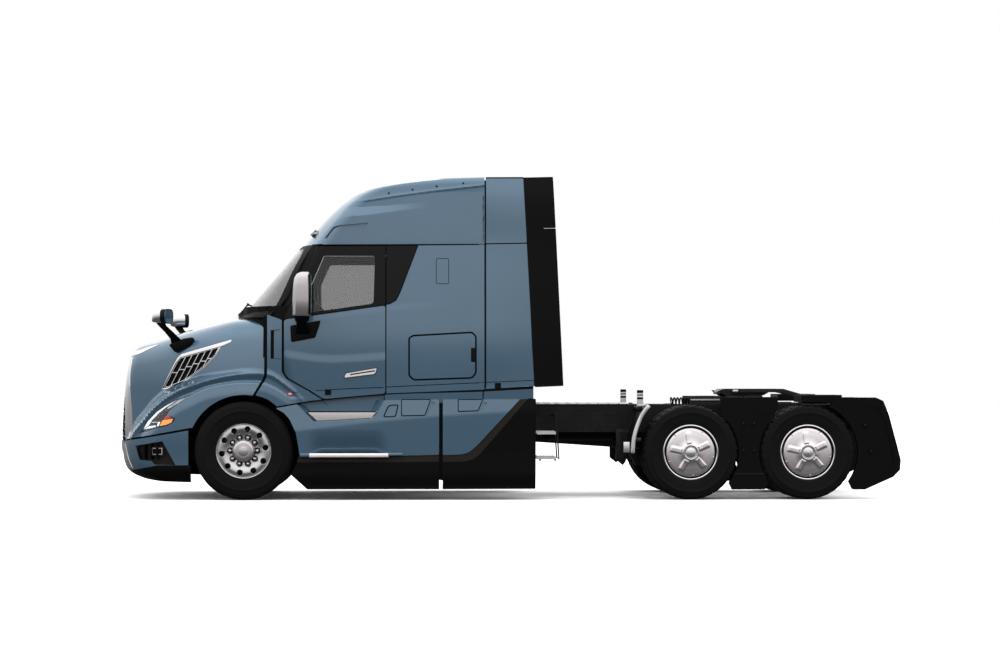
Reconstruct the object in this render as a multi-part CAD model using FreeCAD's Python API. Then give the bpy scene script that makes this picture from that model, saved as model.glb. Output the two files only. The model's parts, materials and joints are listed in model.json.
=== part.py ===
"""Semi truck tractor unit: a 6x4 conventional with a short sleeper cab.

Millimetres. +X points to the rear, +Y to the truck's right and +Z up. Inside this file X is measured
from the front axle; main() moves every piece so that the origin is on the ground at the middle of the
overall length. Each make_ function returns one sub-part, and the table at the end names the nodes.
"""
import FreeCAD, Part
import math
import os

V = FreeCAD.Vector

# ---------------------------------------------------------------- driving dimensions
FRONT_END = -1390.0          # foremost point, bumper and grille
DRIVE_AXLE_1 = 4720.0        # first drive axle, from the front axle
TANDEM = 1245.0              # first to second drive axle
REAR_OVERHANG = 990.0        # second drive axle to the tail of the rear panels
DRIVE_AXLE_2 = DRIVE_AXLE_1 + TANDEM
REAR_END = DRIVE_AXLE_2 + REAR_OVERHANG
ORIGIN_X = (FRONT_END + REAR_END) / 2

FRONT_TYRE_R = 520.0
REAR_TYRE_R = 500.0
FRONT_TYRE_W = 290.0
REAR_TYRE_W = 275.0
FRONT_WHEEL_Y = 1035.0       # middle plane of a front tyre
DUAL_OUTER_Y = 1080.0        # middle plane of an outer drive tyre
DUAL_PITCH = 345.0           # outer to inner drive tyre
BEAD_R = 286.0               # bead seat of a 22.5 inch wheel
FLANGE_R = 298.0
RIM_W = 236.0                # outside the flanges
RIM_T = 10.0
BEAD_SEAT = 106.0            # middle of a wheel to the inner face of its flanges
RUNNING_GAP = 0.05           # radial, in every turning fit
MOVING_GAP = 12.0            # panel gap round doors and lids
SEAT_GAP = 0.3               # between curved faces that only touch

RAIL_OUT_Y = 430.0
RAIL_TOP = 1000.0
RAIL_H = 300.0
RAIL_T = 9.0
RAIL_FLANGE = 90.0
RAIL_FRONT = -1180.0
RAIL_REAR = 6560.0
RAIL_BOTTOM = RAIL_TOP - RAIL_H
CROSS_Z0, CROSS_Z1 = 865.0, 985.0
CROSS_X = [-1120.0, 1850.0, 3230.0, 4150.0, 5342.0, 6300.0]
CROSS_L = 60.0
CAB_MOUNT_X = [340.0, 2380.0]

KINGPIN_Y = 890.0
KINGPIN_R = 25.0
SPINDLE_R = 40.0
STUB_R = 45.0
TIE_ROD_X = 206.0
TIE_ROD_Z = FRONT_TYRE_R - 90.0
TIE_ROD_R = 22.0
ARM_Y = KINGPIN_Y            # ball joints of the tie rod, straight behind the kingpins

CAB_FLOOR = 1150.0           # underside of the cab floor
FLOOR_T = 60.0
CAB_FRONT = 250.0
CAB_REAR = 2543.0
BELT_Z = 2050.0
ROOF_SEAM = 2705.0
WALL = 60.0
SIDE_SPLIT_Y = 1035.0        # cab sides meet the front, floor and back here
DOOR_FRONT, DOOR_REAR = 420.0, 1497.0

SKIRT_Y = 1235.0             # outer face of the chassis fairings
SKIRT_T = 32.0
SKIRT_BOTTOM = 113.0
SKIRT_SPLIT = 457.0          # painted panel above, black panel below
ARCH_R = FRONT_TYRE_R + 69.0
WHEELHOUSE_R = FRONT_TYRE_R + 120.0
LIP_Y = 1110.0               # the narrow arch reaches inboard to here

HOOD_T = 28.0
HOOD_PIVOT = (-1372.0, 602.0)   # x, z of the hood hinge, in the seam at the nose
HOOD_HINGE_Y = 250.0
HOOD_PIN_R = 5.0
HOOD_TAB_R = 10.0
HOOD_TAB_W = 24.0
GLASS_T = 6.0

FW_X = 5490.0                # kingpin centre and tilt axis of the fifth wheel
FW_PIVOT_Z = 1085.0
FW_TOP = 1170.0
FW_PLATE_T = 38.0
FW_PIN_R = 25.5              # kingpin seat of the locked jaws
FW_TRUNNION_R = 28.0
FW_EAR_Y = 360.0


# ---------------------------------------------------------------- helpers
def polygon(points):
    return Part.Face(Part.makePolygon([V(*p) for p in points] + [V(*points[0])]))


def prism_xz(points, y0, y1):
    return polygon([(x, y0, z) for x, z in points]).extrude(V(0, y1 - y0, 0))


def prism_xy(points, z0, z1):
    return polygon([(x, y, z0) for x, y in points]).extrude(V(0, 0, z1 - z0))


def prism_yz(points, x0, x1):
    return polygon([(x0, y, z) for y, z in points]).extrude(V(x1 - x0, 0, 0))


def box(x0, x1, y0, y1, z0, z1):
    return Part.makeBox(x1 - x0, y1 - y0, z1 - z0, V(x0, y0, z0))


def rod_y(x, z, r, y0, y1):
    return Part.makeCylinder(r, y1 - y0, V(x, y0, z), V(0, 1, 0))


def rod_z(x, y, r, z0, z1):
    return Part.makeCylinder(r, z1 - z0, V(x, y, z0), V(0, 0, 1))


def rod_x(y, z, r, x0, x1):
    return Part.makeCylinder(r, x1 - x0, V(x0, y, z), V(1, 0, 0))


def rod_between(a, b, r):
    a, b = V(*a), V(*b)
    return Part.makeCylinder(r, (b - a).Length, a, b - a)


def rounded(points, radius):
    """Closed wire through points in one plane, each corner rounded by an arc."""
    pts = [V(*p) for p in points]
    n = len(pts)
    ends = []
    for i in range(n):
        a, p, b = pts[i - 1], pts[i], pts[(i + 1) % n]
        u, w = (a - p).normalize(), (b - p).normalize()
        half = u.getAngle(w) / 2
        cut = min(radius / math.tan(half), (a - p).Length * 0.45, (b - p).Length * 0.45)
        r = cut * math.tan(half)
        mid_dir = (u + w).normalize()
        middle = p + mid_dir * (r / math.sin(half) - r)
        ends.append((p + u * cut, middle, p + w * cut))
    edges = []
    for i in range(n):
        s, m, e = ends[i]
        edges.append(Part.Arc(s, m, e).toShape())
        edges.append(Part.LineSegment(e, ends[(i + 1) % n][0]).toShape())
    return Part.Wire(edges)


def rounded_prism_xz(points, radius, y0, y1):
    return Part.Face(rounded([(x, y0, z) for x, z in points], radius)).extrude(V(0, y1 - y0, 0))


def loft(sections):
    """Ruled solid through closed polygons with the same number of corners."""
    wires = [Part.makePolygon([V(*p) for p in s] + [V(*s[0])]) for s in sections]
    return Part.makeLoft(wires, True, True)


def fuse(first, *others):
    return first.multiFuse(list(others)).removeSplitter() if others else first


def cut(first, *tools):
    return first.cut(list(tools))


def mirrored(shape):
    return shape.mirror(V(0, 0, 0), V(0, 1, 0))


def on_side(shape, side):
    """A piece drawn on the right, at +Y, for side +1 (right) or -1 (left)."""
    return shape if side > 0 else mirrored(shape)


def together(*shapes):
    return Part.makeCompound(solids_of(*shapes))


def both(shape):
    return Part.makeCompound(solids_of(shape) + solids_of(mirrored(shape)))


def largest(shape):
    return max(shape.Solids, key=lambda s: s.Volume)


def solids_of(*shapes):
    return [s for shape in shapes for s in shape.Solids]


def inset(points, d):
    """The polygon moved inwards by d, or outwards where d is negative; points run either way round."""
    n = len(points)
    area = sum(points[i - 1][0] * points[i][1] - points[i][0] * points[i - 1][1] for i in range(n))
    turn = 1 if area > 0 else -1
    lines = []
    for i in range(n):
        (x0, y0), (x1, y1) = points[i - 1], points[i]
        length = math.hypot(x1 - x0, y1 - y0)
        nx, ny = -(y1 - y0) / length * turn, (x1 - x0) / length * turn
        lines.append((x0 + nx * d, y0 + ny * d, x1 - x0, y1 - y0))
    out = []
    for i in range(n):
        x0, y0, ax, ay = lines[i]
        x1, y1, bx, by = lines[(i + 1) % n]
        det = ax * by - ay * bx
        t = ((x1 - x0) * by - (y1 - y0) * bx) / det if abs(det) > 1e-9 else 1.0
        out.append((x0 + ax * t, y0 + ay * t))
    return out


def ring_y(profile, x, z):
    """Solid of revolution about the Y line through (x, z). The profile is (radius, y) points."""
    face = polygon([(x + r, y, z) for r, y in profile])
    return face.revolve(V(x, 0, z), V(0, 1, 0), 360)


# ---------------------------------------------------------------- wheels and tyres
def tyre(x, z, y, radius, width):
    """One tyre about its middle plane y. The tread is left to the finish."""
    half = width / 2
    bead = BEAD_R + SEAT_GAP
    lip = FLANGE_R + SEAT_GAP
    seat = BEAD_SEAT - SEAT_GAP
    outer = [(bead, seat), (lip, seat), (lip, half * 0.86), (FLANGE_R + 60, half * 0.97),
             (radius - 90, half),
             (radius - 28, half * 0.93), (radius - 6, half * 0.80), (radius, half * 0.5)]
    profile = outer + [(r, -dy) for r, dy in reversed(outer)]
    return ring_y([(r, y + dy) for r, dy in profile], x, z)


def rim_profile(y):
    """Barrel of a wheel about its middle plane."""
    h = RIM_W / 2
    inner = BEAD_R - RIM_T
    seat = BEAD_SEAT
    return [(inner, y - h), (FLANGE_R, y - h), (FLANGE_R, y - seat), (BEAD_R, y - seat),
            (BEAD_R, y + seat), (FLANGE_R, y + seat), (FLANGE_R, y + h), (inner, y + h)]


STUD_CIRCLE_R = 142.9
NUT_R = 17.0
HAND_HOLE_R = 30.0
HAND_HOLE_CIRCLE_R = 226.0
HUB_BACK = 48.0              # hub's inner face, inboard of the wheel's middle


def around(shape, x, z, count, phase=0.0):
    out = []
    for i in range(count):
        s = shape.copy()
        s.rotate(V(x, 0, z), V(0, 1, 0), phase + 360.0 * i / count)
        out.append(s)
    return out


def front_wheel(side):
    """Disc wheel, hub and nuts of a steered wheel, drawn for +Y."""
    x, z, y = 0.0, FRONT_TYRE_R, FRONT_WHEEL_Y
    outer = y + RIM_W / 2
    barrel_in = BEAD_R - RIM_T
    barrel = ring_y(rim_profile(y), x, z)
    disc = ring_y([(barrel_in, outer - 60), (barrel_in, outer - 22), (200, outer - 6), (175, outer - 6),
                   (160, outer - 34), (110, outer - 34), (110, outer - 62), (165, outer - 62),
                   (200, outer - 34)], x, z)
    holes = around(rod_y(x + HAND_HOLE_CIRCLE_R, z, HAND_HOLE_R, outer - 80, outer + 10), x, z, 10, 12)
    disc = cut(disc, *holes)
    bore = SPINDLE_R + RUNNING_GAP
    hub = ring_y([(bore, y - HUB_BACK), (112, y - HUB_BACK), (112, outer - 34), (112, outer - 10),
                  (84, outer - 4),
                  (84, outer + 34), (72, outer + 44), (38, outer + 44), (38, outer + 56), (0, outer + 56),
                  (0, outer - 20), (bore, outer - 20)], x, z)
    nuts = around(rod_y(x + STUD_CIRCLE_R, z, NUT_R, outer - 40, outer + 2), x, z, 10, 0)
    return on_side(fuse(barrel, disc, hub, *nuts), side)


COVER_R = 262.0
BLADE_COUNT = 5
BLADE_RISE = 9.0
BLADE_R0, BLADE_R1 = 118.0, 232.0
BLADE_ROOT, BLADE_TIP = 20.0, 58.0   # half widths


def drive_wheel(x, side):
    """Both rims, the hub and the aero cover of a twin wheel, drawn for +Y."""
    z, y = REAR_TYRE_R, DUAL_OUTER_Y
    inner_y = y - DUAL_PITCH
    outer = y + RIM_W / 2
    barrels = [ring_y(rim_profile(p), x, z) for p in (y, inner_y)]
    mid = (y + inner_y) / 2
    barrel_in = BEAD_R - RIM_T
    discs = ring_y([(100, mid - 14), (200, mid - 14), (barrel_in + 1, inner_y + RIM_W / 2 - 30),
                    (barrel_in + 1, inner_y + RIM_W / 2), (200, mid), (barrel_in + 1, y - RIM_W / 2),
                    (barrel_in + 1, y - RIM_W / 2 + 30), (200, mid + 14), (100, mid + 14)], x, z)
    bore = STUB_R + RUNNING_GAP
    hub = ring_y([(bore, inner_y - 90), (150, inner_y - 90), (150, mid + 20), (112, mid + 20),
                  (112, outer + 6),
                  (84, outer + 20), (0, outer + 20), (0, outer - 30), (bore, outer - 30)], x, z)
    cover = ring_y([(0, outer - 30), (112, outer - 30), (COVER_R, outer - 46), (barrel_in + 1, outer - 46),
                    (barrel_in + 1, outer - 38), (COVER_R, outer - 38), (240, outer - 18), (110, outer + 2),
                    (0, outer + 2)], x, z)
    cover = cut(cover, rod_y(x, z, bore, outer - 40, outer - 29))
    raised = ring_y([(BLADE_R0, outer - 20), (BLADE_R0, outer + BLADE_RISE),
                     (BLADE_R1, outer - 17 + BLADE_RISE),
                     (BLADE_R1, outer - 30)], x, z)
    wedge = prism_xz([(x + BLADE_R0 - 1, z - BLADE_ROOT), (x + BLADE_R1 + 1, z - BLADE_TIP),
                      (x + BLADE_R1 + 1, z + BLADE_TIP), (x + BLADE_R0 - 1, z + BLADE_ROOT)], outer - 40,
                      outer + 40)
    blades = around(raised.common(wedge), x, z, BLADE_COUNT, 18)
    return on_side(fuse(barrels[0], barrels[1], discs, hub, cover, *blades), side)


def front_tyre(side):
    return on_side(tyre(0.0, FRONT_TYRE_R, FRONT_WHEEL_Y, FRONT_TYRE_R, FRONT_TYRE_W), side)


def drive_tyres(x, side):
    rings = [tyre(x, REAR_TYRE_R, y, REAR_TYRE_R, REAR_TYRE_W)
             for y in (DUAL_OUTER_Y, DUAL_OUTER_Y - DUAL_PITCH)]
    return Part.makeCompound([on_side(r, side) for r in rings])


# ---------------------------------------------------------------- frame and running gear
def make_frame():
    inner = RAIL_OUT_Y - RAIL_FLANGE
    web = RAIL_OUT_Y - RAIL_T
    channel = [(RAIL_OUT_Y, RAIL_BOTTOM), (RAIL_OUT_Y, RAIL_TOP), (inner, RAIL_TOP),
               (inner, RAIL_TOP - RAIL_T),
               (web, RAIL_TOP - RAIL_T), (web, RAIL_BOTTOM + RAIL_T), (inner, RAIL_BOTTOM + RAIL_T),
               (inner, RAIL_BOTTOM)]
    rail = prism_yz(channel, RAIL_FRONT, RAIL_REAR)
    members = [box(x - CROSS_L, x + CROSS_L, -web, web, CROSS_Z0, CROSS_Z1) for x in CROSS_X]
    end_plate = box(RAIL_REAR - RAIL_T, RAIL_REAR, -web, web, RAIL_BOTTOM + 40, RAIL_TOP - RAIL_T)
    cab_mounts = [box(x, x + 110, y - 45, y + 45, RAIL_TOP - 5, CAB_FLOOR) for x in CAB_MOUNT_X
                  for y in (-RAIL_OUT_Y + 45, RAIL_OUT_Y - 45)]
    return fuse(rail, mirrored(rail), end_plate, *members, *cab_mounts)


ENGINE_X0, ENGINE_X1 = -880.0, 190.0
ENGINE_Y = 325.0
SUMP_Z = 640.0


def make_engine():
    block = prism_xz([(ENGINE_X0, SUMP_Z + 120), (ENGINE_X0, 1500), (ENGINE_X1, 1560), (ENGINE_X1, SUMP_Z),
                      (ENGINE_X0 + 250, SUMP_Z)], -ENGINE_Y, ENGINE_Y)
    gearbox = loft([[(ENGINE_X1 - 1, -270, 650), (ENGINE_X1 - 1, 270, 650), (ENGINE_X1 - 1, 270, 1120),
                     (ENGINE_X1 - 1, -270, 1120)],
                    [(1300, -170, 670), (1300, 170, 670), (1300, 170, 960), (1300, -170, 960)]])
    web = RAIL_OUT_Y - RAIL_T
    feet = [box(-420, -280, -web, web, RAIL_BOTTOM + 60, RAIL_BOTTOM + 110),
            box(900, 1000, -web, web, RAIL_BOTTOM + 60, RAIL_BOTTOM + 110)]
    return fuse(block, gearbox, *feet)


def make_radiator():
    upper = box(-1090, -950, -450, 450, RAIL_TOP, 1480)
    lower = box(-1050, -950, -330, 330, 740, RAIL_TOP + 10)
    return fuse(upper, lower)


SHAFT_R = 62.0


def make_propshafts():
    z_out, z_in = 770.0, REAR_TYRE_R + 60
    first = [rod_between((1300, 0, z_out), (DRIVE_AXLE_1 - 330, 0, z_in), SHAFT_R),
             rod_x(0, z_out, 90, 1300, 1345)]
    x0, x1 = DRIVE_AXLE_1 + 230, DRIVE_AXLE_2 - 330
    second = [rod_x(0, z_in, SHAFT_R - 10, x0, x1), rod_x(0, z_in, 80, x1 - 40, x1)]
    trim_front = box(1200, 1300, -200, 200, 500, 900)
    trim_rear = box(DRIVE_AXLE_1 - 345, DRIVE_AXLE_1 - 200, -200, 200, 300, 900)
    return Part.makeCompound(solids_of(cut(fuse(*first), trim_front, trim_rear), fuse(*second)))


EYE_H = 60.0                 # half height of the axle eye
EAR_GAP = 6.0
EAR_H = 52.0


def make_front_axle():
    z = FRONT_TYRE_R
    neck = KINGPIN_Y - 110
    half = [(KINGPIN_Y, z - 55), (KINGPIN_Y, z + 55), (neck, z + 30), (600, z - 30)]
    drop = [(neck, z - 55), (640, z - 120)]
    right = list(reversed(drop)) + half
    beam = prism_yz(right + [(-y, h) for y, h in reversed(right)], -48, 48)
    parts = [beam]
    for s in (-1, 1):
        parts.append(rod_z(0, s * KINGPIN_Y, 58, z - EYE_H, z + EYE_H))
        parts.append(rod_z(0, s * KINGPIN_Y, KINGPIN_R, z - EYE_H - EAR_GAP - EAR_H,
                           z + EYE_H + EAR_GAP + EAR_H))
        y = s * RAIL_OUT_Y - s * 45
        parts.append(box(-75, 75, y - 48, y + 48, z - 40, SPRING_Z))
    return fuse(*parts)


SPRING_Z = FRONT_TYRE_R


def make_front_springs():
    """Leaf packs with their hangers, each pack one piece."""
    y0, y1 = RAIL_OUT_Y - 85, RAIL_OUT_Y - 5
    end = 700.0
    leaf = prism_xz([(-90, SPRING_Z), (90, SPRING_Z), (end, 620), (end + 40, 640), (end, 645),
                     (90, SPRING_Z + 62),
                     (-90, SPRING_Z + 62), (-end, 645), (-end - 40, 640), (-end, 620)], y0, y1)
    hangers = [prism_xz([(s * (end - 10), 600), (s * (end + 60), 600), (s * (end + 90), RAIL_BOTTOM),
                         (s * (end - 60), RAIL_BOTTOM)], y0 - 6, y1 + 4) for s in (-1, 1)]
    return both(fuse(leaf, *hangers))


def knuckle(side):
    """Yoke, spindle, brake backing and tie rod arm, drawn for +Y."""
    z, y = FRONT_TYRE_R, KINGPIN_Y
    top0 = z + EYE_H + EAR_GAP
    low1 = z - EYE_H - EAR_GAP
    ears = [rod_z(0, y, 52, top0, top0 + EAR_H), rod_z(0, y, 52, low1 - EAR_H, low1)]
    bridge = [box(-50, 50, y + 5, y + 85, top0, top0 + EAR_H),
              box(-50, 50, y + 5, y + 85, low1 - EAR_H, low1)]
    back = box(-60, 60, y + 68, y + 90, low1 - EAR_H, top0 + EAR_H)
    spindle = rod_y(0, z, SPINDLE_R, y + 80, FRONT_WHEEL_Y + RIM_W / 2 - 30)
    arm = prism_xy([(30, y + 88), (30, y + 50), (TIE_ROD_X - 60, ARM_Y - 26), (TIE_ROD_X + 26, ARM_Y - 26),
                    (TIE_ROD_X + 26, ARM_Y + 26), (70, y + 88)], TIE_ROD_Z - 12, TIE_ROD_Z + 12)
    body = fuse(*ears, *bridge, back, spindle, arm)
    bores = rod_z(0, y, KINGPIN_R + RUNNING_GAP, low1 - EAR_H - 5, top0 + EAR_H + 5)
    joint = rod_z(TIE_ROD_X, ARM_Y, 12 + RUNNING_GAP, TIE_ROD_Z - 40, TIE_ROD_Z + 40)
    clear = rod_z(0, y, 64, low1, top0)
    return on_side(cut(body, bores, joint, clear), side)


def make_tie_rod():
    z = TIE_ROD_Z - 12 - 3 - TIE_ROD_R
    bar = rod_y(TIE_ROD_X, z, TIE_ROD_R, -ARM_Y, ARM_Y)
    pins = [rod_z(TIE_ROD_X, s * ARM_Y, 12, z, TIE_ROD_Z + 14) for s in (-1, 1)]
    heads = [rod_z(TIE_ROD_X, s * ARM_Y, 26, z - 24, TIE_ROD_Z - 15) for s in (-1, 1)]
    return fuse(bar, *pins, *heads)


AXLE_TUBE_R = 78.0


def rear_axle(x):
    z = REAR_TYRE_R
    inner_face = DUAL_OUTER_Y - DUAL_PITCH - 90 - MOVING_GAP
    tube = rod_y(x, z, AXLE_TUBE_R, -inner_face, inner_face)
    stub = rod_y(x, z, STUB_R, -(DUAL_OUTER_Y + RIM_W / 2 - 36), DUAL_OUTER_Y + RIM_W / 2 - 36)
    bowl = Part.makeSphere(205, V(x, 0, z))
    nose = rod_x(0, z + 60, 85, x - 330, x)
    tail = rod_x(0, z + 60, 70, x, x + 230)
    return fuse(tube, stub, bowl, nose, tail)


def make_rear_axles():
    second = rear_axle(DRIVE_AXLE_2)
    spare = box(DRIVE_AXLE_2 + 206, DRIVE_AXLE_2 + 400, -100, 100, 400, 700)
    return Part.makeCompound(solids_of(rear_axle(DRIVE_AXLE_1), cut(second, spare)))


ARM_TOP = 410.0
BAG_R = 120.0
BAG_X = 410.0


def make_rear_suspension():
    """Trailing arm, frame hanger, axle seat and air spring of each drive wheel."""
    y = RAIL_OUT_Y
    out = []
    for x in (DRIVE_AXLE_1, DRIVE_AXLE_2):
        arm = prism_xz([(x - 660, 590), (x - 600, 610), (x - 470, ARM_TOP), (x + 540, ARM_TOP),
                        (x + 540, ARM_TOP - 60),
                        (x - 520, ARM_TOP - 70)], y - 42, y + 42)
        hanger = prism_xz([(x - 690, RAIL_BOTTOM), (x - 560, RAIL_BOTTOM), (x - 590, 560), (x - 670, 540)],
                          y - 60, y + 60)
        seat = cut(box(x - 80, x + 80, y - 60, y + 60, ARM_TOP - 5, REAR_TYRE_R),
                   rod_y(x, REAR_TYRE_R, AXLE_TUBE_R, y - 80, y + 80))
        bag = [rod_z(x + BAG_X, y, BAG_R, ARM_TOP + 60, RAIL_BOTTOM - 20),
               rod_z(x + BAG_X, y, BAG_R - 45, ARM_TOP - 5, RAIL_BOTTOM)]
        out.append(fuse(arm, hanger, seat, *bag))
    return Part.makeCompound([s for one in out for s in both(one).Solids])


TANK_R = 315.0
TANK_Y = 800.0
TANK_Z = 640.0
TANK_X0, TANK_X1 = 2140.0, 3020.0


def make_fuel_tanks():
    tank = rod_x(TANK_Y, TANK_Z, TANK_R, TANK_X0, TANK_X1)
    brackets = []
    for x in (TANK_X0 + 150, TANK_X1 - 210):
        brackets.append(box(x, x + 60, RAIL_OUT_Y, TANK_Y - 100, TANK_Z + 60, RAIL_TOP - 60))
        brackets.append(box(x, x + 60, RAIL_OUT_Y, TANK_Y - 50, TANK_Z - TANK_R - 25, TANK_Z - 230))
        brackets.append(box(x, x + 60, RAIL_OUT_Y, RAIL_OUT_Y + 30, TANK_Z - TANK_R - 25, RAIL_TOP - 60))
    return both(fuse(tank, *brackets))


BOX_X0, BOX_X1 = 790.0, 1560.0


def make_side_boxes():
    """Battery box on the left, exhaust aftertreatment box on the right, with air tanks under the deck."""
    body = box(BOX_X0, BOX_X1, RAIL_OUT_Y + 50, 1120, 300, 800)
    mount = box(BOX_X0 + 120, BOX_X1 - 120, RAIL_OUT_Y, RAIL_OUT_Y + 60, 710, 800)
    boxes = both(fuse(body, mount))
    tanks = []
    for s in (-1, 1):
        y = s * 205
        tank = rod_x(y, 712, 108, 3260, 3960)
        hook = box(3230 - CROSS_L, 3290 + CROSS_L, y - 20, y + 20, 760, CROSS_Z0)
        hook = cut(hook, box(3100, 3262, y - 30, y + 30, 700, 790))
        tanks.append(fuse(tank, hook))
    return Part.makeCompound(boxes.Solids + tanks)


# ---------------------------------------------------------------- bumper
# plan outline of the nose at each height: z, x on the centre line, at y 330, at y 580, the corner points
NOSE = [
    # z, x_mid, x_330, x_580, (corner 1), (corner 2), (corner 3)
    (180.0, -1290.0, -1278.0, -1225.0, (-1090.0, 880.0), (-960.0, 1060.0), (-780.0, 1165.0)),
    (345.0, -1330.0, -1318.0, -1262.0, (-1130.0, 900.0), (-1000.0, 1080.0), (-800.0, 1185.0)),
    (600.0, -1390.0, -1378.0, -1318.0, (-1180.0, 905.0), (-1040.0, 1090.0), (-820.0, 1190.0)),
    (900.0, -1378.0, -1366.0, -1278.0, (-1110.0, 905.0), (-960.0, 1085.0), (-760.0, 1185.0)),
    (1250.0, -1342.0, -1326.0, -1212.0, (-1000.0, 900.0), (-820.0, 1080.0), (-600.0, 1180.0)),
    (1530.0, -1286.0, -1266.0, -1136.0, (-900.0, 890.0), (-700.0, 1070.0), (-400.0, 1180.0)),
    (2150.0, -1286.0, -1266.0, -1136.0, (-900.0, 890.0), (-700.0, 1070.0), (-400.0, 1180.0)),
]
NOSE_REAR = 700.0


def nose_tool(levels, d, rear=NOSE_REAR, side_y=1205.0):
    """Everything behind the nose surface moved back by d, from the first to the last level given."""
    sections = []
    for z, xm, x1, x2, c1, c2, c3 in levels:
        half = [(xm + d, 0.0), (x1 + d, 330.0), (x2 + d, 580.0 - 0.2 * d),
                (c1[0] + 0.8 * d, c1[1] - 0.6 * d),
                (c2[0] + 0.5 * d, c2[1] - 0.85 * d), (c3[0] + 0.2 * d, c3[1] - d), (-560.0, side_y - d),
                (rear - d, side_y - d)]
        ring = half + [(x, -y) for x, y in reversed(half[1:])]
        sections.append([(x, y, z) for x, y in ring])
    return loft(sections)


BUMPER_T = 60.0
VALANCE_TOP = 371.0
# the seam between the hood and the bumper, x and z, front to rear
SEAM = [(-1500.0, 588.0), (-1300.0, 590.0), (-1251.0, 620.0), (-988.0, 664.0), (-560.0, 744.0)]
NOSE_SEAM_GAP = 24.0         # wider at the nose, where the hood's lip swings
SEAM_GAP = 13.0
BUMPER_REAR = -585.0
VALANCE_REAR = -545.0


def below_seam():
    return prism_xz([(-1500, 100)] + SEAM + [(-560, 100)], -1400, 1400)


POCKET = [(-1150.0, 560.0), (-860.0, 600.0), (-725.0, 390.0), (-935.0, 390.0), (-967.0, 415.0),
          (-1095.0, 425.0)]
POCKET_DEPTH = 16.0
RIB_X = (-1080.0, -1010.0, -940.0)
RIB_W = 22.0


def make_bumper():
    body = cut(nose_tool(NOSE[:4], 0.0), nose_tool(NOSE[:4], BUMPER_T))
    body = body.common(below_seam())
    keep = box(-1500, BUMPER_REAR, -1400, 1400, VALANCE_TOP, 900)
    beam = box(-1240, -1180, -600, 600, 430, 560)
    arms = [box(-1200, RAIL_FRONT + 60, s * RAIL_OUT_Y, s * RAIL_OUT_Y + s * 30, 480, 900) if s > 0 else
            box(-1200, RAIL_FRONT + 60, s * RAIL_OUT_Y - 30, s * RAIL_OUT_Y, 480, 900) for s in (-1, 1)]
    skin = body.common(keep)
    reach = box(-1345, -1200, -560, 560, 470, 520)
    reach = reach.common(nose_tool(NOSE[:4], BUMPER_T - 5))
    whole = fuse(skin, beam, reach, *arms, *[hood_tab(s * HOOD_HINGE_Y) for s in (-1, 1)])
    px, pz = HOOD_PIVOT
    pocket = pocket_tool()
    return cut(whole, rod_y(px, pz, HOOD_PIN_R + RUNNING_GAP, -HOOD_HINGE_Y - 60, HOOD_HINGE_Y + 60), pocket,
               mirrored(pocket))


def pocket_tool():
    """Dark pocket at the bumper's corner, less its three upright ribs."""
    deep = cut(nose_tool(NOSE[:4], -20.0), nose_tool(NOSE[:4], POCKET_DEPTH))
    ribs = [box(x, x + RIB_W, 900, 1400, 300, 700) for x in RIB_X]
    return cut(deep.common(prism_xz(POCKET, 850.0, 1400.0)), *ribs)


def hood_tab(y):
    """Hinge tab that stands up from the bumper's top edge."""
    px, pz = HOOD_PIVOT
    y0, y1 = y - HOOD_TAB_W / 2, y + HOOD_TAB_W / 2
    stem = box(px - HOOD_TAB_R, px + HOOD_TAB_R, y0, y1, pz - 40, pz)
    return fuse(rod_y(px, pz, HOOD_TAB_R, y0, y1), stem)


def hood_ears(y):
    """The hood's two eyes and pin round one hinge tab."""
    px, pz = HOOD_PIVOT
    gap = HOOD_TAB_W / 2 + 1
    ears = [fuse(rod_y(px, pz, HOOD_TAB_R - 1, a, a + 14), box(px - 7, px + 7, a, a + 14, pz, pz + 24))
            for a in (y - gap - 14, y + gap)]
    return fuse(*ears, rod_y(px, pz, HOOD_PIN_R, y - gap - 1, y + gap + 1))


def make_valance():
    body = cut(nose_tool(NOSE[:4], 6.0), nose_tool(NOSE[:4], 6.0 + BUMPER_T))
    under = prism_xz([(-1500, VALANCE_TOP), (-1500, 290), (-1290, 262), (-1220, 232), (-1070, 212),
                      (-640, 184),
                      (VALANCE_REAR, 184), (VALANCE_REAR, VALANCE_TOP)], -1400, 1400)
    body = body.common(under)
    lower = box(-1500, VALANCE_REAR, -1400, 1400, 184, VALANCE_TOP)
    return body.common(lower)


# ---------------------------------------------------------------- hood
# cross sections of the hood body: x, z on the centre line, four shoulder points (y, z), side foot (y, z)
HOOD_SECTIONS = [
    (-1430.0, 1390.0, [(380.0, 1383.0), (470.0, 1362.0), (520.0, 1325.0), (548.0, 1260.0)], (640.0, 800.0)),
    (-1284.0, 1530.0, [(380.0, 1523.0), (475.0, 1502.0), (528.0, 1462.0), (552.0, 1395.0)], (680.0, 900.0)),
    (-1225.0, 1598.0, [(385.0, 1590.0), (490.0, 1568.0), (550.0, 1525.0), (580.0, 1455.0)], (715.0, 950.0)),
    (-1120.0, 1655.0, [(400.0, 1646.0), (530.0, 1622.0), (605.0, 1575.0), (640.0, 1500.0)], (770.0, 1000.0)),
    (-900.0, 1726.0, [(440.0, 1715.0), (625.0, 1686.0), (720.0, 1630.0), (765.0, 1540.0)], (905.0, 1100.0)),
    (-640.0, 1817.0, [(520.0, 1804.0), (735.0, 1770.0), (845.0, 1708.0), (900.0, 1610.0)], (1010.0, 1200.0)),
    (-142.0, 1957.0, [(640.0, 1944.0), (880.0, 1906.0), (985.0, 1845.0), (1030.0, 1745.0)],
     (1092.0, 1300.0)),
    (240.0, 2014.0, [(700.0, 2003.0), (950.0, 1965.0), (1055.0, 1905.0), (1096.0, 1800.0)],
     (1128.0, 1300.0)),
]
HOOD_REAR_PLAN = [(-140.0, 0.0), (-118.0, 500.0), (0.0, 800.0), (120.0, 960.0), (215.0, 1050.0)]
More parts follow.
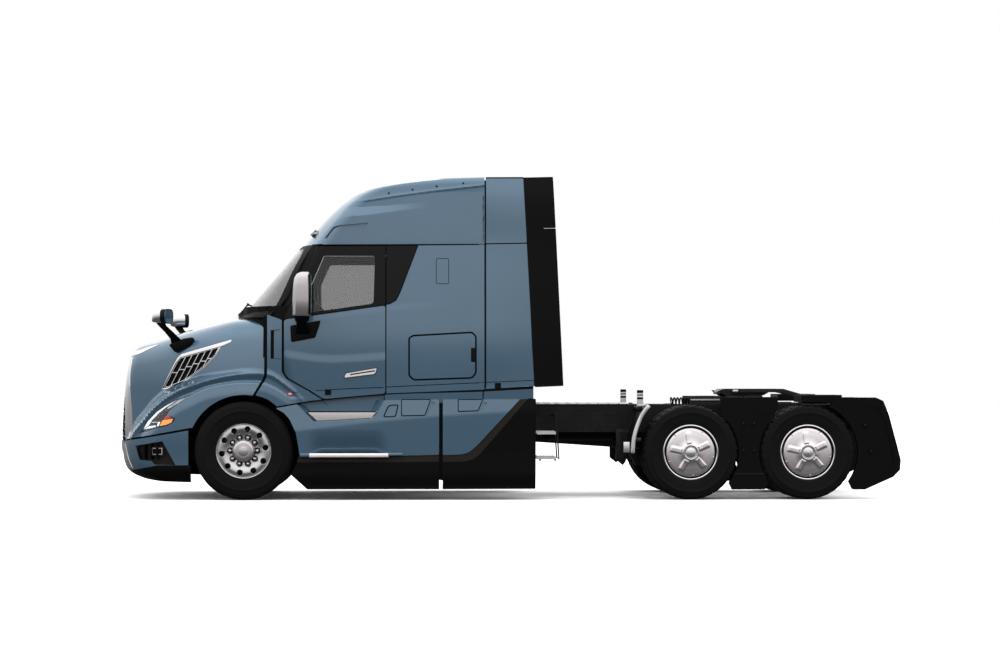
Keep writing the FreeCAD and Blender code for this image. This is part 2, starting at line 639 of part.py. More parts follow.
HOOD_REAR_LINE = [(215.0, 2100.0), (212.0, 1319.0), (196.0, 1277.0), (92.0, 1097.0), (30.0, 980.0)]
# outline of the fender bulge, x and z: the upper ridge, then the lip nearer the arch
RIDGE = [(-1260.0, 560.0), (-1200.0, 700.0), (-1081.0, 856.0), (-987.0, 960.0), (-777.0, 1119.0),
         (-462.0, 1245.0),
         (-252.0, 1302.0), (63.0, 1340.0), (240.0, 1324.0)]
LIP = [(-1160.0, 560.0), (-1100.0, 690.0), (-985.0, 800.0), (-880.0, 905.0), (-690.0, 1050.0),
       (-406.0, 1182.0),
       (-210.0, 1226.0), (0.0, 1245.0), (240.0, 1228.0)]
FENDER_Y = 1200.0
RIDGE_Y = 1120.0


def hood_body(d):
    """The closed form of the hood without fenders, its skin moved in by d."""
    sections = []
    for x, z_mid, shoulder, foot in HOOD_SECTIONS:
        half = [(0.0, z_mid - d)] + [(y - 0.45 * d if i < 2 else y - 0.8 * d,
                                      z - 0.85 * d if i < 2 else z - 0.5 * d)
                                    for i, (y, z) in enumerate(shoulder)]
        half += [(foot[0] - d, foot[1]), (foot[0] - d, 560.0)]
        ring = half + [(-y, z) for y, z in reversed(half[1:])]
        sections.append([(x, y, z) for y, z in ring])
    return loft(sections).common(nose_tool(NOSE[2:], d))


def fender_form(d):
    """One fender bulge at +Y: an inner prism under the ridge and a ruled band out to the lip."""
    ridge = RIDGE + [(240.0, 560.0)]
    lip = LIP + [(240.0, 560.0)]
    if d:
        ridge, lip = inset(ridge, d), inset(lip, d)
    block = prism_xz(ridge, 600.0, RIDGE_Y - d)
    band = loft([[(x, RIDGE_Y - d - 2, z) for x, z in ridge], [(x, FENDER_Y - d, z) for x, z in lip]])
    return fuse(block, band).common(nose_tool(NOSE[2:], d))


def hood_form(d):
    fender = fender_form(d)
    return fuse(hood_body(d), fender, mirrored(fender))


def hood_limits():
    """Space that the hood may fill: over the bumper seam and ahead of the cab."""
    seam = [(x, z + (NOSE_SEAM_GAP if i < 2 else SEAM_GAP)) for i, (x, z) in enumerate(SEAM)]
    rear = [(x, z) for x, z in HOOD_REAR_LINE]
    outline = seam + [(-560.0, 560.0), (30.0, 560.0)] + list(reversed(rear)) + [(-1500.0, 2100.0)]
    return cut(prism_xz(outline, -1400, 1400), cowl_plan(0.0, 1750.0))


def cowl_plan(gap, z0):
    """The space behind the hood's curved rear edge, from z0 up."""
    half = [(x + gap, y - 0.5 * gap) for x, y in HOOD_REAR_PLAN]
    half.append((CAB_FRONT, HOOD_REAR_PLAN[-1][1] - 0.5 * gap))
    ring = half + [(x, -y) for x, y in reversed(half[1:])]
    return prism_xy(ring, z0, 2200.0)


# openings: x and z of the side vent, y and z of the grille, x and z of the lamp
VENT = [(-905.0, 1165.0), (-764.0, 1435.0), (-722.0, 1512.0), (-670.0, 1550.0), (-200.0, 1683.0),
        (-237.0, 1626.0),
        (-300.0, 1525.0), (-416.0, 1420.0), (-626.0, 1280.0)]
GRILLE = [(-395.0, 640.0), (395.0, 640.0), (520.0, 900.0), (545.0, 1300.0), (500.0, 1478.0), (430.0, 1500.0),
          (-430.0, 1500.0), (-500.0, 1478.0), (-545.0, 1300.0), (-520.0, 900.0)]
LAMP = [(-1150.0, 712.0), (-1100.0, 800.0), (-1000.0, 880.0), (-880.0, 975.0), (-716.0, 1058.0),
        (-548.0, 1118.0),
        (-716.0, 1002.0), (-790.0, 950.0), (-800.0, 890.0), (-716.0, 868.0), (-737.0, 823.0),
        (-800.0, 780.0)]
VENT_Y0, VENT_Y1 = 700.0, 1300.0
LAMP_Y0 = 760.0
INSERT_T = 40.0


def grille_prism():
    return prism_yz(GRILLE, -1500.0, -1050.0)


def vent_prism():
    return prism_xz(VENT, VENT_Y0, VENT_Y1)


def lamp_prism():
    return prism_xz(LAMP, LAMP_Y0, 1400.0)


def wheelhouse():
    """Wheel arch at +Y: narrow at the lip, wider inboard where the steered tyre swings."""
    return fuse(rod_y(0, FRONT_TYRE_R, ARCH_R, 560, 1400), rod_y(0, FRONT_TYRE_R, WHEELHOUSE_R, 560, LIP_Y))


def hood_shell(d0, d1):
    return cut(hood_form(d0), hood_form(d1))


def make_hood():
    skin = hood_shell(0.0, HOOD_T).common(hood_limits())
    house = wheelhouse()
    px, pz = HOOD_PIVOT
    notches = [box(px - 30, px + 30, s * HOOD_HINGE_Y - HOOD_TAB_W / 2 - 1,
                   s * HOOD_HINGE_Y + HOOD_TAB_W / 2 + 1,
                   pz, pz + HOOD_TAB_R + 6) for s in (-1, 1)]
    tools = [house, mirrored(house), grille_prism(), vent_prism(), mirrored(vent_prism()), lamp_prism(),
             mirrored(lamp_prism())]
    shell = largest(cut(skin, *tools, *notches))
    return fuse(shell, hood_ears(-HOOD_HINGE_Y), hood_ears(HOOD_HINGE_Y))


def bars(outline_box, count, slant, width):
    """Slanting bars across an opening, as x and z parallelograms."""
    (x0, z0), (x1, z1) = outline_box
    step = (x1 - x0) / count
    return [[(x0 + i * step, z0), (x0 + i * step + width, z0), (x0 + i * step + width + slant, z1),
             (x0 + i * step + slant, z1)] for i in range(-2, count + 1)]


def make_grille():
    """Grille frame with its bars, and both side vents, set flush in the hood."""
    ring = cut(prism_yz(GRILLE, -1500, -1050), prism_yz(inset(GRILLE, 34), -1501, -1049))
    slats = [box(-1500, -1050, -560, 560, 700 + 88 * i, 712 + 88 * i) for i in range(9)]
    posts = [box(-1500, -1050, 96 * i - 6, 96 * i + 6, 600, 1520) for i in range(-5, 6)]
    lattice = fuse(*slats, *posts).common(prism_yz(inset(GRILLE, 30), -1500, -1050))
    face = hood_body(0.0).cut(hood_body(INSERT_T))
    back = hood_body(14.0).cut(hood_body(INSERT_T))
    front = fuse(face.common(ring), back.common(lattice))
    vent_ring = cut(vent_prism(), prism_xz(inset(VENT, 22), VENT_Y0 - 1, VENT_Y1 + 1))
    vent_bars = [prism_xz(b, VENT_Y0, VENT_Y1) for b in bars(((-980.0, 1150.0), (-200.0, 1700.0)), 9,
                                                             170.0, 10.0)]
    rail = prism_xz([(-860.0, 1290.0), (-230.0, 1590.0), (-230.0, 1602.0), (-860.0, 1302.0)], VENT_Y0,
                    VENT_Y1)
    web = fuse(rail, *vent_bars).common(prism_xz(inset(VENT, 18), VENT_Y0, VENT_Y1))
    side = fuse(face.common(vent_ring), back.common(web))
    return Part.makeCompound(solids_of(front, side, mirrored(side)))


def make_headlamps():
    lamp = hood_shell(1.0, INSERT_T).common(lamp_prism()).common(hood_limits())
    return both(largest(lamp))


def make_hood_mirrors():
    """Convex mirrors on stalks at the hood's shoulders."""
    foot = prism_xz([(-805.0, 1560.0), (-748.0, 1500.0), (-600.0, 1580.0), (-545.0, 1690.0),
                     (-640.0, 1700.0),
                     (-800.0, 1620.0)], 780.0, 900.0)
    foot = cut(foot, hood_body(0.0), vent_prism())
    stalk = loft([[(-800.0, 840.0, 1590.0), (-650.0, 850.0, 1600.0), (-650.0, 905.0, 1640.0),
                   (-800.0, 895.0, 1630.0)],
                  [(-955.0, 1020.0, 1872.0), (-850.0, 1020.0, 1872.0), (-850.0, 1075.0, 1878.0),
                   (-955.0, 1075.0, 1878.0)]])
    head = rounded_prism_xz([(-980.0, 1872.0), (-975.0, 1960.0), (-925.0, 2005.0), (-870.0, 2020.0),
                             (-785.0, 2020.0),
                             (-798.0, 1862.0)], 14.0, 950.0, 1140.0)
    whole = fuse(cut(fuse(stalk, head), hood_body(0.0), vent_prism()), foot)
    return both(largest(whole))


# ---------------------------------------------------------------- cab
# plan outlines of the cab: z, x on the centre line, at y 550, corner 1, corner 2, start of the side (x, y)
CAB_LOW = [
    (CAB_FLOOR, CAB_FRONT, CAB_FRONT, (CAB_FRONT, 900.0), (CAB_FRONT, 1128.0), (470.0, 1180.0)),
    (1600.0, CAB_FRONT, CAB_FRONT, (CAB_FRONT, 900.0), (CAB_FRONT, 1122.0), (470.0, 1190.0)),
    (BELT_Z, CAB_FRONT, CAB_FRONT, (CAB_FRONT, 900.0), (CAB_FRONT, 1085.0), (470.0, 1170.0)),
]
ROOF_SEAM_Y = 1125.0         # half width of the cab at the roof seam
CAB_HIGH = [
    (BELT_Z, 5.0, 45.0, (215.0, 900.0), (375.0, 1075.0), (470.0, 1170.0)),
    (ROOF_SEAM, 572.0, 590.0, (650.0, 900.0), (720.0, 1040.0), (800.0, ROOF_SEAM_Y)),
]
ROOF_FRONT = [
    (ROOF_SEAM, 572.0, 590.0, (650.0, 900.0), (720.0, 1040.0), (800.0, ROOF_SEAM_Y)),
    (3460.0, 1232.0, 1255.0, (1330.0, 850.0), (1400.0, 960.0), (1500.0, 1100.0)),
]


def cab_form(levels, d, rear=CAB_REAR):
    """Closed cab volume through the plan outlines, its skin moved in by d."""
    sections = []
    for z, xm, x1, c1, c2, s in levels:
        half = [(xm + d, 0.0), (x1 + d, 550.0), (c1[0] + 0.9 * d, c1[1] - 0.3 * d),
                (c2[0] + 0.7 * d, c2[1] - 0.7 * d),
                (s[0] + 0.2 * d, s[1] - d), (rear - d, s[1] - d)]
        ring = half + [(x, -y) for x, y in reversed(half[1:])]
        sections.append([(x, y, z) for x, y in ring])
    return loft(sections)


def cab_shell(d0, d1):
    """Walls between two depths below the skin, belt to floor and belt to roof seam."""
    low = cut(cab_form(CAB_LOW, d0), cab_form(CAB_LOW, d1))
    high = cut(cab_form(CAB_HIGH, d0), cab_form(CAB_HIGH, d1))
    return fuse(low, high)


DOOR = [(DOOR_FRONT, 1898.0), (DOOR_FRONT, 1350.0), (452.0, 1290.0), (699.0, 1150.0 + FLOOR_T),
        (DOOR_REAR, 1150.0 + FLOOR_T), (DOOR_REAR, 2692.0), (765.0, 2692.0)]
WINDOW = [(828.0, 2580.0), (1381.0, 2580.0), (1381.0, 2076.0), (690.0, 1976.0), (690.0, 2270.0)]
HANDLE = [(1050.0, 1285.0), (1090.0, 1330.0), (1400.0, 1392.0), (1380.0, 1335.0)]
BAGGAGE = [(1741.0, 1700.0), (1790.0, 1735.0), (2415.0, 1768.0), (2448.0, 1730.0), (2448.0, 1300.0),
           (2406.0, 1275.0),
           (1794.0, 1266.0), (1741.0, 1310.0)]
WINDSCREEN = [(-960.0, 2100.0), (960.0, 2100.0), (905.0, 2655.0), (-905.0, 2655.0)]


def door_prism(gap):
    return prism_xz(inset(DOOR, gap) if gap else DOOR, 900.0, 1400.0)


def baggage_prism(gap):
    return prism_xz(inset(BAGGAGE, gap) if gap else BAGGAGE, 1080.0, 1400.0)


def windscreen_prism(d):
    return prism_yz(inset(WINDSCREEN, d), -200.0, 900.0)


BARREL_R = 9.0
BARREL_GAP = 3.0
HINGE_PIN_R = 4.0
LEAF = 20.0                  # half height of a hinge's middle leaf
DOOR_HINGE = (DOOR_FRONT + MOVING_GAP / 2, 1173.0, (1400.0, 1600.0))
LID_GAP = 10.0
LID_T = 40.0
LID_HINGE = (BAGGAGE[0][0] + LID_GAP / 2, 1186.0, (1400.0, 1600.0))


def hinge_fixed(x, y, levels):
    """Outer leaves and pins of the hinges at these heights."""
    out = []
    for z in levels:
        out += [rod_z(x, y, BARREL_R, z - 3 * LEAF, z - LEAF), rod_z(x, y, BARREL_R, z + LEAF, z + 3 * LEAF),
                rod_z(x, y, HINGE_PIN_R, z - 3 * LEAF, z + 3 * LEAF)]
    return out


def with_fixed_leaves(wall, x, y, levels):
    rooms = [rod_z(x, y, BARREL_R + BARREL_GAP, z - LEAF, z + LEAF) for z in levels]
    return fuse(cut(wall, *rooms), *hinge_fixed(x, y, levels))


def with_moving_leaves(lid, x, y, levels):
    rooms = [rod_z(x, y, BARREL_R + BARREL_GAP, z - 3 * LEAF - 1, z - LEAF + 1) for z in levels]
    rooms += [rod_z(x, y, BARREL_R + BARREL_GAP, z + LEAF - 1, z + 3 * LEAF + 1) for z in levels]
    leaves = [rod_z(x, y, BARREL_R, z - LEAF + 1, z + LEAF - 1) for z in levels]
    bores = [rod_z(x, y, HINGE_PIN_R + RUNNING_GAP, z - 4 * LEAF, z + 4 * LEAF) for z in levels]
    return cut(fuse(cut(lid, *rooms), *leaves), *bores)


def make_cab_side(side):
    """Side wall with the door aperture, the baggage aperture and the sill."""
    wall = cab_shell(0.0, WALL)
    region = box(0, CAB_REAR - WALL, SIDE_SPLIT_Y, 1400, CAB_FLOOR + FLOOR_T, ROOF_SEAM)
    wall = wall.common(region)
    wall = largest(cut(wall, door_prism(0.0), baggage_prism(0.0)))
    wall = with_fixed_leaves(with_fixed_leaves(wall, *DOOR_HINGE), *LID_HINGE)
    return on_side(wall, side)


def make_cab_floor():
    slab = cab_form(CAB_LOW, 0.0).common(box(0, CAB_REAR, -1400, 1400, CAB_FLOOR, CAB_FLOOR + FLOOR_T))
    house = wheelhouse()
    return cut(slab, house, mirrored(house))


def make_cab_front():
    """Firewall, windscreen surround and header between the two sides."""
    wall = cab_shell(0.0, WALL)
    region = box(0, CAB_REAR - 300, -SIDE_SPLIT_Y, SIDE_SPLIT_Y, CAB_FLOOR + FLOOR_T, ROOF_SEAM)
    shelf = cab_form(CAB_HIGH, 0.0).common(box(-50, CAB_FRONT + WALL, -SIDE_SPLIT_Y, SIDE_SPLIT_Y, BELT_Z,
                                               BELT_Z + 30))
    wall = fuse(wall.common(region), shelf)
    door = door_prism(0.0)
    return largest(cut(wall, windscreen_prism(0.0), door, mirrored(door)))


def make_cab_back():
    region = box(CAB_REAR - WALL, CAB_REAR, -1400, 1400, CAB_FLOOR + FLOOR_T, ROOF_SEAM)
    return fuse(cab_form(CAB_LOW, 0.0).common(region), cab_form(CAB_HIGH, 0.0).common(region))


def make_windscreen():
    glass = cut(cab_form(CAB_HIGH, 12.0), cab_form(CAB_HIGH, 12.0 + GLASS_T))
    return largest(glass.common(windscreen_prism(0.0)))


def make_door(side):
    wall = cab_shell(0.0, WALL).common(door_prism(MOVING_GAP))
    window = prism_xz(WINDOW, 900.0, 1400.0)
    handle = rounded_prism_xz(HANDLE, 8.0, 1180.0, 1212.0)
    body = largest(cut(wall, window))
    return on_side(with_moving_leaves(fuse(body, handle), *DOOR_HINGE), side)


def make_door_glass(side):
    glass = cut(cab_form(CAB_HIGH, 26.0), cab_form(CAB_HIGH, 26.0 + GLASS_T))
    low = cut(cab_form(CAB_LOW, 26.0), cab_form(CAB_LOW, 26.0 + GLASS_T))
    pane = fuse(glass, low).common(prism_xz(WINDOW, 900.0, 1400.0))
    return on_side(largest(pane), side)


def make_baggage_door(side):
    lid = largest(cab_shell(0.0, LID_T).common(baggage_prism(LID_GAP)))
    return on_side(with_moving_leaves(lid, *LID_HINGE), side)


def make_door_mirror(side):
    """Tall mirror head on an arm from its base on the door."""
    base = prism_xz([(490.0, 1838.0), (812.0, 1896.0), (755.0, 1712.0), (500.0, 1664.0)], 1150.0, 1212.0)
    base = cut(base, cab_form(CAB_LOW, 0.0))
    arm = loft([[(590.0, 1200.0, 1740.0), (720.0, 1200.0, 1760.0), (720.0, 1200.0, 1850.0),
                 (590.0, 1200.0, 1830.0)],
                [(590.0, 1400.0, 1880.0), (670.0, 1400.0, 1880.0), (670.0, 1400.0, 1950.0),
                 (590.0, 1400.0, 1950.0)]])
    head = rounded_prism_xz([(525.0, 1935.0), (530.0, 2250.0), (560.0, 2372.0), (700.0, 2395.0),
                             (714.0, 1935.0)], 22.0,
                            1330.0, 1560.0)
    whole = fuse(base, cut(arm, cab_form(CAB_LOW, 0.0)), head)
    return on_side(largest(whole), side)


# cross sections of the roof fairing: x, then half section points (y, z) from the middle to the seam
ROOF_SECTIONS = [
    (560.0, [(0.0, 2708.0), (600.0, 2707.5), (860.0, 2707.0), (1000.0, 2706.5), (1080.0, 2706.0)]),
    (610.0, [(0.0, 2742.0), (600.0, 2738.0), (860.0, 2732.0), (1010.0, 2725.0), (1100.0, 2715.0)]),
    (1004.0, [(0.0, 3200.0), (560.0, 3190.0), (800.0, 3160.0), (985.0, 3105.0), (1085.0, 2960.0)]),
    (1110.0, [(0.0, 3276.0), (560.0, 3266.0), (810.0, 3228.0), (1000.0, 3148.0), (1092.0, 3000.0)]),
    (1216.0, [(0.0, 3324.0), (580.0, 3313.0), (830.0, 3268.0), (1020.0, 3168.0), (1098.0, 3020.0)]),
    (1430.0, [(0.0, 3366.0), (600.0, 3354.0), (860.0, 3305.0), (1045.0, 3197.0), (1105.0, 3050.0)]),
    (1856.0, [(0.0, 3412.0), (640.0, 3400.0), (900.0, 3352.0), (1062.0, 3256.0), (1110.0, 3120.0)]),
    (CAB_REAR, [(0.0, 3446.0), (700.0, 3434.0), (950.0, 3398.0), (1078.0, 3335.0), (1114.0, 3200.0)]),
]
ROOF_T = 40.0


def roof_form(d):
    sections = []
    for x, half in ROOF_SECTIONS:
        pts = [(y - (0.6 * d if i > 2 else 0.0), z - 0.9 * d) for i, (y, z) in enumerate(half)]
        pts += [(ROOF_SEAM_Y - d, ROOF_SEAM - 1.0 if not d else ROOF_SEAM - 60.0)]
        pts = [(y, max(z, pts[-1][1] + 0.5)) for y, z in pts[:-1]] + [pts[-1]]
        ring = pts + [(-y, z) for y, z in reversed(pts[1:])]
        sections.append([(x if not d or x < CAB_REAR - 1 else CAB_REAR + 50, y, z) for y, z in ring])
    return loft(sections).common(cab_form(ROOF_FRONT, d, CAB_REAR + (0 if not d else 2 * d + 60)))


def make_roof():
    """Roof cap and fairing in one moulding, with a header board closing the living space below."""
    shell = cut(roof_form(0.0), roof_form(ROOF_T))
    above = box(0, CAB_REAR, -1400, 1400, ROOF_SEAM, 3600)
    back = roof_form(0.0).common(box(CAB_REAR - WALL, CAB_REAR, -1400, 1400, ROOF_SEAM, 3600))
    return fuse(shell.common(above), back)


# side extenders: z, skin y at the front, x and skin y at the painted edge, x and skin y at the flap's edge
EXTENDERS = [
    (1198.0, 1181.0, 3061.0, 1216.0, 3370.0, 1236.0),
    (1600.0, 1190.0, 3040.0, 1220.0, 3350.0, 1238.0),
    (BELT_Z, 1170.0, 3020.0, 1206.0, 3330.0, 1228.0),
    (ROOF_SEAM, ROOF_SEAM_Y, 2986.0, 1172.0, 3300.0, 1198.0),
    (3200.0, 1114.0, 2963.0, 1150.0, 3276.0, 1172.0),
    (3420.0, 1080.0, 2954.0, 1110.0, 3267.0, 1128.0),
]
EXTENDER_GAP = 12.0
EXTENDER_T = 34.0
FLAP_T = 14.0


def make_extenders():
    x0 = CAB_REAR + EXTENDER_GAP
    panel = loft([[(x0, y0, z), (x1, y1, z), (x1, y1 - EXTENDER_T, z), (x0, y0 - EXTENDER_T, z)]
                  for z, y0, x1, y1, x2, y2 in EXTENDERS])
    brackets = [box(CAB_REAR, x0 + 40, 1020, 1075, z, z + 60) for z in (1500, 2300, 2900)]
    links = [box(x0 + 20, x0 + 70, 1020, 1200, z, z + 60) for z in (1500, 2300, 2900)]
    outside = loft([[(x0 - 100, y0 + 300, z), (x1 + 100, y1 + 300, z), (x1 + 100, y1 - 5, z),
                     (x0 - 100, y0 - 5, z)]
                    for z, y0, x1, y1, x2, y2 in EXTENDERS])
    stays = [cut(fuse(b, l), outside) for b, l in zip(brackets, links)]
    return both(fuse(panel, *stays))


def make_flaps():
    flap = loft([[(x1, y1 - 6, z), (x2, y2 - 2, z), (x2, y2 - 2 - FLAP_T, z), (x1, y1 - 6 - FLAP_T, z)]
                 for z, y0, x1, y1, x2, y2 in EXTENDERS])
    return both(flap)


def make_cowl():
    """Black cowl panel between the hood and the windscreen, with the wipers."""
    wedge = prism_xz([(-128.0, 1962.0), (2.0, 2045.0), (CAB_FRONT, 2050.0), (CAB_FRONT, 1900.0),
                      (60.0, 1900.0)],
                     -SIDE_SPLIT_Y - 5, SIDE_SPLIT_Y + 5)
    return wedge.common(cowl_plan(MOVING_GAP, 1750.0))


# ---------------------------------------------------------------- inside the cab
SEAT_X, SEAT_Y = 1130.0, 540.0
INNER_FLOOR = CAB_FLOOR + FLOOR_T


def make_seats():
    base = box(SEAT_X - 200, SEAT_X + 200, SEAT_Y - 190, SEAT_Y + 190, INNER_FLOOR, 1540)
    cushion = rounded_prism_xz([(SEAT_X - 270, 1540), (SEAT_X - 270, 1660), (SEAT_X + 230, 1640),
                                (SEAT_X + 230, 1540)],
                               35.0, SEAT_Y - 250, SEAT_Y + 250)
    back = rounded_prism_xz([(SEAT_X + 150, 1620), (SEAT_X + 260, 2300), (SEAT_X + 350, 2300),
                             (SEAT_X + 290, 1600)],
                            30.0, SEAT_Y - 240, SEAT_Y + 240)
    head = rounded_prism_xz([(SEAT_X + 255, 2290), (SEAT_X + 270, 2460), (SEAT_X + 340, 2460),
                             (SEAT_X + 350, 2290)],
                            20.0, SEAT_Y - 140, SEAT_Y + 140)
    return both(fuse(base, cushion, back, head))


DASH_REAR = 760.0
WHEEL_HUB = (878.0, -SEAT_Y, 1915.0)
COLUMN = (650.0 - 878.0, 0.0, 1740.0 - 1915.0)   # from the wheel down the column
WHEEL_BOSS_L = 36.0


def make_dashboard():
    form = cab_form(CAB_LOW, WALL)
    board = prism_xz([(CAB_FRONT + WALL, 1500), (520, 1500), (DASH_REAR, 1700), (DASH_REAR - 20, 1950),
                      (CAB_FRONT + WALL, BELT_Z - 5)], -1020, 1020).common(form)
    away = V(*COLUMN).normalize() * (WHEEL_BOSS_L / 2 + 0.5)
    column = rod_between((650, -SEAT_Y, 1740), tuple(V(*WHEEL_HUB) + away), 36)
    return fuse(board, column)


def make_steering_wheel():
    axis = V(*COLUMN).normalize()
    hub = V(*WHEEL_HUB)
    rim = Part.makeTorus(222, 16, hub, axis)
    boss = Part.makeCylinder(60, WHEEL_BOSS_L, hub - axis * (WHEEL_BOSS_L / 2), axis)
    across = V(0, 1, 0)
    up = axis.cross(across).normalize()
    spokes = []
    for direction in (across, across * -1, up):
        spokes.append(Part.makeCylinder(13, 215, hub, direction))
    return fuse(rim, boss, *spokes)


BUNK_Z = 1790.0


def make_bunk():
    form = cab_form(CAB_LOW, WALL)
    deck = box(1580, CAB_REAR - WALL, -1120, 1120, BUNK_Z, BUNK_Z + 60).common(form)
    mattress = rounded_prism_xz([(1620, BUNK_Z + 60), (1620, BUNK_Z + 200),
                                 (CAB_REAR - WALL - 10, BUNK_Z + 200),
                                 (CAB_REAR - WALL - 10, BUNK_Z + 60)], 40.0, -1040, 1040)
    return fuse(deck, mattress)


# ---------------------------------------------------------------- chassis fairings, steps and deck
SKIRT_REAR = 3078.0
SKIRT_TOP = 1060.0
SEAM_X0, SEAM_X1 = 2058.0, 2100.0
SKIRT_DIAGONAL = [(2200.0, SKIRT_SPLIT), (2285.0, 470.0), (2375.0, 522.0), (2905.0, SKIRT_TOP + 20)]
CAB_LINE = [(300.0, 955.0), (563.0, 1005.0), (804.0, 1050.0), (1499.0, 1108.0), (2068.0, 1130.0),
            (SKIRT_REAR, 1136.0)]
STEP_HIGH = [(640.0, 1130.0), (1480.0, 1130.0), (1400.0, 940.0), (1352.0, 866.0), (754.0, 836.0),
             (659.0, 940.0)]
TOE_HOLDS = [[(1484.0, 887.0), (1531.0, 1013.0), (1632.0, 1013.0), (1612.0, 887.0)],
             [(1665.0, 1030.0), (1946.0, 1030.0), (1906.0, 892.0), (1668.0, 882.0)],
             [(2247.0, 1030.0), (2504.0, 1030.0), (2475.0, 939.0), (2257.0, 929.0)]]
LOW_HOLLOW = [(700.0, 520.0), (1520.0, 522.0), (1510.0, 600.0), (740.0, 590.0)]
TOE_DEPTH = 22.0
STEP_LOW_Z0, STEP_LOW_Z1 = 452.0, 499.0
STEP_LOW_X0, STEP_LOW_X1 = 692.0, 1526.0
STAY_X = (1640.0, 3030.0)


def skirt_form(d):
    """The fairing's closed form: upright side, shoulder sloping in at the top and a tuck at the bottom."""
    y = SKIRT_Y - d
    section = [(y - 40, SKIRT_BOTTOM), (y, 270.0), (y, 960.0), (y - 14, SKIRT_TOP - d), (y - 75, 1120.0 - d),
               (y - 75 - SKIRT_T - 40, 1140.0 - d), (900.0, 1140.0 - d), (900.0, SKIRT_BOTTOM)]
    return prism_yz(section, 300.0, SKIRT_REAR)


def skirt_outline():
    arch = [(ARCH_R * math.cos(math.radians(a)), FRONT_TYRE_R + ARCH_R * math.sin(math.radians(a)))
            for a in range(47, -8, -5)]
    lower = [(560.0, 330.0), (492.0, 275.0), (671.0, SKIRT_BOTTOM), (SKIRT_REAR, SKIRT_BOTTOM)]
    return arch + [(ARCH_R, 455.0)] + lower + list(reversed(CAB_LINE[1:]))


def skirt_panels():
    shell = cut(skirt_form(0.0), skirt_form(SKIRT_T))
    shell = cut(shell, box(200, 4000, 800, 1080, 0, 1300))
    shell = shell.common(prism_xz(skirt_outline(), 900, 1400))
    shell = cut(shell, box(SEAM_X0, SEAM_X1, 900, 1400, 0, 1300))
    toes = [prism_xz(hole, SKIRT_Y - TOE_DEPTH, 1400) for hole in [*TOE_HOLDS, LOW_HOLLOW]]
    return cut(shell, prism_xz(STEP_HIGH, 900, 1400),
               box(STEP_LOW_X0, STEP_LOW_X1, 900, 1400, STEP_LOW_Z0, STEP_LOW_Z1), *toes)


def painted_zone():
    return prism_xz([(200.0, SKIRT_SPLIT)] + SKIRT_DIAGONAL + [(2905.0, 1300.0), (200.0, 1300.0)], 900, 1400)


def make_painted_fairings():
    return both(skirt_panels().common(painted_zone()))


def make_black_fairings():
    lower = cut(skirt_panels(), painted_zone())
    stays = [box(x, x + 40, RAIL_OUT_Y, SKIRT_Y - SKIRT_T, 200, 240) for x in STAY_X]
    drops = [box(x, x + 40, RAIL_OUT_Y, RAIL_OUT_Y + 30, 200, RAIL_TOP - 80) for x in STAY_X]
    return both(fuse(lower, *stays, *drops))


def make_steps():
    """Cab steps on both sides, the deck behind the cab and the ladder on the left."""
    high = prism_xz([(659.0, 940.0), (1400.0, 940.0), (1352.0, 866.0), (754.0, 836.0)], 1120.0, SKIRT_Y - 3)
    low = box(STEP_LOW_X0, STEP_LOW_X1, 1120, SKIRT_Y + 6, STEP_LOW_Z0, STEP_LOW_Z1)
    return both(Part.makeCompound([high, low]))


DECK_X0, DECK_X1 = 3110.0, 4130.0
DECK_T = 18.0


def make_deck():
    plate = box(DECK_X0, DECK_X1, -RAIL_OUT_Y - 20, RAIL_OUT_Y + 20, RAIL_TOP, RAIL_TOP + DECK_T)
    ladder_y0, ladder_y1 = -1190.0, -760.0
    treads = [box(3090, 3296, ladder_y0, ladder_y1, z, z + 32) for z in (690.0, 428.0)]
    strings = [prism_xz([(3288.0, 906.0), (3318.0, 428.0), (3330.0, 428.0), (3300.0, 906.0)], y, y + 14)
               for y in (ladder_y0, ladder_y1 - 14)]
    rails = [box(3290, 3312, ladder_y0, -RAIL_OUT_Y, 880, 906)]
    lower = [box(3290, 3325, ladder_y0, ladder_y1, z + 2, z + 22) for z in (690.0, 428.0)]
    return Part.makeCompound(solids_of(plate, fuse(treads[0], treads[1], *strings, *rails, *lower)))


# ---------------------------------------------------------------- rear fenders and panels
PANEL_GAP = 36.0
PANEL_Y0, PANEL_Y1 = 1120.0, 1205.0
REAR_PANEL = [(6250.0, 1081.0), (6690.0, 1081.0), (6770.0, 1045.0), (6831.0, 895.0), (6915.0, 577.0),
              (REAR_END, 418.0),
              (6946.0, 312.0), (6872.0, 238.0), (6573.0, 106.0), (6445.0, 106.0), (6405.0, 185.0),
              (6100.0, 700.0)]
REAR_HOLLOW = [(6480.0, 880.0), (6470.0, 330.0), (6530.0, 210.0), (6610.0, 190.0), (6840.0, 290.0),
               (6890.0, 400.0),
               (6850.0, 577.0), (6780.0, 860.0), (6715.0, 980.0), (6560.0, 1000.0)]
HOLLOW_DEPTH = 8.0
MID_PANEL = [(5036.0, 1086.0), (5638.0, 1086.0), (5656.0, 1012.0), (5600.0, 860.0), (5509.0, 271.0),
             (5544.0, 176.0),
             (5508.0, 107.0), (5160.0, 107.0), (5126.0, 176.0), (5172.0, 271.0), (5070.0, 860.0),
             (5036.0, 1012.0)]
MID_BOSSES = [(5282.0, 810.0), (5395.0, 810.0), (5282.0, 525.0), (5395.0, 525.0)]
REAR_BOSSES = [(6575.0, 790.0), (6635.0, 515.0)]
BOSS_R = 24.0
BOSS_RISE = 9.0


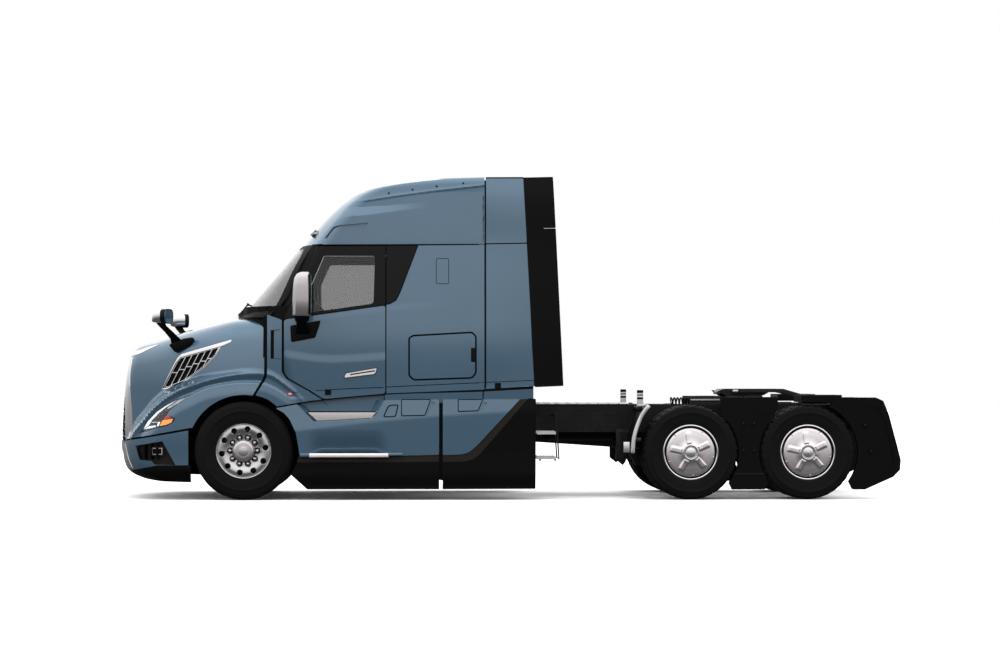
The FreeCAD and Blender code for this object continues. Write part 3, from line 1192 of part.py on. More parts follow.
def make_rear_panels():
    """Black panels between and behind the drive wheels, with their stays to the frame."""
    houses = [rod_y(x, REAR_TYRE_R, REAR_TYRE_R + PANEL_GAP, 400, 1400)
              for x in (DRIVE_AXLE_1, DRIVE_AXLE_2)]
    near = [rod_y(x, REAR_TYRE_R, REAR_TYRE_R + 16, 400, 1400) for x in (DRIVE_AXLE_1, DRIVE_AXLE_2)]
    hollow = rounded_prism_xz(REAR_HOLLOW, 20.0, PANEL_Y1 - HOLLOW_DEPTH, PANEL_Y1 + 20)
    rear = cut(rounded_prism_xz(REAR_PANEL, 20.0, PANEL_Y0, PANEL_Y1), hollow, *houses)
    mid_y1 = PANEL_Y1 - 20
    mid = cut(prism_xz(MID_PANEL, PANEL_Y0 + 20, mid_y1), *near)
    rear = fuse(rear, *[rod_y(x, z, BOSS_R, PANEL_Y1 - 20, PANEL_Y1 + BOSS_RISE) for x, z in REAR_BOSSES])
    mid = fuse(mid, *[rod_y(x, z, BOSS_R, mid_y1 - 10, mid_y1 + BOSS_RISE) for x, z in MID_BOSSES])
    rear_top = box(6250, 6560, RAIL_OUT_Y, PANEL_Y0 + 10, 1040, 1080)
    rear_top = cut(rear_top, *houses)
    rear_foot = box(6440, 6500, RAIL_OUT_Y, RAIL_OUT_Y + 30, 850, 1060)
    mid_top = cut(box(5160, 5530, RAIL_OUT_Y, PANEL_Y0 + 30, 1046, 1084), *near)
    mid_foot = box(5310, 5370, RAIL_OUT_Y, RAIL_OUT_Y + 30, 850, 1060)
    tray = cut(box(5900, 6330, 620, 1190, 1030, 1108), *near)
    return both(Part.makeCompound(solids_of(fuse(rear, rear_top, rear_foot, tray),
                                            fuse(mid, mid_top, mid_foot))))


FENDER_T = 12.0


def make_quarter_fenders():
    """Curved guard ahead of the first drive wheels, with its marker post and stay."""
    y0, y1 = 600.0, 1215.0
    start, middle, end = V(4258, y0, 1012), V(4136, y0, 800), V(4081, y0, 493)
    outer = Part.Arc(start, middle, end).toShape()
    shift = V(FENDER_T + 20, 0, 0)
    inner = Part.Arc(end + shift, middle + V(FENDER_T + 18, 0, -8), start + shift + V(4, 0, -4)).toShape()
    wire = Part.Wire([outer, Part.LineSegment(end, end + shift).toShape(), inner,
                      Part.LineSegment(start + shift + V(4, 0, -4), start).toShape()])
    guard = Part.Face(wire).extrude(V(0, y1 - y0, 0))
    post = box(4160, 4225, 1080, 1120, 1000, 1160)
    plate = box(4155, 4262, 1060, 1140, 985, 1008)
    stay = box(4175, 4215, RAIL_OUT_Y, 1120, 940, 985)
    return both(fuse(guard, post, plate, stay))


COIL_X0, COIL_X1 = 4592.0, 4862.0
COIL_R = 40.0
COIL_Y = -262.0
TRAY_T = 6.0


def make_air_lines():
    """Coiled trailer hoses, drawn as their outer tube, tied down on a tray beside the left rail."""
    tray = box(COIL_X0, COIL_X0 + 196, -RAIL_OUT_Y, COIL_Y + 60, RAIL_TOP, RAIL_TOP + TRAY_T)
    z = RAIL_TOP + COIL_R
    coil = rod_x(COIL_Y, z, COIL_R, COIL_X0, COIL_X1)
    saddles = [box(x, x + 16, COIL_Y - 30, COIL_Y + 30, RAIL_TOP + TRAY_T, z)
               for x in (COIL_X0 + 20, COIL_X0 + 150)]
    return fuse(tray, coil, *saddles)


TAIL_X = 6560.0


def make_tail_bar():
    """Lamp bar across the end of the frame."""
    bar = box(TAIL_X, TAIL_X + 40, -520, 520, 760, 900)
    lamps = [box(TAIL_X + 40, TAIL_X + 75, s * 380 - 110, s * 380 + 110, 780, 880) for s in (-1, 1)]
    return fuse(bar, *lamps)


# ---------------------------------------------------------------- fifth wheel
def make_fifth_wheel_mount():
    """Slide rails on the frame and the two pedestals whose pins carry the top plate."""
    rails = [box(4800, 6020, s * 385 - 45, s * 385 + 45, RAIL_TOP, RAIL_TOP + 22) for s in (-1, 1)]
    ties = [box(x, x + 90, -430, 430, RAIL_TOP, RAIL_TOP + 22) for x in (5230.0, 5660.0)]
    rack = [box(4800, 5150, s * 385 - 30, s * 385 + 30, RAIL_TOP + 22, RAIL_TOP + 90) for s in (-1, 1)]
    feet, pins = [], []
    for s in (-1, 1):
        y = s * 385
        feet.append(prism_xz([(FW_X - 190, RAIL_TOP + 20), (FW_X + 190, RAIL_TOP + 20),
                              (FW_X + 60, FW_PIVOT_Z + 34),
                              (FW_X - 60, FW_PIVOT_Z + 34)], y - 14, y + 14))
        lo, hi = sorted((y, s * (FW_EAR_Y - 45)))
        pins.append(rod_y(FW_X, FW_PIVOT_Z, FW_TRUNNION_R, lo, hi))
    return fuse(*rails, *ties, *rack, *feet, *pins)


FW_OUTLINE = [(5118.0, -150.0), (5118.0, 150.0), (5190.0, 330.0), (5330.0, 445.0), (5700.0, 445.0),
              (6019.0, 300.0),
              (6019.0, 180.0), (5590.0, 52.0), (5590.0, -52.0), (6019.0, -180.0), (6019.0, -300.0),
              (5700.0, -445.0),
              (5330.0, -445.0), (5190.0, -330.0)]


def make_fifth_wheel():
    """Top plate with its ramps, rim, jaw block and trunnion ears."""
    side = prism_xz([(5110.0, 1130.0), (5175.0, FW_TOP), (5822.0, FW_TOP), (6025.0, 1115.0),
                     (6025.0, 1086.0),
                     (5822.0, FW_TOP - FW_PLATE_T), (5175.0, FW_TOP - FW_PLATE_T), (5110.0, 1105.0)], -500,
                     500)
    plate = prism_xy(FW_OUTLINE, 1000.0, 1200.0).common(side)
    jaw = box(FW_X - 90, FW_X + 110, -90, 90, FW_TOP - 82, FW_TOP - FW_PLATE_T + 4)
    lock = box(FW_X + 60, FW_X + 112, -54, 54, FW_TOP - 60, FW_TOP - 4)
    ears = []
    for s in (-1, 1):
        lo, hi = sorted((s * (FW_EAR_Y - 45), s * (FW_EAR_Y - 5)))
        ears.append(prism_xz([(FW_X - 90, FW_TOP - FW_PLATE_T + 2), (FW_X + 90, FW_TOP - FW_PLATE_T + 2),
                              (FW_X + 48, FW_PIVOT_Z - 34), (FW_X - 48, FW_PIVOT_Z - 34)], lo, hi))
    body = fuse(plate, jaw, lock, *ears)
    bore = rod_z(FW_X, 0, FW_PIN_R, 1000, 1200)
    holes = rod_y(FW_X, FW_PIVOT_Z, FW_TRUNNION_R + RUNNING_GAP, -430, 430)
    return cut(body, bore, cut(holes, box(FW_X - 60, FW_X + 60, -300, 300, 1000, 1200)))


# ---------------------------------------------------------------- export
def nodes():
    made = {
        "frame": make_frame(),
        "engine_and_radiator": together(make_engine(), make_radiator()),
        "propshafts": make_propshafts(),
        "front_axle": make_front_axle(),
        "tie_rod": make_tie_rod(),
        "rear_axles": make_rear_axles(),
        "suspension": together(make_front_springs(), make_rear_suspension()),
        "fuel_tanks": make_fuel_tanks(),
        "side_boxes": make_side_boxes(),
        "bumper": make_bumper(),
        "bumper_valance": make_valance(),
        "hood": make_hood(),
        "grille_and_vents": make_grille(),
        "headlamps": make_headlamps(),
        "hood_mirrors": make_hood_mirrors(),
        "cab_floor": make_cab_floor(),
        "cab_front": make_cab_front(),
        "cab_back": make_cab_back(),
        "windscreen": make_windscreen(),
        "roof_fairing": make_roof(),
        "side_extenders": make_extenders(),
        "extender_flaps": make_flaps(),
        "cowl": make_cowl(),
        "seats": make_seats(),
        "dashboard": make_dashboard(),
        "steering_wheel": make_steering_wheel(),
        "bunk": make_bunk(),
        "painted_fairings": make_painted_fairings(),
        "black_fairings": make_black_fairings(),
        "steps_and_deck": together(make_steps(), make_deck()),
        "rear_panels": make_rear_panels(),
        "quarter_fenders": make_quarter_fenders(),
        "air_lines": make_air_lines(),
        "tail_bar": make_tail_bar(),
        "fifth_wheel_mount": make_fifth_wheel_mount(),
        "fifth_wheel": make_fifth_wheel(),
    }
    for name, side in (("left", -1), ("right", 1)):
        made["cab_side_" + name] = make_cab_side(side)
        made["door_" + name] = make_door(side)
        made["door_glass_" + name] = make_door_glass(side)
        made["door_mirror_" + name] = make_door_mirror(side)
        made["baggage_door_" + name] = make_baggage_door(side)
        made["knuckle_" + name] = knuckle(side)
        made["front_wheel_" + name] = front_wheel(side)
        made["front_tyre_" + name] = front_tyre(side)
        for number, x in ((1, DRIVE_AXLE_1), (2, DRIVE_AXLE_2)):
            made["drive_wheel_%d_%s" % (number, name)] = drive_wheel(x, side)
            made["drive_tyres_%d_%s" % (number, name)] = drive_tyres(x, side)
    return made


def main():
    os.makedirs("parts", exist_ok=True)
    for name, shape in nodes().items():
        shape = shape.copy()
        shape.translate(V(-ORIGIN_X, 0, 0))
        print(name, len(shape.Solids), "solids", "valid" if shape.isValid() else "INVALID",
              "%.4f m3" % (sum(s.Volume for s in shape.Solids) / 1e9))
        shape.exportStep(os.path.join("parts", name + ".step"))


main()
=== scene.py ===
# %% [markdown]
# # A semi truck tractor unit, dressed in Blender
# The truck's construction comes from CAD: every sub-part has its real size and sits on the body that moves
# it. This lesson gives it its looks. Painted panels, lamps, mirrors and tyres are modelled over the CAD
# solids they stand for, and everything else keeps its solid and gets a finish.
#
# All lengths are in metres. +X points to the truck's rear, +Y to its right and +Z up.

# %% Load the fixed frame
import math

import bmesh
import bpy
import numpy as np
from mathutils import Matrix, Vector
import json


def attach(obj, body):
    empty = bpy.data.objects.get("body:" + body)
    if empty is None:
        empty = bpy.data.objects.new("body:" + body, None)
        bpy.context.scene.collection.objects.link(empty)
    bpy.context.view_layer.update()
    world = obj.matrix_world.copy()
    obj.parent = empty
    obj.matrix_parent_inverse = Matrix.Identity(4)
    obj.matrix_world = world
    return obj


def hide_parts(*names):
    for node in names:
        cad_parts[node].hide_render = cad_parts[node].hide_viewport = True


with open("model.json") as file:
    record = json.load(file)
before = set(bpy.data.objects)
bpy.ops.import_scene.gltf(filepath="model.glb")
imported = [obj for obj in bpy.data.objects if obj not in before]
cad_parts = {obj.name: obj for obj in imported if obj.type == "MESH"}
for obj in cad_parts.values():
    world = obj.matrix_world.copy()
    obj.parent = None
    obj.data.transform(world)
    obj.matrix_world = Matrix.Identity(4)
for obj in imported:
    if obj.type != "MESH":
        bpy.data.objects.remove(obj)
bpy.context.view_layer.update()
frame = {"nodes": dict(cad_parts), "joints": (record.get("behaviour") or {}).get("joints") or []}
joints = {joint["name"]: joint for joint in frame["joints"]}

# %% [markdown]
# ## Where things are
# A truck is measured from its front axle, so the tables below give x from there. The axle's place in the
# frame is read from the steering joint, and a point is moved by it once, when a mesh is made.

# %% Places read from the frame
AXLE_X = joints["steer_left"]["pos_m"][0]
HUB_Z = joints["steer_left"]["pos_m"][2]
FRONT_HUB_Y = joints["right_front_wheel_spin"]["pos_m"][1]
DRIVE_HUB_Y = joints["right_drive_wheels_1_spin"]["pos_m"][1]
DRIVE_HUB_Z = joints["right_drive_wheels_1_spin"]["pos_m"][2]
DRIVE_X = [joints["right_drive_wheels_%d_spin" % i]["pos_m"][0] - AXLE_X for i in (1, 2)]
LEFT, RIGHT = -1, 1
SIDES = ((LEFT, "left"), (RIGHT, "right"))
print("front axle at x = %.3f, drive axles %.3f and %.3f behind it" % (AXLE_X, *DRIVE_X))

# %% [markdown]
# ## A small language for finishes
# A finish is a graph of nodes. Wiring nodes by hand hides the idea, so a `Wire` stands for one socket and
# takes part in sums: `wire * 0.3 + 0.1` adds the Math nodes. `Finish.add` makes any other node: it takes the
# node's type, its settings, and the values or wires of its sockets.

# %% The wire and the finish
class Wire:
    """One output socket that can be used in arithmetic."""

    def __init__(self, finish, socket):
        self.finish, self.socket = finish, socket

    def sum(self, operation, first, second):
        node = self.finish.add("ShaderNodeMath", {"operation": operation}, {0: first, 1: second})
        return Wire(self.finish, node.outputs[0])

    def __add__(self, other):
        return self.sum("ADD", self, other)

    def __radd__(self, other):
        return self.sum("ADD", other, self)

    def __sub__(self, other):
        return self.sum("SUBTRACT", self, other)

    def __rsub__(self, other):
        return self.sum("SUBTRACT", other, self)

    def __mul__(self, other):
        return self.sum("MULTIPLY", self, other)

    def __rmul__(self, other):
        return self.sum("MULTIPLY", other, self)

    def __gt__(self, other):
        return self.sum("GREATER_THAN", self, other)

    def __lt__(self, other):
        return self.sum("LESS_THAN", self, other)


class Graph:
    """A tree of nodes, and the one way that nodes are added to it."""

    def __init__(self, tree):
        self.tree = tree

    def add(self, kind, settings=None, sockets=None):
        node = self.tree.nodes.new(kind)
        for key, value in (settings or {}).items():
            if key == "stops":
                ramp = node.color_ramp
                for index, (place, shade) in enumerate(value):
                    stop = ramp.elements[index] if index < 2 else ramp.elements.new(place)
                    stop.position, stop.color = place, (*shade, 1) if len(shade) == 3 else shade
            else:
                setattr(node, key, value)
        for key, value in (sockets or {}).items():
            if isinstance(value, Wire):
                self.tree.links.new(value.socket, node.inputs[key])
            else:
                node.inputs[key].default_value = value
        return node

    def wire(self, node, output=0):
        return Wire(self, node.outputs[output])


class Finish(Graph):
    """A material with one Principled shader, and the few moves that every finish here is made of."""

    def __init__(self, name, colour, rough, metal=0.0, **constants):
        self.material = bpy.data.materials.new(name)
        self.material.use_nodes = True
        super().__init__(self.material.node_tree)
        self.shader = self.tree.nodes["Principled BSDF"]
        self.shader.inputs["Base Color"].default_value = (*colour, 1)
        self.shader.inputs["Roughness"].default_value = rough
        self.shader.inputs["Metallic"].default_value = metal
        for socket, value in constants.items():
            self.shader.inputs[socket.replace("_", " ")].default_value = value
        self.material.diffuse_color = (*colour, 1)

    def place(self):
        """Points on the piece, in metres."""
        return self.wire(self.add("ShaderNodeTexCoord"), "Object")

    def noise(self, scale, detail=2.0):
        node = self.add("ShaderNodeTexNoise", {}, {"Vector": self.place(), "Scale": scale, "Detail": detail})
        return self.wire(node, "Fac")

    def cells(self, scale):
        node = self.add("ShaderNodeTexVoronoi", {}, {"Vector": self.place(), "Scale": scale})
        return self.wire(node, "Distance")

    def axis(self, letter):
        point = self.add("ShaderNodeTexCoord")
        split = self.add("ShaderNodeSeparateXYZ", {}, {0: self.wire(point, "Object")})
        return self.wire(split, letter)

    def band(self, value, low, high):
        """0 below low, 1 above high, smooth between."""
        node = self.add("ShaderNodeMapRange", {"interpolation_type": "SMOOTHSTEP"},
                        {"Value": value, "From Min": low, "From Max": high})
        return self.wire(node)

    def mix(self, factor, first, second):
        shades = {0: factor, 6: self.shade(first), 7: self.shade(second)}
        return self.wire(self.add("ShaderNodeMix", {"data_type": "RGBA"}, shades), 2)

    def shade(self, colour):
        return colour if isinstance(colour, Wire) else (*colour, 1)

    def feed(self, socket, wire):
        self.tree.links.new(wire.socket, self.shader.inputs[socket])
        return self

    def bump(self, height, depth, strength=1.0):
        """Height from 0 to 1 stands for this many metres of relief."""
        node = self.add("ShaderNodeBump", {}, {"Height": height, "Distance": depth, "Strength": strength})
        return self.feed("Normal", self.wire(node))


def tone(colour, factor):
    return tuple(channel * factor for channel in colour)


print("the finish kit is ready")

# %% [markdown]
# ## Paint
# The body is slate-blue metallic paint: flakes in a tinted base, under a clear coat. The coat is what shows
# the studio's soft lights, and it is never quite flat: orange peel a few millimetres across breaks their
# edges. A mix of two close blues over patches of half a metre keeps long panels from looking printed.

# %% Body paint
PAINT_BLUE = (0.047, 0.104, 0.162)


def body_paint():
    f = Finish("slate_blue_paint", PAINT_BLUE, 0.42, 0.45, Coat_Weight=1.0, Coat_Roughness=0.045)
    drift = f.noise(1.7, 1.0)
    flakes = f.cells(700.0)
    blue = f.mix(drift, tone(PAINT_BLUE, 0.94), tone(PAINT_BLUE, 1.07))
    f.feed("Base Color", f.mix(f.band(flakes, 0.18, 0.02) * 0.35, blue, tone(PAINT_BLUE, 2.1)))
    f.feed("Roughness", 0.38 + f.noise(9.0) * 0.08)
    return f.bump(f.noise(140.0, 1.0), 0.00025, 0.18).material


PAINT = body_paint()
print("paint", PAINT.name)

# %% [markdown]
# ## Plastics and rubber
# Moulded black plastic has a leather-like grain about a millimetre across and no coat. Gloss black pillars
# do have one. Rubber is rougher still, with fine ribs left by the mould and a bloom of grey where it has
# aged.

# %% Black plastics and rubber
def grained_plastic(name, colour, rough, grain=420.0):
    f = Finish(name, colour, rough, 0.0, Specular_IOR_Level=0.07)
    pores = f.cells(grain)
    f.feed("Base Color", f.mix(f.noise(3.0), tone(colour, 0.82), tone(colour, 1.25)))
    f.feed("Roughness", rough - 0.05 + f.noise(30.0) * 0.1)
    return f.bump(pores, 0.0004, 0.35).material


def gloss_plastic(name, colour):
    f = Finish(name, colour, 0.16, 0.0, Coat_Weight=0.04, Coat_Roughness=0.05, Specular_IOR_Level=0.09)
    f.feed("Roughness", 0.13 + f.noise(6.0) * 0.07)
    f.feed("Base Color", f.mix(f.noise(2.0), tone(colour, 0.85), tone(colour, 1.2)))
    return f.bump(f.noise(90.0, 1.0), 0.0002, 0.12).material


def tyre_rubber():
    black = (0.0035, 0.0032, 0.0031)
    f = Finish("tyre_rubber", black, 0.72, 0.0, Specular_IOR_Level=0.09)
    f.feed("Base Color", f.mix(f.noise(5.0, 4.0), tone(black, 0.8), (0.007, 0.0064, 0.006)))
    f.feed("Roughness", 0.62 + f.noise(22.0, 3.0) * 0.2)
    return f.bump(f.noise(260.0, 2.0), 0.0006, 0.3).material


BLACK = grained_plastic("black_moulding", (0.0026, 0.0022, 0.0021), 0.5)
DARK_TRIM = grained_plastic("dark_trim", (0.017, 0.0145, 0.0125), 0.6, 300.0)
GLOSS = gloss_plastic("gloss_black", (0.0035, 0.0035, 0.004))
SEAL = grained_plastic("rubber_seal", (0.0035, 0.0035, 0.0038), 0.65, 150.0)
RUBBER = tyre_rubber()
print("plastics and rubber ready")

# %% [markdown]
# ## Metals
# Polished aluminium wheels are turned on a lathe, so their scratches are rings about the hub. The rings come
# from the distance to the wheel's axis, and feed roughness and a faint bump. Chrome has no rings, only a
# trace of haze. Cast and painted chassis metal is nearly black, with a film of road dust in the hollows of
# its noise.

# %% Bright and dark metals
def polished_metal(name, colour, rough, haze=0.06):
    f = Finish(name, colour, rough, 1.0)
    f.feed("Roughness", rough + f.noise(14.0, 3.0) * haze)
    f.feed("Base Color", f.mix(f.noise(4.0), tone(colour, 0.9), colour))
    return f.bump(f.noise(60.0, 1.0), 0.0002, 0.1).material


def turned_metal(name, colour, rough):
    """Lathe rings round the piece's own Y axis."""
    f = Finish(name, colour, rough, 1.0)
    flat = f.add("ShaderNodeVectorMath", {"operation": "MULTIPLY"}, {0: f.place(), 1: (1, 0, 1)})
    reach = f.add("ShaderNodeVectorMath", {"operation": "LENGTH"}, {0: f.wire(flat)})
    radius = f.wire(reach, "Value")
    rings = f.add("ShaderNodeTexNoise", {"noise_dimensions": "1D"},
                  {"W": radius, "Scale": 900.0, "Detail": 2.0})
    f.feed("Roughness", rough + f.wire(rings, "Fac") * 0.12)
    f.feed("Base Color", f.mix(f.noise(7.0, 3.0), tone(colour, 0.86), colour))
    return f.bump(f.wire(rings, "Fac"), 0.00025, 0.22).material


def dusty_metal(name, colour, rough, dust=0.35):
    f = Finish(name, colour, rough, 0.1, Specular_IOR_Level=0.2)
    film = f.band(f.noise(6.0, 5.0), 0.45, 0.75) * dust
    f.feed("Base Color", f.mix(film, colour, (0.022, 0.020, 0.018)))
    f.feed("Roughness", rough + film * 0.4)
    return f.bump(f.noise(180.0, 3.0), 0.0008, 0.35).material


CHROME = polished_metal("chrome", (0.62, 0.62, 0.64), 0.06)
SATIN = polished_metal("satin_aluminium", (0.62, 0.62, 0.63), 0.30, 0.12)
HOUSING = polished_metal("bright_housing", (0.52, 0.49, 0.50), 0.34, 0.08)
COVER = polished_metal("wheel_cover", (0.66, 0.62, 0.63), 0.30, 0.08)
TURNED = turned_metal("turned_aluminium", (0.50, 0.49, 0.49), 0.20)
CHASSIS = dusty_metal("chassis_black", (0.0038, 0.0037, 0.004), 0.42)
CAST = dusty_metal("cast_iron", (0.011, 0.011, 0.012), 0.6, 0.5)
STEEL = dusty_metal("greased_steel", (0.009, 0.009, 0.010), 0.36, 0.2)
print("metals ready")

# %% [markdown]
# ## Glass and lamps
# Window glass is thin, so it bends no light worth showing: a dark tint that lets most of it through, with a
# sharp reflection, looks right and renders fast. Lamp lenses are clearer. The light guides and the turn lamp
# shine by themselves, faintly, as the running lamps of a parked truck do.

# %% Glass, lamp colours and reflectors
def clear_glass(name, colour, alpha):
    f = Finish(name, colour, 0.03, 0.0, Alpha=alpha, Coat_Weight=0.5)
    f.feed("Roughness", 0.02 + f.noise(3.0) * 0.03)
    f.material.surface_render_method = "BLENDED"
    return f.material


def glowing(name, colour, power):
    f = Finish(name, colour, 0.3)
    f.shader.inputs["Emission Color"].default_value = (*colour, 1)
    f.shader.inputs["Emission Strength"].default_value = power
    f.feed("Base Color", f.mix(f.noise(60.0), tone(colour, 0.8), colour))
    return f.material


def lens_colour(name, colour):
    f = Finish(name, colour, 0.12, 0.0, Coat_Weight=1.0)
    f.feed("Base Color", f.mix(f.band(f.cells(160.0), 0.1, 0.6), tone(colour, 1.3), tone(colour, 0.6)))
    return f.bump(f.cells(160.0), 0.001, 0.5).material


WINDOW = clear_glass("window_glass", (0.02, 0.021, 0.023), 0.36)
SCREEN = clear_glass("windscreen_glass", (0.03, 0.032, 0.035), 0.40)
LENS = clear_glass("lamp_lens", (0.10, 0.11, 0.12), 0.22)
GUIDE = glowing("light_guide", (0.9, 0.93, 1.0), 1.1)
AMBER_LIT = glowing("turn_lamp", (1.0, 0.30, 0.04), 1.5)
RED_LENS = lens_colour("red_lens", (0.45, 0.01, 0.01))
AMBER_LENS = lens_colour("amber_lens", (0.75, 0.22, 0.01))
CLEAR_LENS = lens_colour("clear_lens", (0.55, 0.56, 0.58))
WHITE_TAPE = lens_colour("reflecting_white", (0.72, 0.72, 0.70))
print("glass and lamps ready")

# %% [markdown]
# ## Inside the cab
# Seats and bunk are woven cloth: two sets of threads a millimetre or two apart, which a pair of waves gives
# better than noise would. The trim reuses the grained plastic in grey.

# %% Cloth and trim
THREADS = 420.0


def woven(name, colour):
    f = Finish(name, colour, 0.9, Sheen_Weight=0.3)
    warp = f.add("ShaderNodeTexWave", {"bands_direction": "X"}, {"Vector": f.place(), "Scale": THREADS})
    weft = f.add("ShaderNodeTexWave", {"bands_direction": "Z"}, {"Vector": f.place(), "Scale": THREADS})
    threads = f.wire(warp, "Fac") * f.wire(weft, "Fac")
    f.feed("Base Color", f.mix(threads * 0.5 + f.noise(8.0) * 0.4, tone(colour, 0.6), tone(colour, 1.5)))
    return f.bump(threads, 0.0006, 0.5).material


SEAT_CLOTH = woven("seat_cloth", (0.045, 0.046, 0.05))
BUNK_CLOTH = woven("bunk_cloth", (0.12, 0.12, 0.125))
GREY_TRIM = grained_plastic("grey_trim", (0.11, 0.11, 0.115), 0.65, 260.0)
print("cloth and trim ready")

# %% [markdown]
# ## From tables to smooth forms
# A pressed panel is one smooth surface that was trimmed to its outline. So a form is described in two steps:
# a field, which is negative inside the body and zero on its surface, and an outline that trims it. Rays cast
# from inside the body find the surface, and the shell they give is cut with prisms, as a panel is cut in a
# press.

# %% Smooth curves through a table
def curve(table):
    """A function through the table's points that never overshoots them (Fritsch and Carlson's rule)."""
    x, y = (np.array(column, float) for column in zip(*sorted(table)))
    slope = np.diff(y) / np.diff(x)
    tangent = np.concatenate([[slope[0]], (slope[:-1] + slope[1:]) / 2, [slope[-1]]])
    turn = np.concatenate([[False], slope[:-1] * slope[1:] <= 0, [False]])
    tangent[turn] = 0
    steep = np.concatenate([np.abs(slope), [np.inf]])
    limit = 3 * np.minimum(steep, np.concatenate([[np.inf], np.abs(slope)]))
    tangent = np.clip(tangent, -limit, limit)

    def value(at):
        at = np.clip(at, x[0], x[-1])
        i = np.clip(np.searchsorted(x, at, side="right") - 1, 0, len(slope) - 1)
        step = x[i + 1] - x[i]
        t = (at - x[i]) / step
        return (y[i] * (2 * t**3 - 3 * t**2 + 1) + tangent[i] * step * (t**3 - 2 * t**2 + t)
                + y[i + 1] * (3 * t**2 - 2 * t**3) + tangent[i + 1] * step * (t**3 - t**2))

    return value


def ease(value, low, high):
    """0 below low, 1 above high, smooth between."""
    t = np.clip((value - low) / (high - low), 0, 1)
    return t * t * (3 - 2 * t)


def round_max(first, second, radius):
    """The larger of two fields, with the edge where they meet rounded: this keeps what is inside both."""
    share = np.clip(0.5 + 0.5 * (first - second) / radius, 0, 1)
    return second * (1 - share) + first * share + radius * share * (1 - share)


print("curve through three points at 0.5:", float(curve([(0, 0), (1, 1), (2, 1)])(0.5)))

# %% [markdown]
# ## Meshes
# `solid` turns points and faces into a piece and marks edges sharper than an angle. All points in the tables
# are measured from the front axle, so this is the one place where they are moved into the frame.

# %% Pieces from points and faces
def points_of(piece):
    points = np.empty(len(piece.data.vertices) * 3)
    piece.data.vertices.foreach_get("co", points)
    return points.reshape(-1, 3)


def smoothed(mesh):
    mesh.polygons.foreach_set("use_smooth", [True] * len(mesh.polygons))


def refinished(mesh, material):
    mesh.materials.clear()
    mesh.materials.append(material)


def around(steps):
    """Angles of evenly spaced points on a circle."""
    return np.arange(steps) * 2 * math.pi / steps


def ring_faces(rings, steps, closed=True):
    """Quads from each ring of points to the next, and from the last back to the first if closed."""
    return [(i * steps + j, i * steps + (j + 1) % steps, (i + 1) % rings * steps + (j + 1) % steps,
             (i + 1) % rings * steps + j) for i in range(rings if closed else rings - 1)
            for j in range(steps)]


def capped_faces(rings, steps):
    """Quads between the rings, and a face over each end."""
    ends = [tuple(range(steps))[::-1], tuple(range((rings - 1) * steps, rings * steps))]
    return ring_faces(rings, steps, closed=False) + ends


def solid(name, points, faces, material, sharp=35, local=None):
    """local is the origin of the piece, for finishes that run round an axle."""
    points = np.array(points, float) + (AXLE_X, 0, 0)
    origin = Vector((0, 0, 0)) if local is None else Vector((local[0] + AXLE_X, local[1], local[2]))
    mesh = bpy.data.meshes.new(name)
    mesh.from_pydata((points - np.array(origin)).tolist(), [], [list(map(int, face)) for face in faces])
    mesh.validate()
    piece = bpy.data.objects.new(name, mesh)
    piece.location = origin
    bpy.context.scene.collection.objects.link(piece)
    mesh.materials.append(material)
    smoothed(mesh)
    mesh.set_sharp_from_angle(angle=math.radians(sharp))
    return piece


def outward(piece):
    """Points all faces out of the solid."""
    shape = bmesh.new()
    shape.from_mesh(piece.data)
    bmesh.ops.recalc_face_normals(shape, faces=shape.faces)
    shape.to_mesh(piece.data)
    shape.free()
    return piece


def applied(piece, kind, **settings):
    """Adds a modifier and bakes it into the mesh at once."""
    modifier = piece.modifiers.new(kind.lower(), kind)
    for key, value in settings.items():
        setattr(modifier, key, value)
    graph = bpy.context.evaluated_depsgraph_get()
    mesh = bpy.data.meshes.new_from_object(piece.evaluated_get(graph), depsgraph=graph)
    piece.modifiers.clear()
    piece.data = mesh
    return piece


def bevelled(piece, width, segments=2, angle=35):
    applied(piece, "BEVEL", width=width, segments=segments, limit_method="ANGLE",
            angle_limit=math.radians(angle), harden_normals=False)
    smoothed(piece.data)
    piece.data.set_sharp_from_angle(angle=math.radians(40))
    return piece


def joined(name, pieces):
    """Several pieces as one, with their finishes."""
    with bpy.context.temp_override(active_object=pieces[0], object=pieces[0], selected_objects=pieces,
                                   selected_editable_objects=pieces):
        bpy.ops.object.join()
    pieces[0].name = name
    return pieces[0]


def carve(piece, *cutters, keep=False):
    """Takes the cutters out of the piece, or keeps only what is inside them."""
    for cutter in cutters:
        applied(piece, "BOOLEAN", object=cutter, operation="INTERSECT" if keep else "DIFFERENCE",
                solver="EXACT")
        bpy.data.objects.remove(cutter)
    return piece

# %% Simple solids that the pieces are carved with and built from
FULL_WIDTH = (-1.6, 1.6)         # for cutters that go through the whole truck


def rectangle(x0, z0, x1, z1):
    return [(x0, z0), (x1, z0), (x1, z1), (x0, z1)]


def prism(outline, low, high, axis="y", name="prism", material=None):
    """An outline in the plane across an axis, drawn out from low to high along it."""
    count = len(outline)
    order = {"x": lambda a, b, d: (d, a, b), "y": lambda a, b, d: (a, d, b),
             "z": lambda a, b, d: (a, b, d)}[axis]
    points = [order(a, b, depth) for depth in (low, high) for a, b in outline]
    sides = [(i, (i + 1) % count, count + (i + 1) % count, count + i) for i in range(count)]
    faces = [tuple(range(count))[::-1], tuple(range(count, 2 * count)), *sides]
    return outward(solid(name, points, faces, material or CHASSIS))


def slab(outline, y, thick, name, material, bevel=0.0, side=LEFT):
    """A plate in the XZ plane on one side of the truck, y measured outward to its outer face."""
    piece = prism(outline, side * (y - thick), side * y, name=name, material=material)
    return bevelled(piece, bevel) if bevel else piece


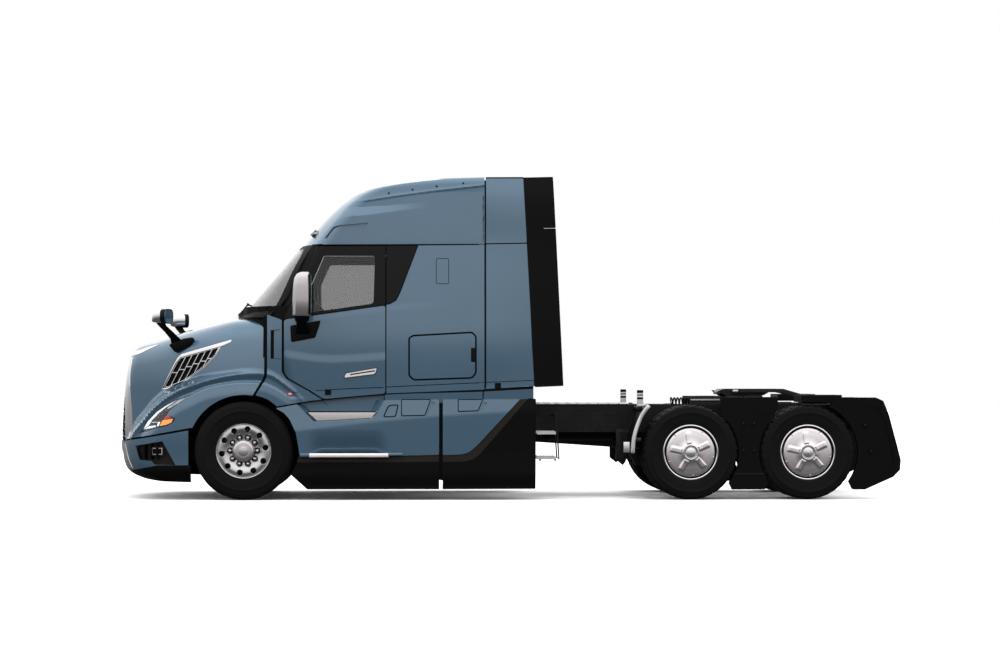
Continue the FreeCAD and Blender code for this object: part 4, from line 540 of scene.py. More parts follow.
def brick(name, low, high, material, bevel=0.004, segments=2):
    """A bevelled block between two corners."""
    outline = [(low[0], low[2]), (high[0], low[2]), (high[0], high[2]), (low[0], high[2])]
    piece = prism(outline, low[1], high[1], name=name, material=material)
    return bevelled(piece, bevel, segments) if bevel else piece


def side_brick(name, side, low, high, material, bevel=0.004, segments=2):
    """A bevelled block on one side of the truck. low and high are its corners on the right side."""
    y0, y1 = sorted((side * low[1], side * high[1]))
    return brick(name, (low[0], y0, low[2]), (high[0], y1, high[2]), material, bevel, segments)


def tube(name, route, radius, material, sides=12, smooth=6):
    """A round bar along a route. radius is one number or one for each point of the route."""
    route = np.array(route, float)
    reach = np.concatenate([[0], np.cumsum(np.linalg.norm(np.diff(route, axis=0), axis=1))])
    at = np.linspace(0, reach[-1], max(2, (len(route) - 1) * smooth + 1)) if smooth > 1 else reach
    path = np.stack([curve(list(zip(reach, route[:, i])))(at) for i in range(3)], 1)
    size = curve(list(zip(reach, np.broadcast_to(radius, len(route)))))(at)
    return swept(name, path, size, material, sides)


def swept(name, path, size, material, sides):
    """A round bar through the path's points, size is its radius at each."""
    turn = around(sides)
    ahead = np.gradient(path, axis=0)
    ahead /= np.linalg.norm(ahead, axis=1)[:, None]
    across = np.cross(ahead[0], (0.1, 0.2, 0.97))
    rings = []
    for point, direction, radius in zip(path, ahead, size):
        across = across - direction * np.dot(across, direction)
        across /= np.linalg.norm(across)
        other = np.cross(direction, across)
        rings.append(point + radius * (np.outer(np.cos(turn), across) + np.outer(np.sin(turn), other)))
    return outward(solid(name, np.concatenate(rings), capped_faces(len(rings), sides), material))


def turned(name, profile, centre, material, steps=64, axis="y", side=1):
    """A lathe: the profile lists (radius, place along the axis), and side turns it about."""
    turn = around(steps)
    points = []
    for radius, along in profile:
        a, b, column = np.cos(turn) * radius, np.sin(turn) * radius, np.full(steps, side * float(along))
        points.append(np.stack({"x": (column, a, b), "y": (a, column, b), "z": (a, b, column)}[axis], 1))
    points = np.concatenate(points) + np.array(centre, float)
    return outward(solid(name, points, ring_faces(len(profile), steps), material, local=centre))


def knob(name, profile, centre, material, steps=24, axis="y", side=1):
    """A lathe piece whose profile starts and ends on the axis."""
    ends = [(max(radius, 1e-4), along) for radius, along in profile]
    return turned(name, ends, centre, material, steps, axis, side)


print("mesh kit ready")

# %% [markdown]
# ## Skins
# `cast` walks along rays from inside a field to its surface. `skin` does that over a grid of rays and gives
# the surface a thickness. A cut mesh has thin triangles along its edges, and their shading would show, so
# `shaded` takes each corner's normal from the field itself wherever the face lies along the surface.

# %% Rays, skins and true normals
def cast(field, origins, directions, reach=3.0):
    low, high = np.zeros(len(origins)), np.full(len(origins), reach)
    for _ in range(24):
        middle = (low + high) / 2
        inside = field(origins + directions * middle[:, None]) < 0
        low, high = np.where(inside, middle, low), np.where(inside, high, middle)
    return origins + directions * low[:, None]


SLOPE_STEP = 0.002
FORWARD = (-1.0, 0.0, 0.0)


def slope_of(field, points):
    """The way out of the field at each point, one long."""
    rise = np.stack([field(points + shift) - field(points - shift) for shift in np.eye(3) * SLOPE_STEP], 1)
    return rise / np.maximum(np.linalg.norm(rise, axis=1), 1e-9)[:, None]


def grid_solid(name, outer, inner, material):
    """A closed shell from two grids of points with the same rows and columns."""
    rows, columns = outer.shape[:2]
    at = np.arange(rows * columns).reshape(rows, columns)
    quads = np.stack([at[:-1, :-1], at[1:, :-1], at[1:, 1:], at[:-1, 1:]], -1).reshape(-1, 4)
    back = quads[:, ::-1] + rows * columns
    rim = np.concatenate([at[:, 0], at[-1, 1:], at[-2::-1, -1], at[0, -2:0:-1]])
    wall = np.stack([rim, rim + rows * columns, np.roll(rim, -1) + rows * columns, np.roll(rim, -1)], 1)
    faces = np.concatenate([quads, back, wall])
    points = np.concatenate([outer.reshape(-1, 3), inner.reshape(-1, 3)])
    return outward(solid(name, points, faces, material))


def skin(name, field, origins, directions, thick, material, reach=3.0, sunk=0.0):
    """A shell where rays meet the field, sunk below it. origins are a grid, rows by columns by 3."""
    directions = np.broadcast_to(np.array(directions, float), origins.shape)
    flat = cast(field, origins.reshape(-1, 3), directions.reshape(-1, 3), reach)
    slope = slope_of(field, flat)
    outer, inner = ((flat - slope * depth).reshape(origins.shape) for depth in (sunk, sunk + thick))
    return grid_solid(name, outer, inner, material)


def under(surface, depth):
    """The surface moved in by depth."""
    return lambda x, z: surface(x, z) - depth


def shaded(piece, field):
    """Normals from the field where a face lies along it, and the face's own normal along the cuts."""
    limit = 0.75
    mesh = piece.data
    smoothed(mesh)
    slopes = slope_of(field, points_of(piece) + np.array(piece.location) - (AXLE_X, 0, 0))
    corner_point = np.empty(len(mesh.loops), np.int64)
    mesh.loops.foreach_get("vertex_index", corner_point)
    normals = np.empty(len(mesh.polygons) * 3, np.float64)
    mesh.polygons.foreach_get("normal", normals)
    sizes = np.empty(len(mesh.polygons), np.int64)
    mesh.polygons.foreach_get("loop_total", sizes)
    flat = np.repeat(normals.reshape(-1, 3), sizes, axis=0)
    along = slopes[corner_point]
    agree = np.sum(flat * along, 1)
    chosen = np.where((agree > limit)[:, None], along, np.where((agree < -limit)[:, None], -along, flat))
    mesh.normals_split_custom_set(chosen.tolist())
    return piece


def panel(name, outline, surface, thick, material, side=LEFT, cell=0.03, holes=()):
    """A pressed side panel: a grid trimmed to its outline and holes, then bent to y = surface(x, z)."""
    xs, zs = np.array(outline).T
    low, high = (xs.min() - 0.01, zs.min() - 0.01), (xs.max() + 0.01, zs.max() + 0.01)
    across = np.linspace(low[0], high[0], max(3, int((high[0] - low[0]) / cell)))
    upward = np.linspace(low[1], high[1], max(3, int((high[1] - low[1]) / cell)))
    x, z = np.meshgrid(across, upward, indexing="ij")
    outer = np.stack([x, np.zeros_like(x), z], -1)
    inner = outer + (0, 1.0, 0)
    piece = grid_solid(name, outer, inner, material)
    carve(piece, prism(outline, -0.5, 1.5), keep=True)
    if holes:
        carve(piece, *[prism(hole, -0.6, 1.6) for hole in holes])
    mesh = piece.data
    points = points_of(piece)
    place = surface(points[:, 0] - AXLE_X, points[:, 2])
    points[:, 1] = side * (place - np.clip(points[:, 1], 0, 1) * thick)
    mesh.vertices.foreach_set("co", points.ravel())
    if side == RIGHT:
        mesh.flip_normals()
    refinished(mesh, material)
    return shaded(piece, lambda p: side * p[:, 1] - surface(p[:, 0], p[:, 2]))


def place(piece, body, slot_name, *nodes):
    """Puts a piece on the body that moves it and hides the solids that it stands for. slot_name is not used.
    """
    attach(piece, body)
    if nodes:
        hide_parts(*nodes)
    print("%-28s %6d faces on %s" % (piece.name, len(piece.data.polygons), body))
    return piece

# %% [markdown]
# ## The hood
# A long-nose truck's hood is one moulding: a crowned top that rounds over wide shoulders into the sides, and
# two fenders that swell out over the wheels in two steps, a ridge and then a lip. Each of these is a field.
# `round_max` keeps what is inside both of two fields and rounds the edge between them, which is how the
# shoulder gets its radius.

# %% The field of the nose
NOSE_FRONT = curve([(0.18, -1.06), (0.21, -1.13), (0.241, -1.221), (0.279, -1.286), (0.344, -1.329),
                    (0.398, -1.351), (0.507, -1.373), (0.593, -1.384), (0.72, -1.387), (0.939, -1.375),
                    (1.157, -1.354), (1.353, -1.322), (1.528, -1.284), (1.60, -1.262), (1.75, -1.21)])
HOOD_TOP = curve([(-1.40, 1.40), (-1.30, 1.515), (-1.257, 1.570), (-1.225, 1.597), (-1.171, 1.635),
                  (-1.073, 1.673), (-0.965, 1.705), (-0.770, 1.771), (-0.532, 1.848), (-0.316, 1.910),
                  (-0.142, 1.957), (0.140, 1.995), (0.26, 2.008)])
BODY_HALF = curve([(-1.42, 0.50), (-1.30, 0.545), (-1.2, 0.615), (-1.0, 0.745), (-0.8, 0.85), (-0.6, 0.93),
                   (-0.3, 1.03), (0.0, 1.095), (0.26, 1.150)])
RIDGE_Z = curve([(-1.40, 0.30), (-1.26, 0.56), (-1.20, 0.70), (-1.081, 0.845), (-0.987, 0.955),
                 (-0.777, 1.119), (-0.462, 1.245), (-0.252, 1.300), (0.063, 1.340), (0.274, 1.322),
                 (0.432, 1.224), (0.591, 1.087), (0.675, 0.970)])
LIP_Z = curve([(-1.40, 0.20), (-1.16, 0.56), (-0.985, 0.80), (-0.88, 0.905), (-0.69, 1.05), (-0.564, 1.108),
               (-0.406, 1.182), (-0.144, 1.234), (-0.007, 1.245), (0.192, 1.234), (0.329, 1.182),
               (0.487, 1.082)])
FENDER_HALF, RIDGE_HALF = 1.195, 1.145


def nose_plan(p, half=FENDER_HALF, power=2.5):
    """The rounded front in plan: a superellipse whose front follows the profile at each height."""
    x, y, z = p.T
    back = -0.60
    deep = back - NOSE_FRONT(z)
    along = np.clip((back - x) / deep, 0, None)
    return ((along**power + np.abs(y / half) ** power) ** (1 / power) - 1) * deep


FENDER_SHELF = curve([(-1.0, 0.0), (0.0, 0.0), (0.5, 0.22), (0.8, 0.60), (1.0, 0.93), (1.12, 1.0),
                      (2.0, 1.0)])


def hood_side(p):
    """Half width of the hood: the body, a shelf out to the ridge, a tuck under the ridge, then the lip."""
    x, y, z = p.T
    upper = BODY_HALF(x) - 0.20 * np.clip(z - 1.20, 0, 0.6) ** 2
    ridge = np.maximum(np.minimum(RIDGE_HALF, upper + 0.30), upper + 0.012)
    shelf = 0.06 + 0.06 * ease(-x, 0.1, 1.0)
    out = FENDER_SHELF((RIDGE_Z(x) + shelf - z) / shelf)
    tuck = 0.020 * ease(RIDGE_Z(x) - z, 0.0, 0.08)
    lip = ease(LIP_Z(x) - z, -0.016, 0.020) * 0.6 + ease(LIP_Z(x) - z, 0.0, 0.14) * 0.4
    return upper + (ridge - upper) * out - tuck + (1.185 - ridge + tuck) * lip * ease(x, -1.25, -0.75)


def hood_field(p):
    x, y, z = p.T
    crown = HOOD_TOP(x) - 0.035 * (y / 0.6) ** 2 * ease(x, -1.4, -1.0)
    top = z - crown
    side = np.abs(y) - hood_side(p)
    body = round_max(top, side, 0.20)
    return round_max(body, nose_plan(p), 0.055)


def side_rays(x_low, x_high, columns, front_rows, centre_z, turn):
    """Rays out of a spine along the truck at the angles in turn. At its front end they fan forward."""
    spine = np.linspace(x_high, x_low, columns)
    lean = np.concatenate([np.zeros(columns), np.linspace(0, math.pi / 2, front_rows + 1)[1:]])
    spine = np.concatenate([spine, np.full(front_rows, x_low)])
    lean, turn = np.meshgrid(lean, turn, indexing="ij")
    along = -np.sin(lean)
    directions = np.stack([along, -np.cos(turn) * np.cos(lean), np.sin(turn) * np.cos(lean)], -1)
    origins = np.zeros_like(directions)
    origins[..., 0] = spine[:, None]
    origins[..., 2] = centre_z
    return origins, directions


print("half width at the ridge over the wheel:", float(hood_side(np.array([[0.0, 1.0, 1.25]]))[0]))

# %% [markdown]
# Rays leave a spine inside the engine bay, sweep over the hood from sill to sill and fan forward at the
# nose. The shell is then cut: the wheel arches, the line over the bumper, the seam at the cowl, and openings
# for the grille, the lamps and the side vents.

# %% Cut lines of the hood
ARCH_R = 0.589
HOOD_REAR = [(0.30, 2.2), (0.213, 2.2), (0.213, 1.319), (0.197, 1.277), (0.092, 1.097), (0.03, 0.98),
             (0.30, 0.5)]
HOOD_BOTTOM = [(-1.6, 0.612), (-1.30, 0.636), (-0.988, 0.684), (-0.560, 0.762), (-0.3, 0.78), (0.6, 0.8),
               (0.6, 0.0), (-1.6, 0.0)]
HOOD_REAR_PLAN = [(-0.140, 0.0), (-0.132, 0.3), (-0.113, 0.5), (-0.045, 0.7), (0.03, 0.85), (0.12, 0.96),
                  (0.215, 1.05), (0.40, 1.2)]
LAMP_OUTLINE = [(-1.16, 0.690), (-1.088, 0.735), (-1.041, 0.823), (-0.936, 0.929), (-0.832, 1.002),
                (-0.716, 1.055), (-0.548, 1.118), (-0.716, 0.995), (-0.779, 0.950), (-0.806, 0.900),
                (-0.716, 0.865), (-0.737, 0.823), (-0.800, 0.786), (-0.884, 0.765), (-0.989, 0.738)]
VENT_OUTLINE = [(-0.911, 1.155), (-0.764, 1.435), (-0.722, 1.509), (-0.680, 1.546), (-0.132, 1.700),
                (-0.142, 1.668), (-0.237, 1.626), (-0.300, 1.525), (-0.416, 1.405), (-0.626, 1.255),
                (-0.80, 1.18)]
GRILLE_OUTLINE = [(0.0, 1.545), (0.42, 1.538), (0.505, 1.512), (0.548, 1.455), (0.560, 1.38), (0.592, 0.90),
                  (0.598, 0.56), (0.0, 0.56)]


def both_ways(outline):
    return outline + [(-y, z) for y, z in outline[::-1] if y != 0.0]


def inset(outline, gap):
    """The outline moved in by gap, along the bisectors of its corners."""
    points = np.array(outline, float)
    area = np.sum(points[:, 0] * np.roll(points[:, 1], -1) - np.roll(points[:, 0], -1) * points[:, 1])
    ahead = np.roll(points, -1, 0) - points
    ahead /= np.linalg.norm(ahead, axis=1)[:, None]
    normal = np.stack([-ahead[:, 1], ahead[:, 0]], 1) * np.sign(area)
    before = np.roll(normal, 1, 0)
    corner = normal + before
    corner /= np.maximum(np.sum(corner * normal, 1), 0.35)[:, None]
    return [tuple(point) for point in points + corner * gap]


def arch_cutter(side):
    return turned("arch", rectangle(0.001, 0.55, ARCH_R, 1.4), (0, 0, HUB_Z), CHASSIS, 96,
                  side=side)


def rear_seam(gap):
    plan = [(x + gap, y) for x, y in HOOD_REAR_PLAN]
    return prism(plan + [(1.0, 1.2), (1.0, -1.2)] + [(x, -y) for x, y in plan[::-1] if y], 1.75, 2.3, "z")

# %% The hood
def hood():
    low = np.concatenate([np.linspace(-38, 20, 104), np.linspace(22, 90, 30)])
    turn = np.radians(np.concatenate([low, 180 - low[-2::-1]]))
    origins, directions = side_rays(-0.62, 0.26, 60, 56, 1.10, turn)
    piece = skin("hood_skin", hood_field, origins, directions, 0.016, PAINT)
    cutters = [prism(HOOD_REAR, *FULL_WIDTH), prism(HOOD_BOTTOM, *FULL_WIDTH), rear_seam(0.0),
               prism(both_ways(GRILLE_OUTLINE), -1.6, -1.05, "x"), arch_cutter(LEFT), arch_cutter(RIGHT)]
    for side in (LEFT, RIGHT):
        cutters.append(prism(LAMP_OUTLINE, side * 0.55, side * 1.4))
        cutters.append(prism(VENT_OUTLINE, side * 0.70, side * 1.4))
    carve(piece, *cutters)
    return shaded(piece, hood_field)


place(hood(), "hood", "paint", "hood")

# %% [markdown]
# ## The bumper and its black valance
# The bumper carries the nose's curve down and tucks it under. Below the paint a black valance of the same
# curve takes kerbs and snow. Each end of the bumper has a dark pocket with three ribs and a fog lamp.

# %% The bumper
POCKET = [(-1.156, 0.570), (-0.852, 0.623), (-0.714, 0.370), (-0.935, 0.375), (-0.967, 0.412),
          (-1.103, 0.423)]


def bumper_field(p):
    x, y, z = p.T
    under = 0.165 + 0.08 * ease(-x, 1.0, 1.3) - z
    side = np.abs(y) - (1.170 + 0.02 * ease(z, 0.35, 0.75) - 0.05 * ease(0.34 - z, 0.0, 0.16))
    lid = z - 0.95
    return np.maximum(round_max(round_max(nose_plan(p, 1.205, 2.6), side, 0.05), under, 0.05), lid)


def nose_rays():
    return side_rays(-0.80, -0.55, 12, 60, 0.52, np.linspace(math.radians(-75), math.radians(255), 150))


def bumper():
    piece = skin("bumper_skin", bumper_field, *nose_rays(), 0.012, PAINT)
    over = prism([(-1.6, 0.592), (-1.30, 0.616), (-0.988, 0.664), (-0.5, 0.748), (-0.3, 1.6), (-1.6, 1.6)],
                 *FULL_WIDTH)
    under = prism([(-1.6, 0.30), (-1.25, 0.30), (-0.9, 0.369), (-0.4, 0.369), (-0.4, 0.0), (-1.6, 0.0)],
                  *FULL_WIDTH)
    rear = prism(rectangle(-0.580, 0.0, -0.4, 1.0), *FULL_WIDTH)
    pockets = [prism(POCKET, side * 0.8, side * 1.4) for side in (LEFT, RIGHT)]
    intake = prism([(-0.50, 0.35), (0.50, 0.35), (0.56, 0.50), (-0.56, 0.50)], -1.6, -1.2, "x")
    carve(piece, over, under, rear, intake, *pockets)
    return shaded(piece, bumper_field)


place(bumper(), "chassis", "paint", "bumper")


def valance():
    piece = skin("bumper_valance_skin", lambda p: bumper_field(p) + 0.006, *nose_rays(), 0.012, BLACK)
    over = prism([(-1.6, 0.298), (-1.25, 0.298), (-0.9, 0.366), (-0.577, 0.366), (-0.577, 1.0), (-1.6, 1.0)],
                 *FULL_WIDTH)
    over_rear = prism([(-0.58, 0.366), (-0.521, 0.366), (-0.4, 0.366), (-0.4, 1.0), (-0.58, 1.0)],
                      *FULL_WIDTH)
    under = prism([(-1.6, 0.256), (-1.286, 0.256), (-1.221, 0.236), (-1.07, 0.216), (-0.853, 0.195),
                   (-0.50, 0.184), (-0.50, 0.0), (-1.6, 0.0)], *FULL_WIDTH)
    rear = prism(rectangle(-0.555, 0.0, -0.4, 1.0), *FULL_WIDTH)
    carve(piece, over, over_rear, under, rear)
    return shaded(piece, bumper_field)


place(valance(), "chassis", "black_plastic", "bumper_valance")


def pocket_insert(side):
    """The dark pocket: a floor behind the skin, three upright ribs and a fog lamp in a square bezel."""
    floor = skin_patch("pocket_floor", bumper_field, [(-1.18, 0.36), (-0.70, 0.63)], side, 0.055, 0.008,
                       DARK_TRIM)
    parts = [floor]
    for i in range(3):
        x = -1.075 + 0.075 * i
        parts.append(skin_patch("rib", bumper_field, [(x, 0.43), (x + 0.022, 0.60)], side, 0.010, 0.05,
                                BLACK))
    for (x0, z0, x1, z1), sunk, material in (((-0.990, 0.468, -0.846, 0.560), 0.030, DARK_TRIM),
                                             ((-0.978, 0.478, -0.858, 0.550), 0.026, SATIN),
                                             ((-0.968, 0.487, -0.868, 0.541), 0.024, GLOSS)):
        parts.append(skin_patch("fog_lamp", bumper_field, [(x0, z0), (x1, z1)], side, sunk, 0.020, material))
    return joined("bumper_pocket_%s" % ("left" if side < 0 else "right"), parts)


def skin_patch(name, field, corners, side, sunk, thick, material):
    """A piece of a field's side surface between two corners in x and z, sunk below the surface."""
    (x0, z0), (x1, z1) = corners
    x, z = np.meshgrid(np.linspace(x0, x1, 12), np.linspace(z0, z1, 12), indexing="ij")
    origins = np.stack([x, np.zeros_like(x), z], -1)
    return skin(name, field, origins, (0, side, 0), thick, material, 2.0, sunk)


for side, name in SIDES:
    place(pocket_insert(side), "chassis", "black_plastic")

# %% The bright middle of the bumper, round its intake
BRIGHT_EDGE = [(0.0, 0.588), (0.76, 0.588), (0.78, 0.50), (0.84, 0.33), (0.62, 0.315), (0.0, 0.31)]
INTAKE = [(-0.50, 0.35), (0.50, 0.35), (0.56, 0.50), (-0.56, 0.50)]


def bumper_trim():
    y, z = np.meshgrid(np.linspace(-0.88, 0.88, 80), np.linspace(0.29, 0.61, 18), indexing="ij")
    origins = np.stack([np.full_like(y, -0.75), y, z], -1)
    piece = skin("bumper_trim", bumper_field, origins, FORWARD, 0.012, SATIN, 1.5, -0.003)
    carve(piece, prism(both_ways(BRIGHT_EDGE), -1.7, -0.7, "x"), keep=True)
    carve(piece, prism(inset(INTAKE, 0.004), -1.8, -0.6, "x"))
    return shaded(piece, bumper_field)


place(bumper_trim(), "chassis", "aluminium_satin")

# %% [markdown]
# ## The cab's skin
# A cab is a welded box with pressed skins over it. The CAD solids are that box, and the skins here lie a few
# millimetres over them with a gap between one panel and the next, so that the seams are real gaps. One field
# describes the whole cab, and each panel is trimmed out of it.

# %% The field of the cab
SIDE_HALF = curve([(0.9, 1.184), (1.15, 1.192), (1.6, 1.200), (2.05, 1.180), (2.705, 1.136), (3.2, 1.10)])
FRONT_X = curve([(1.2, 0.02), (1.9, -0.13), (2.05, -0.001), (2.4, 0.302), (2.705, 0.566), (2.748, 0.604),
                 (2.867, 0.694), (2.983, 0.790), (3.09, 0.893), (3.186, 1.004), (3.266, 1.115), (3.32, 1.24),
                 (3.36, 1.46), (3.40, 1.80)])
FRONT_DEPTH = curve([(1.9, 0.47), (2.05, 0.465), (2.705, 0.24), (3.1, 0.26), (3.4, 0.30)])
PLAN_ROUND = curve([(-0.2, 0.0), (0.0, 0.0), (0.25, 0.022), (0.48, 0.083), (0.785, 0.38), (0.92, 0.72),
                    (1.0, 1.0), (1.08, 1.4)])
ROOF_TOP = curve([(0.5, 2.70), (0.8, 2.98), (1.0, 3.19), (1.11, 3.272), (1.216, 3.322), (1.430, 3.364),
                  (1.643, 3.391), (1.856, 3.409), (2.07, 3.424), (2.391, 3.436), (2.60, 3.441)])
BELT = curve([(0.3, 1.895), (0.424, 1.909), (1.498, 2.057), (2.068, 2.108), (2.7, 2.15)])


def cab_field(p):
    x, y, z = p.T
    half = SIDE_HALF(z)
    shoulder = 0.003 * ease(BELT(x) - z, -0.010, 0.075) * (1 - ease(x, 1.5, 2.4))
    side = np.abs(y) - half - shoulder
    front = FRONT_X(z) + FRONT_DEPTH(z) * PLAN_ROUND(np.abs(y) / half) - x
    return round_max(side, front * 0.8, 0.05)


LOW_CREASE = curve([(0.6, 2.70), (0.98, 2.967), (1.307, 3.016), (1.83, 3.083), (2.6, 3.15)])
HIGH_CREASE = curve([(0.9, 3.05), (1.009, 3.124), (1.327, 3.178), (1.644, 3.226), (2.068, 3.281),
                     (2.535, 3.335)])


def roof_field(p):
    """The side leans in above a crease that fades to the rear, and again above a second, finer one."""
    x, y, z = p.T
    above, over = z - LOW_CREASE(x), z - HIGH_CREASE(x)
    lean = 0.042 * (1 - ease(x, 1.1, 2.0)) * np.clip(above / (0.10 - 0.04 * ease(x, 1.0, 1.8)), 0, 1)
    lean = lean + 0.028 * np.clip((z - 2.71) / 0.55, 0, 1)
    lean = lean + 0.14 * np.clip(over, 0, None) - 0.004 * np.exp(-(over / 0.012) ** 2)
    side = np.abs(y) - (1.137 - lean * ease(x, 0.7, 1.1))
    top = z - (ROOF_TOP(x) - 0.008 * (y / 0.8) ** 2)
    front = FRONT_X(z) + FRONT_DEPTH(z) * PLAN_ROUND(np.abs(y) / 1.136) - x
    return round_max(round_max(side, top, 0.07), front * 0.75, 0.07)


def reach(field):
    """y of the field's side surface at each x and z."""
    def surface(x, z):
        origins = np.stack([x, np.zeros_like(x), z], 1)
        return cast(field, origins, np.broadcast_to((0.0, 1.0, 0.0), origins.shape), 2.0)[:, 1]
    return surface


cab_side, roof_side = reach(cab_field), reach(roof_field)
print("cab half width at the belt:", float(cab_side(np.array([1.2]), np.array([2.0]))[0]))

# %% [markdown]
# The side is divided as on the real cab: a cowl panel between hood and door, the door with its body-colour
# lower half and black window frame, a black quarter panel, the sleeper's side with its luggage door, and a
# sill strip below.

# %% Outlines of the side's panels
SILL = curve([(0.30, 0.975), (0.357, 0.983), (0.563, 1.020), (0.880, 1.062), (1.475, 1.116), (2.520, 1.153),
              (3.055, 1.185)])
SILL_WIDE = curve([(0.30, 0.008), (1.0, 0.010), (3.06, 0.023)])
THIN_LINE = curve([(0.51, 1.134), (0.91, 1.164), (1.475, 1.189), (2.54, 1.240), (3.06, 1.262)])
COWL_PANEL = [(0.248, 1.955), (0.248, 1.319), (0.232, 1.272), (0.124, 1.105), (0.20, 1.085), (0.27, 1.053),
              (0.330, 1.008), (0.350, 0.988), (0.563, 1.025), (0.690, 1.045), (0.825, 1.060), (0.692, 1.142),
              (0.450, 1.279), (0.402, 1.350), (0.401, 1.900)]
DOOR_LOW = [(0.424, 1.903), (0.426, 1.352), (0.462, 1.292), (0.703, 1.155), (0.842, 1.066), (1.491, 1.124),
            (1.491, 2.052), (0.96, 1.976)]
DOOR_HIGH = [(0.424, 1.913), (0.96, 1.986), (1.491, 2.062), (1.491, 2.683), (0.764, 2.679), (0.60, 2.300)]
SIDE_WINDOW = [(0.833, 2.580), (1.381, 2.581), (1.366, 2.074), (0.686, 1.973), (0.686, 2.247)]
QUARTER = [(1.503, 2.070), (1.540, 2.076), (1.600, 2.114), (1.643, 2.199), (1.829, 2.685), (1.503, 2.683)]
SLEEPER = [(1.503, 1.196), (2.536, 1.244), (2.536, 2.696), (1.840, 2.689), (1.652, 2.193), (1.609, 2.106),
           (1.543, 2.067), (1.503, 2.059)]
SILL_STRIP = [(1.503, 1.125), (2.536, 1.166), (2.536, 1.236), (1.503, 1.188)]
LUGGAGE = [(1.741, 1.709), (1.783, 1.735), (2.406, 1.770), (2.448, 1.728), (2.448, 1.340), (2.406, 1.287),
           (1.794, 1.266), (1.741, 1.312)]
LATCH_HOLE = rectangle(2.395, 1.456, 2.450, 1.604)
SMALL_PANEL = rectangle(2.025, 2.28, 2.163, 2.555)
SLOT = [(0.285, 1.790), (0.392, 1.801), (0.392, 1.487), (0.285, 1.490)]
SLOT_LINING = [(0.318, 1.493), (0.393, 1.491), (0.393, 1.797), (0.318, 1.789)]
HANDLE = [(1.052, 1.283), (1.074, 1.343), (1.410, 1.397), (1.390, 1.326)]
SKIN_T, CORNER = 0.006, 0.012


def along_line(line, low, high, below, above, steps=12):
    """A narrow outline that follows a line from low to high."""
    x = np.linspace(low, high, steps)
    return ([(u, float(line(u) + above(u))) for u in x] + [(u, float(line(u) - below(u))) for u in x[::-1]])


def line_hole(low, high):
    return along_line(THIN_LINE, low, high, lambda x: 0.0036, lambda x: 0.0036)


def flare(x, z):
    """Cowl panel surface: the door's surface carried forward, with the end of the wheel flare on it."""
    flat = SIDE_HALF(z) + 0.004 - 0.05 * np.clip((0.25 - x) / 0.15, 0, 1) ** 2
    ridge = 0.012 * np.clip((RIDGE_Z(x) + 0.06 - z) / 0.06, 0, 1) ** 2
    tuck = 0.013 * ease(RIDGE_Z(x) - z, 0.0, 0.05)
    lip = 0.016 * (0.6 * ease(LIP_Z(x) - z, -0.01, 0.015) + 0.4 * ease(LIP_Z(x) - z, 0.0, 0.10))
    return flat + (ridge - tuck + lip) * (1 - ease(x, 0.40, 0.70))


def slot_floor(x, z):
    """The lining behind the cowl panel's slot slopes inward to the front."""
    return flare(x, z) - 0.006 - 0.020 * (0.405 - x) / 0.09


def door_relief(x, z):
    """The door swells to a crease below its middle and is tucked in under it."""
    crease = curve([(0.4, 1.50), (0.9, 1.44), (1.5, 1.47)])(x)
    swell = 0.006 * ease(crease + 0.10 - z, 0.0, 0.10)
    return cab_side(x, z) + swell - 0.022 * np.clip(crease - z, 0, 0.30)


def rounded_outline(outline, radius):
    """Corners replaced by arcs, never longer than a third of their sides."""
    points = np.array(outline, float)
    found = []
    for before, corner, after in zip(np.roll(points, 1, 0), points, np.roll(points, -1, 0)):
        back, ahead = before - corner, after - corner
        cut = min(radius, np.linalg.norm(back) / 3, np.linalg.norm(ahead) / 3)
        first = corner + back / np.linalg.norm(back) * cut
        last = corner + ahead / np.linalg.norm(ahead) * cut
        for t in np.linspace(0, 1, 5):
            found.append(tuple(first * (1 - t) ** 2 + corner * 2 * t * (1 - t) + last * t * t))
    return found


def valance_side(x, z):
    return 1.195 + 0.05 * (z - 1.10)

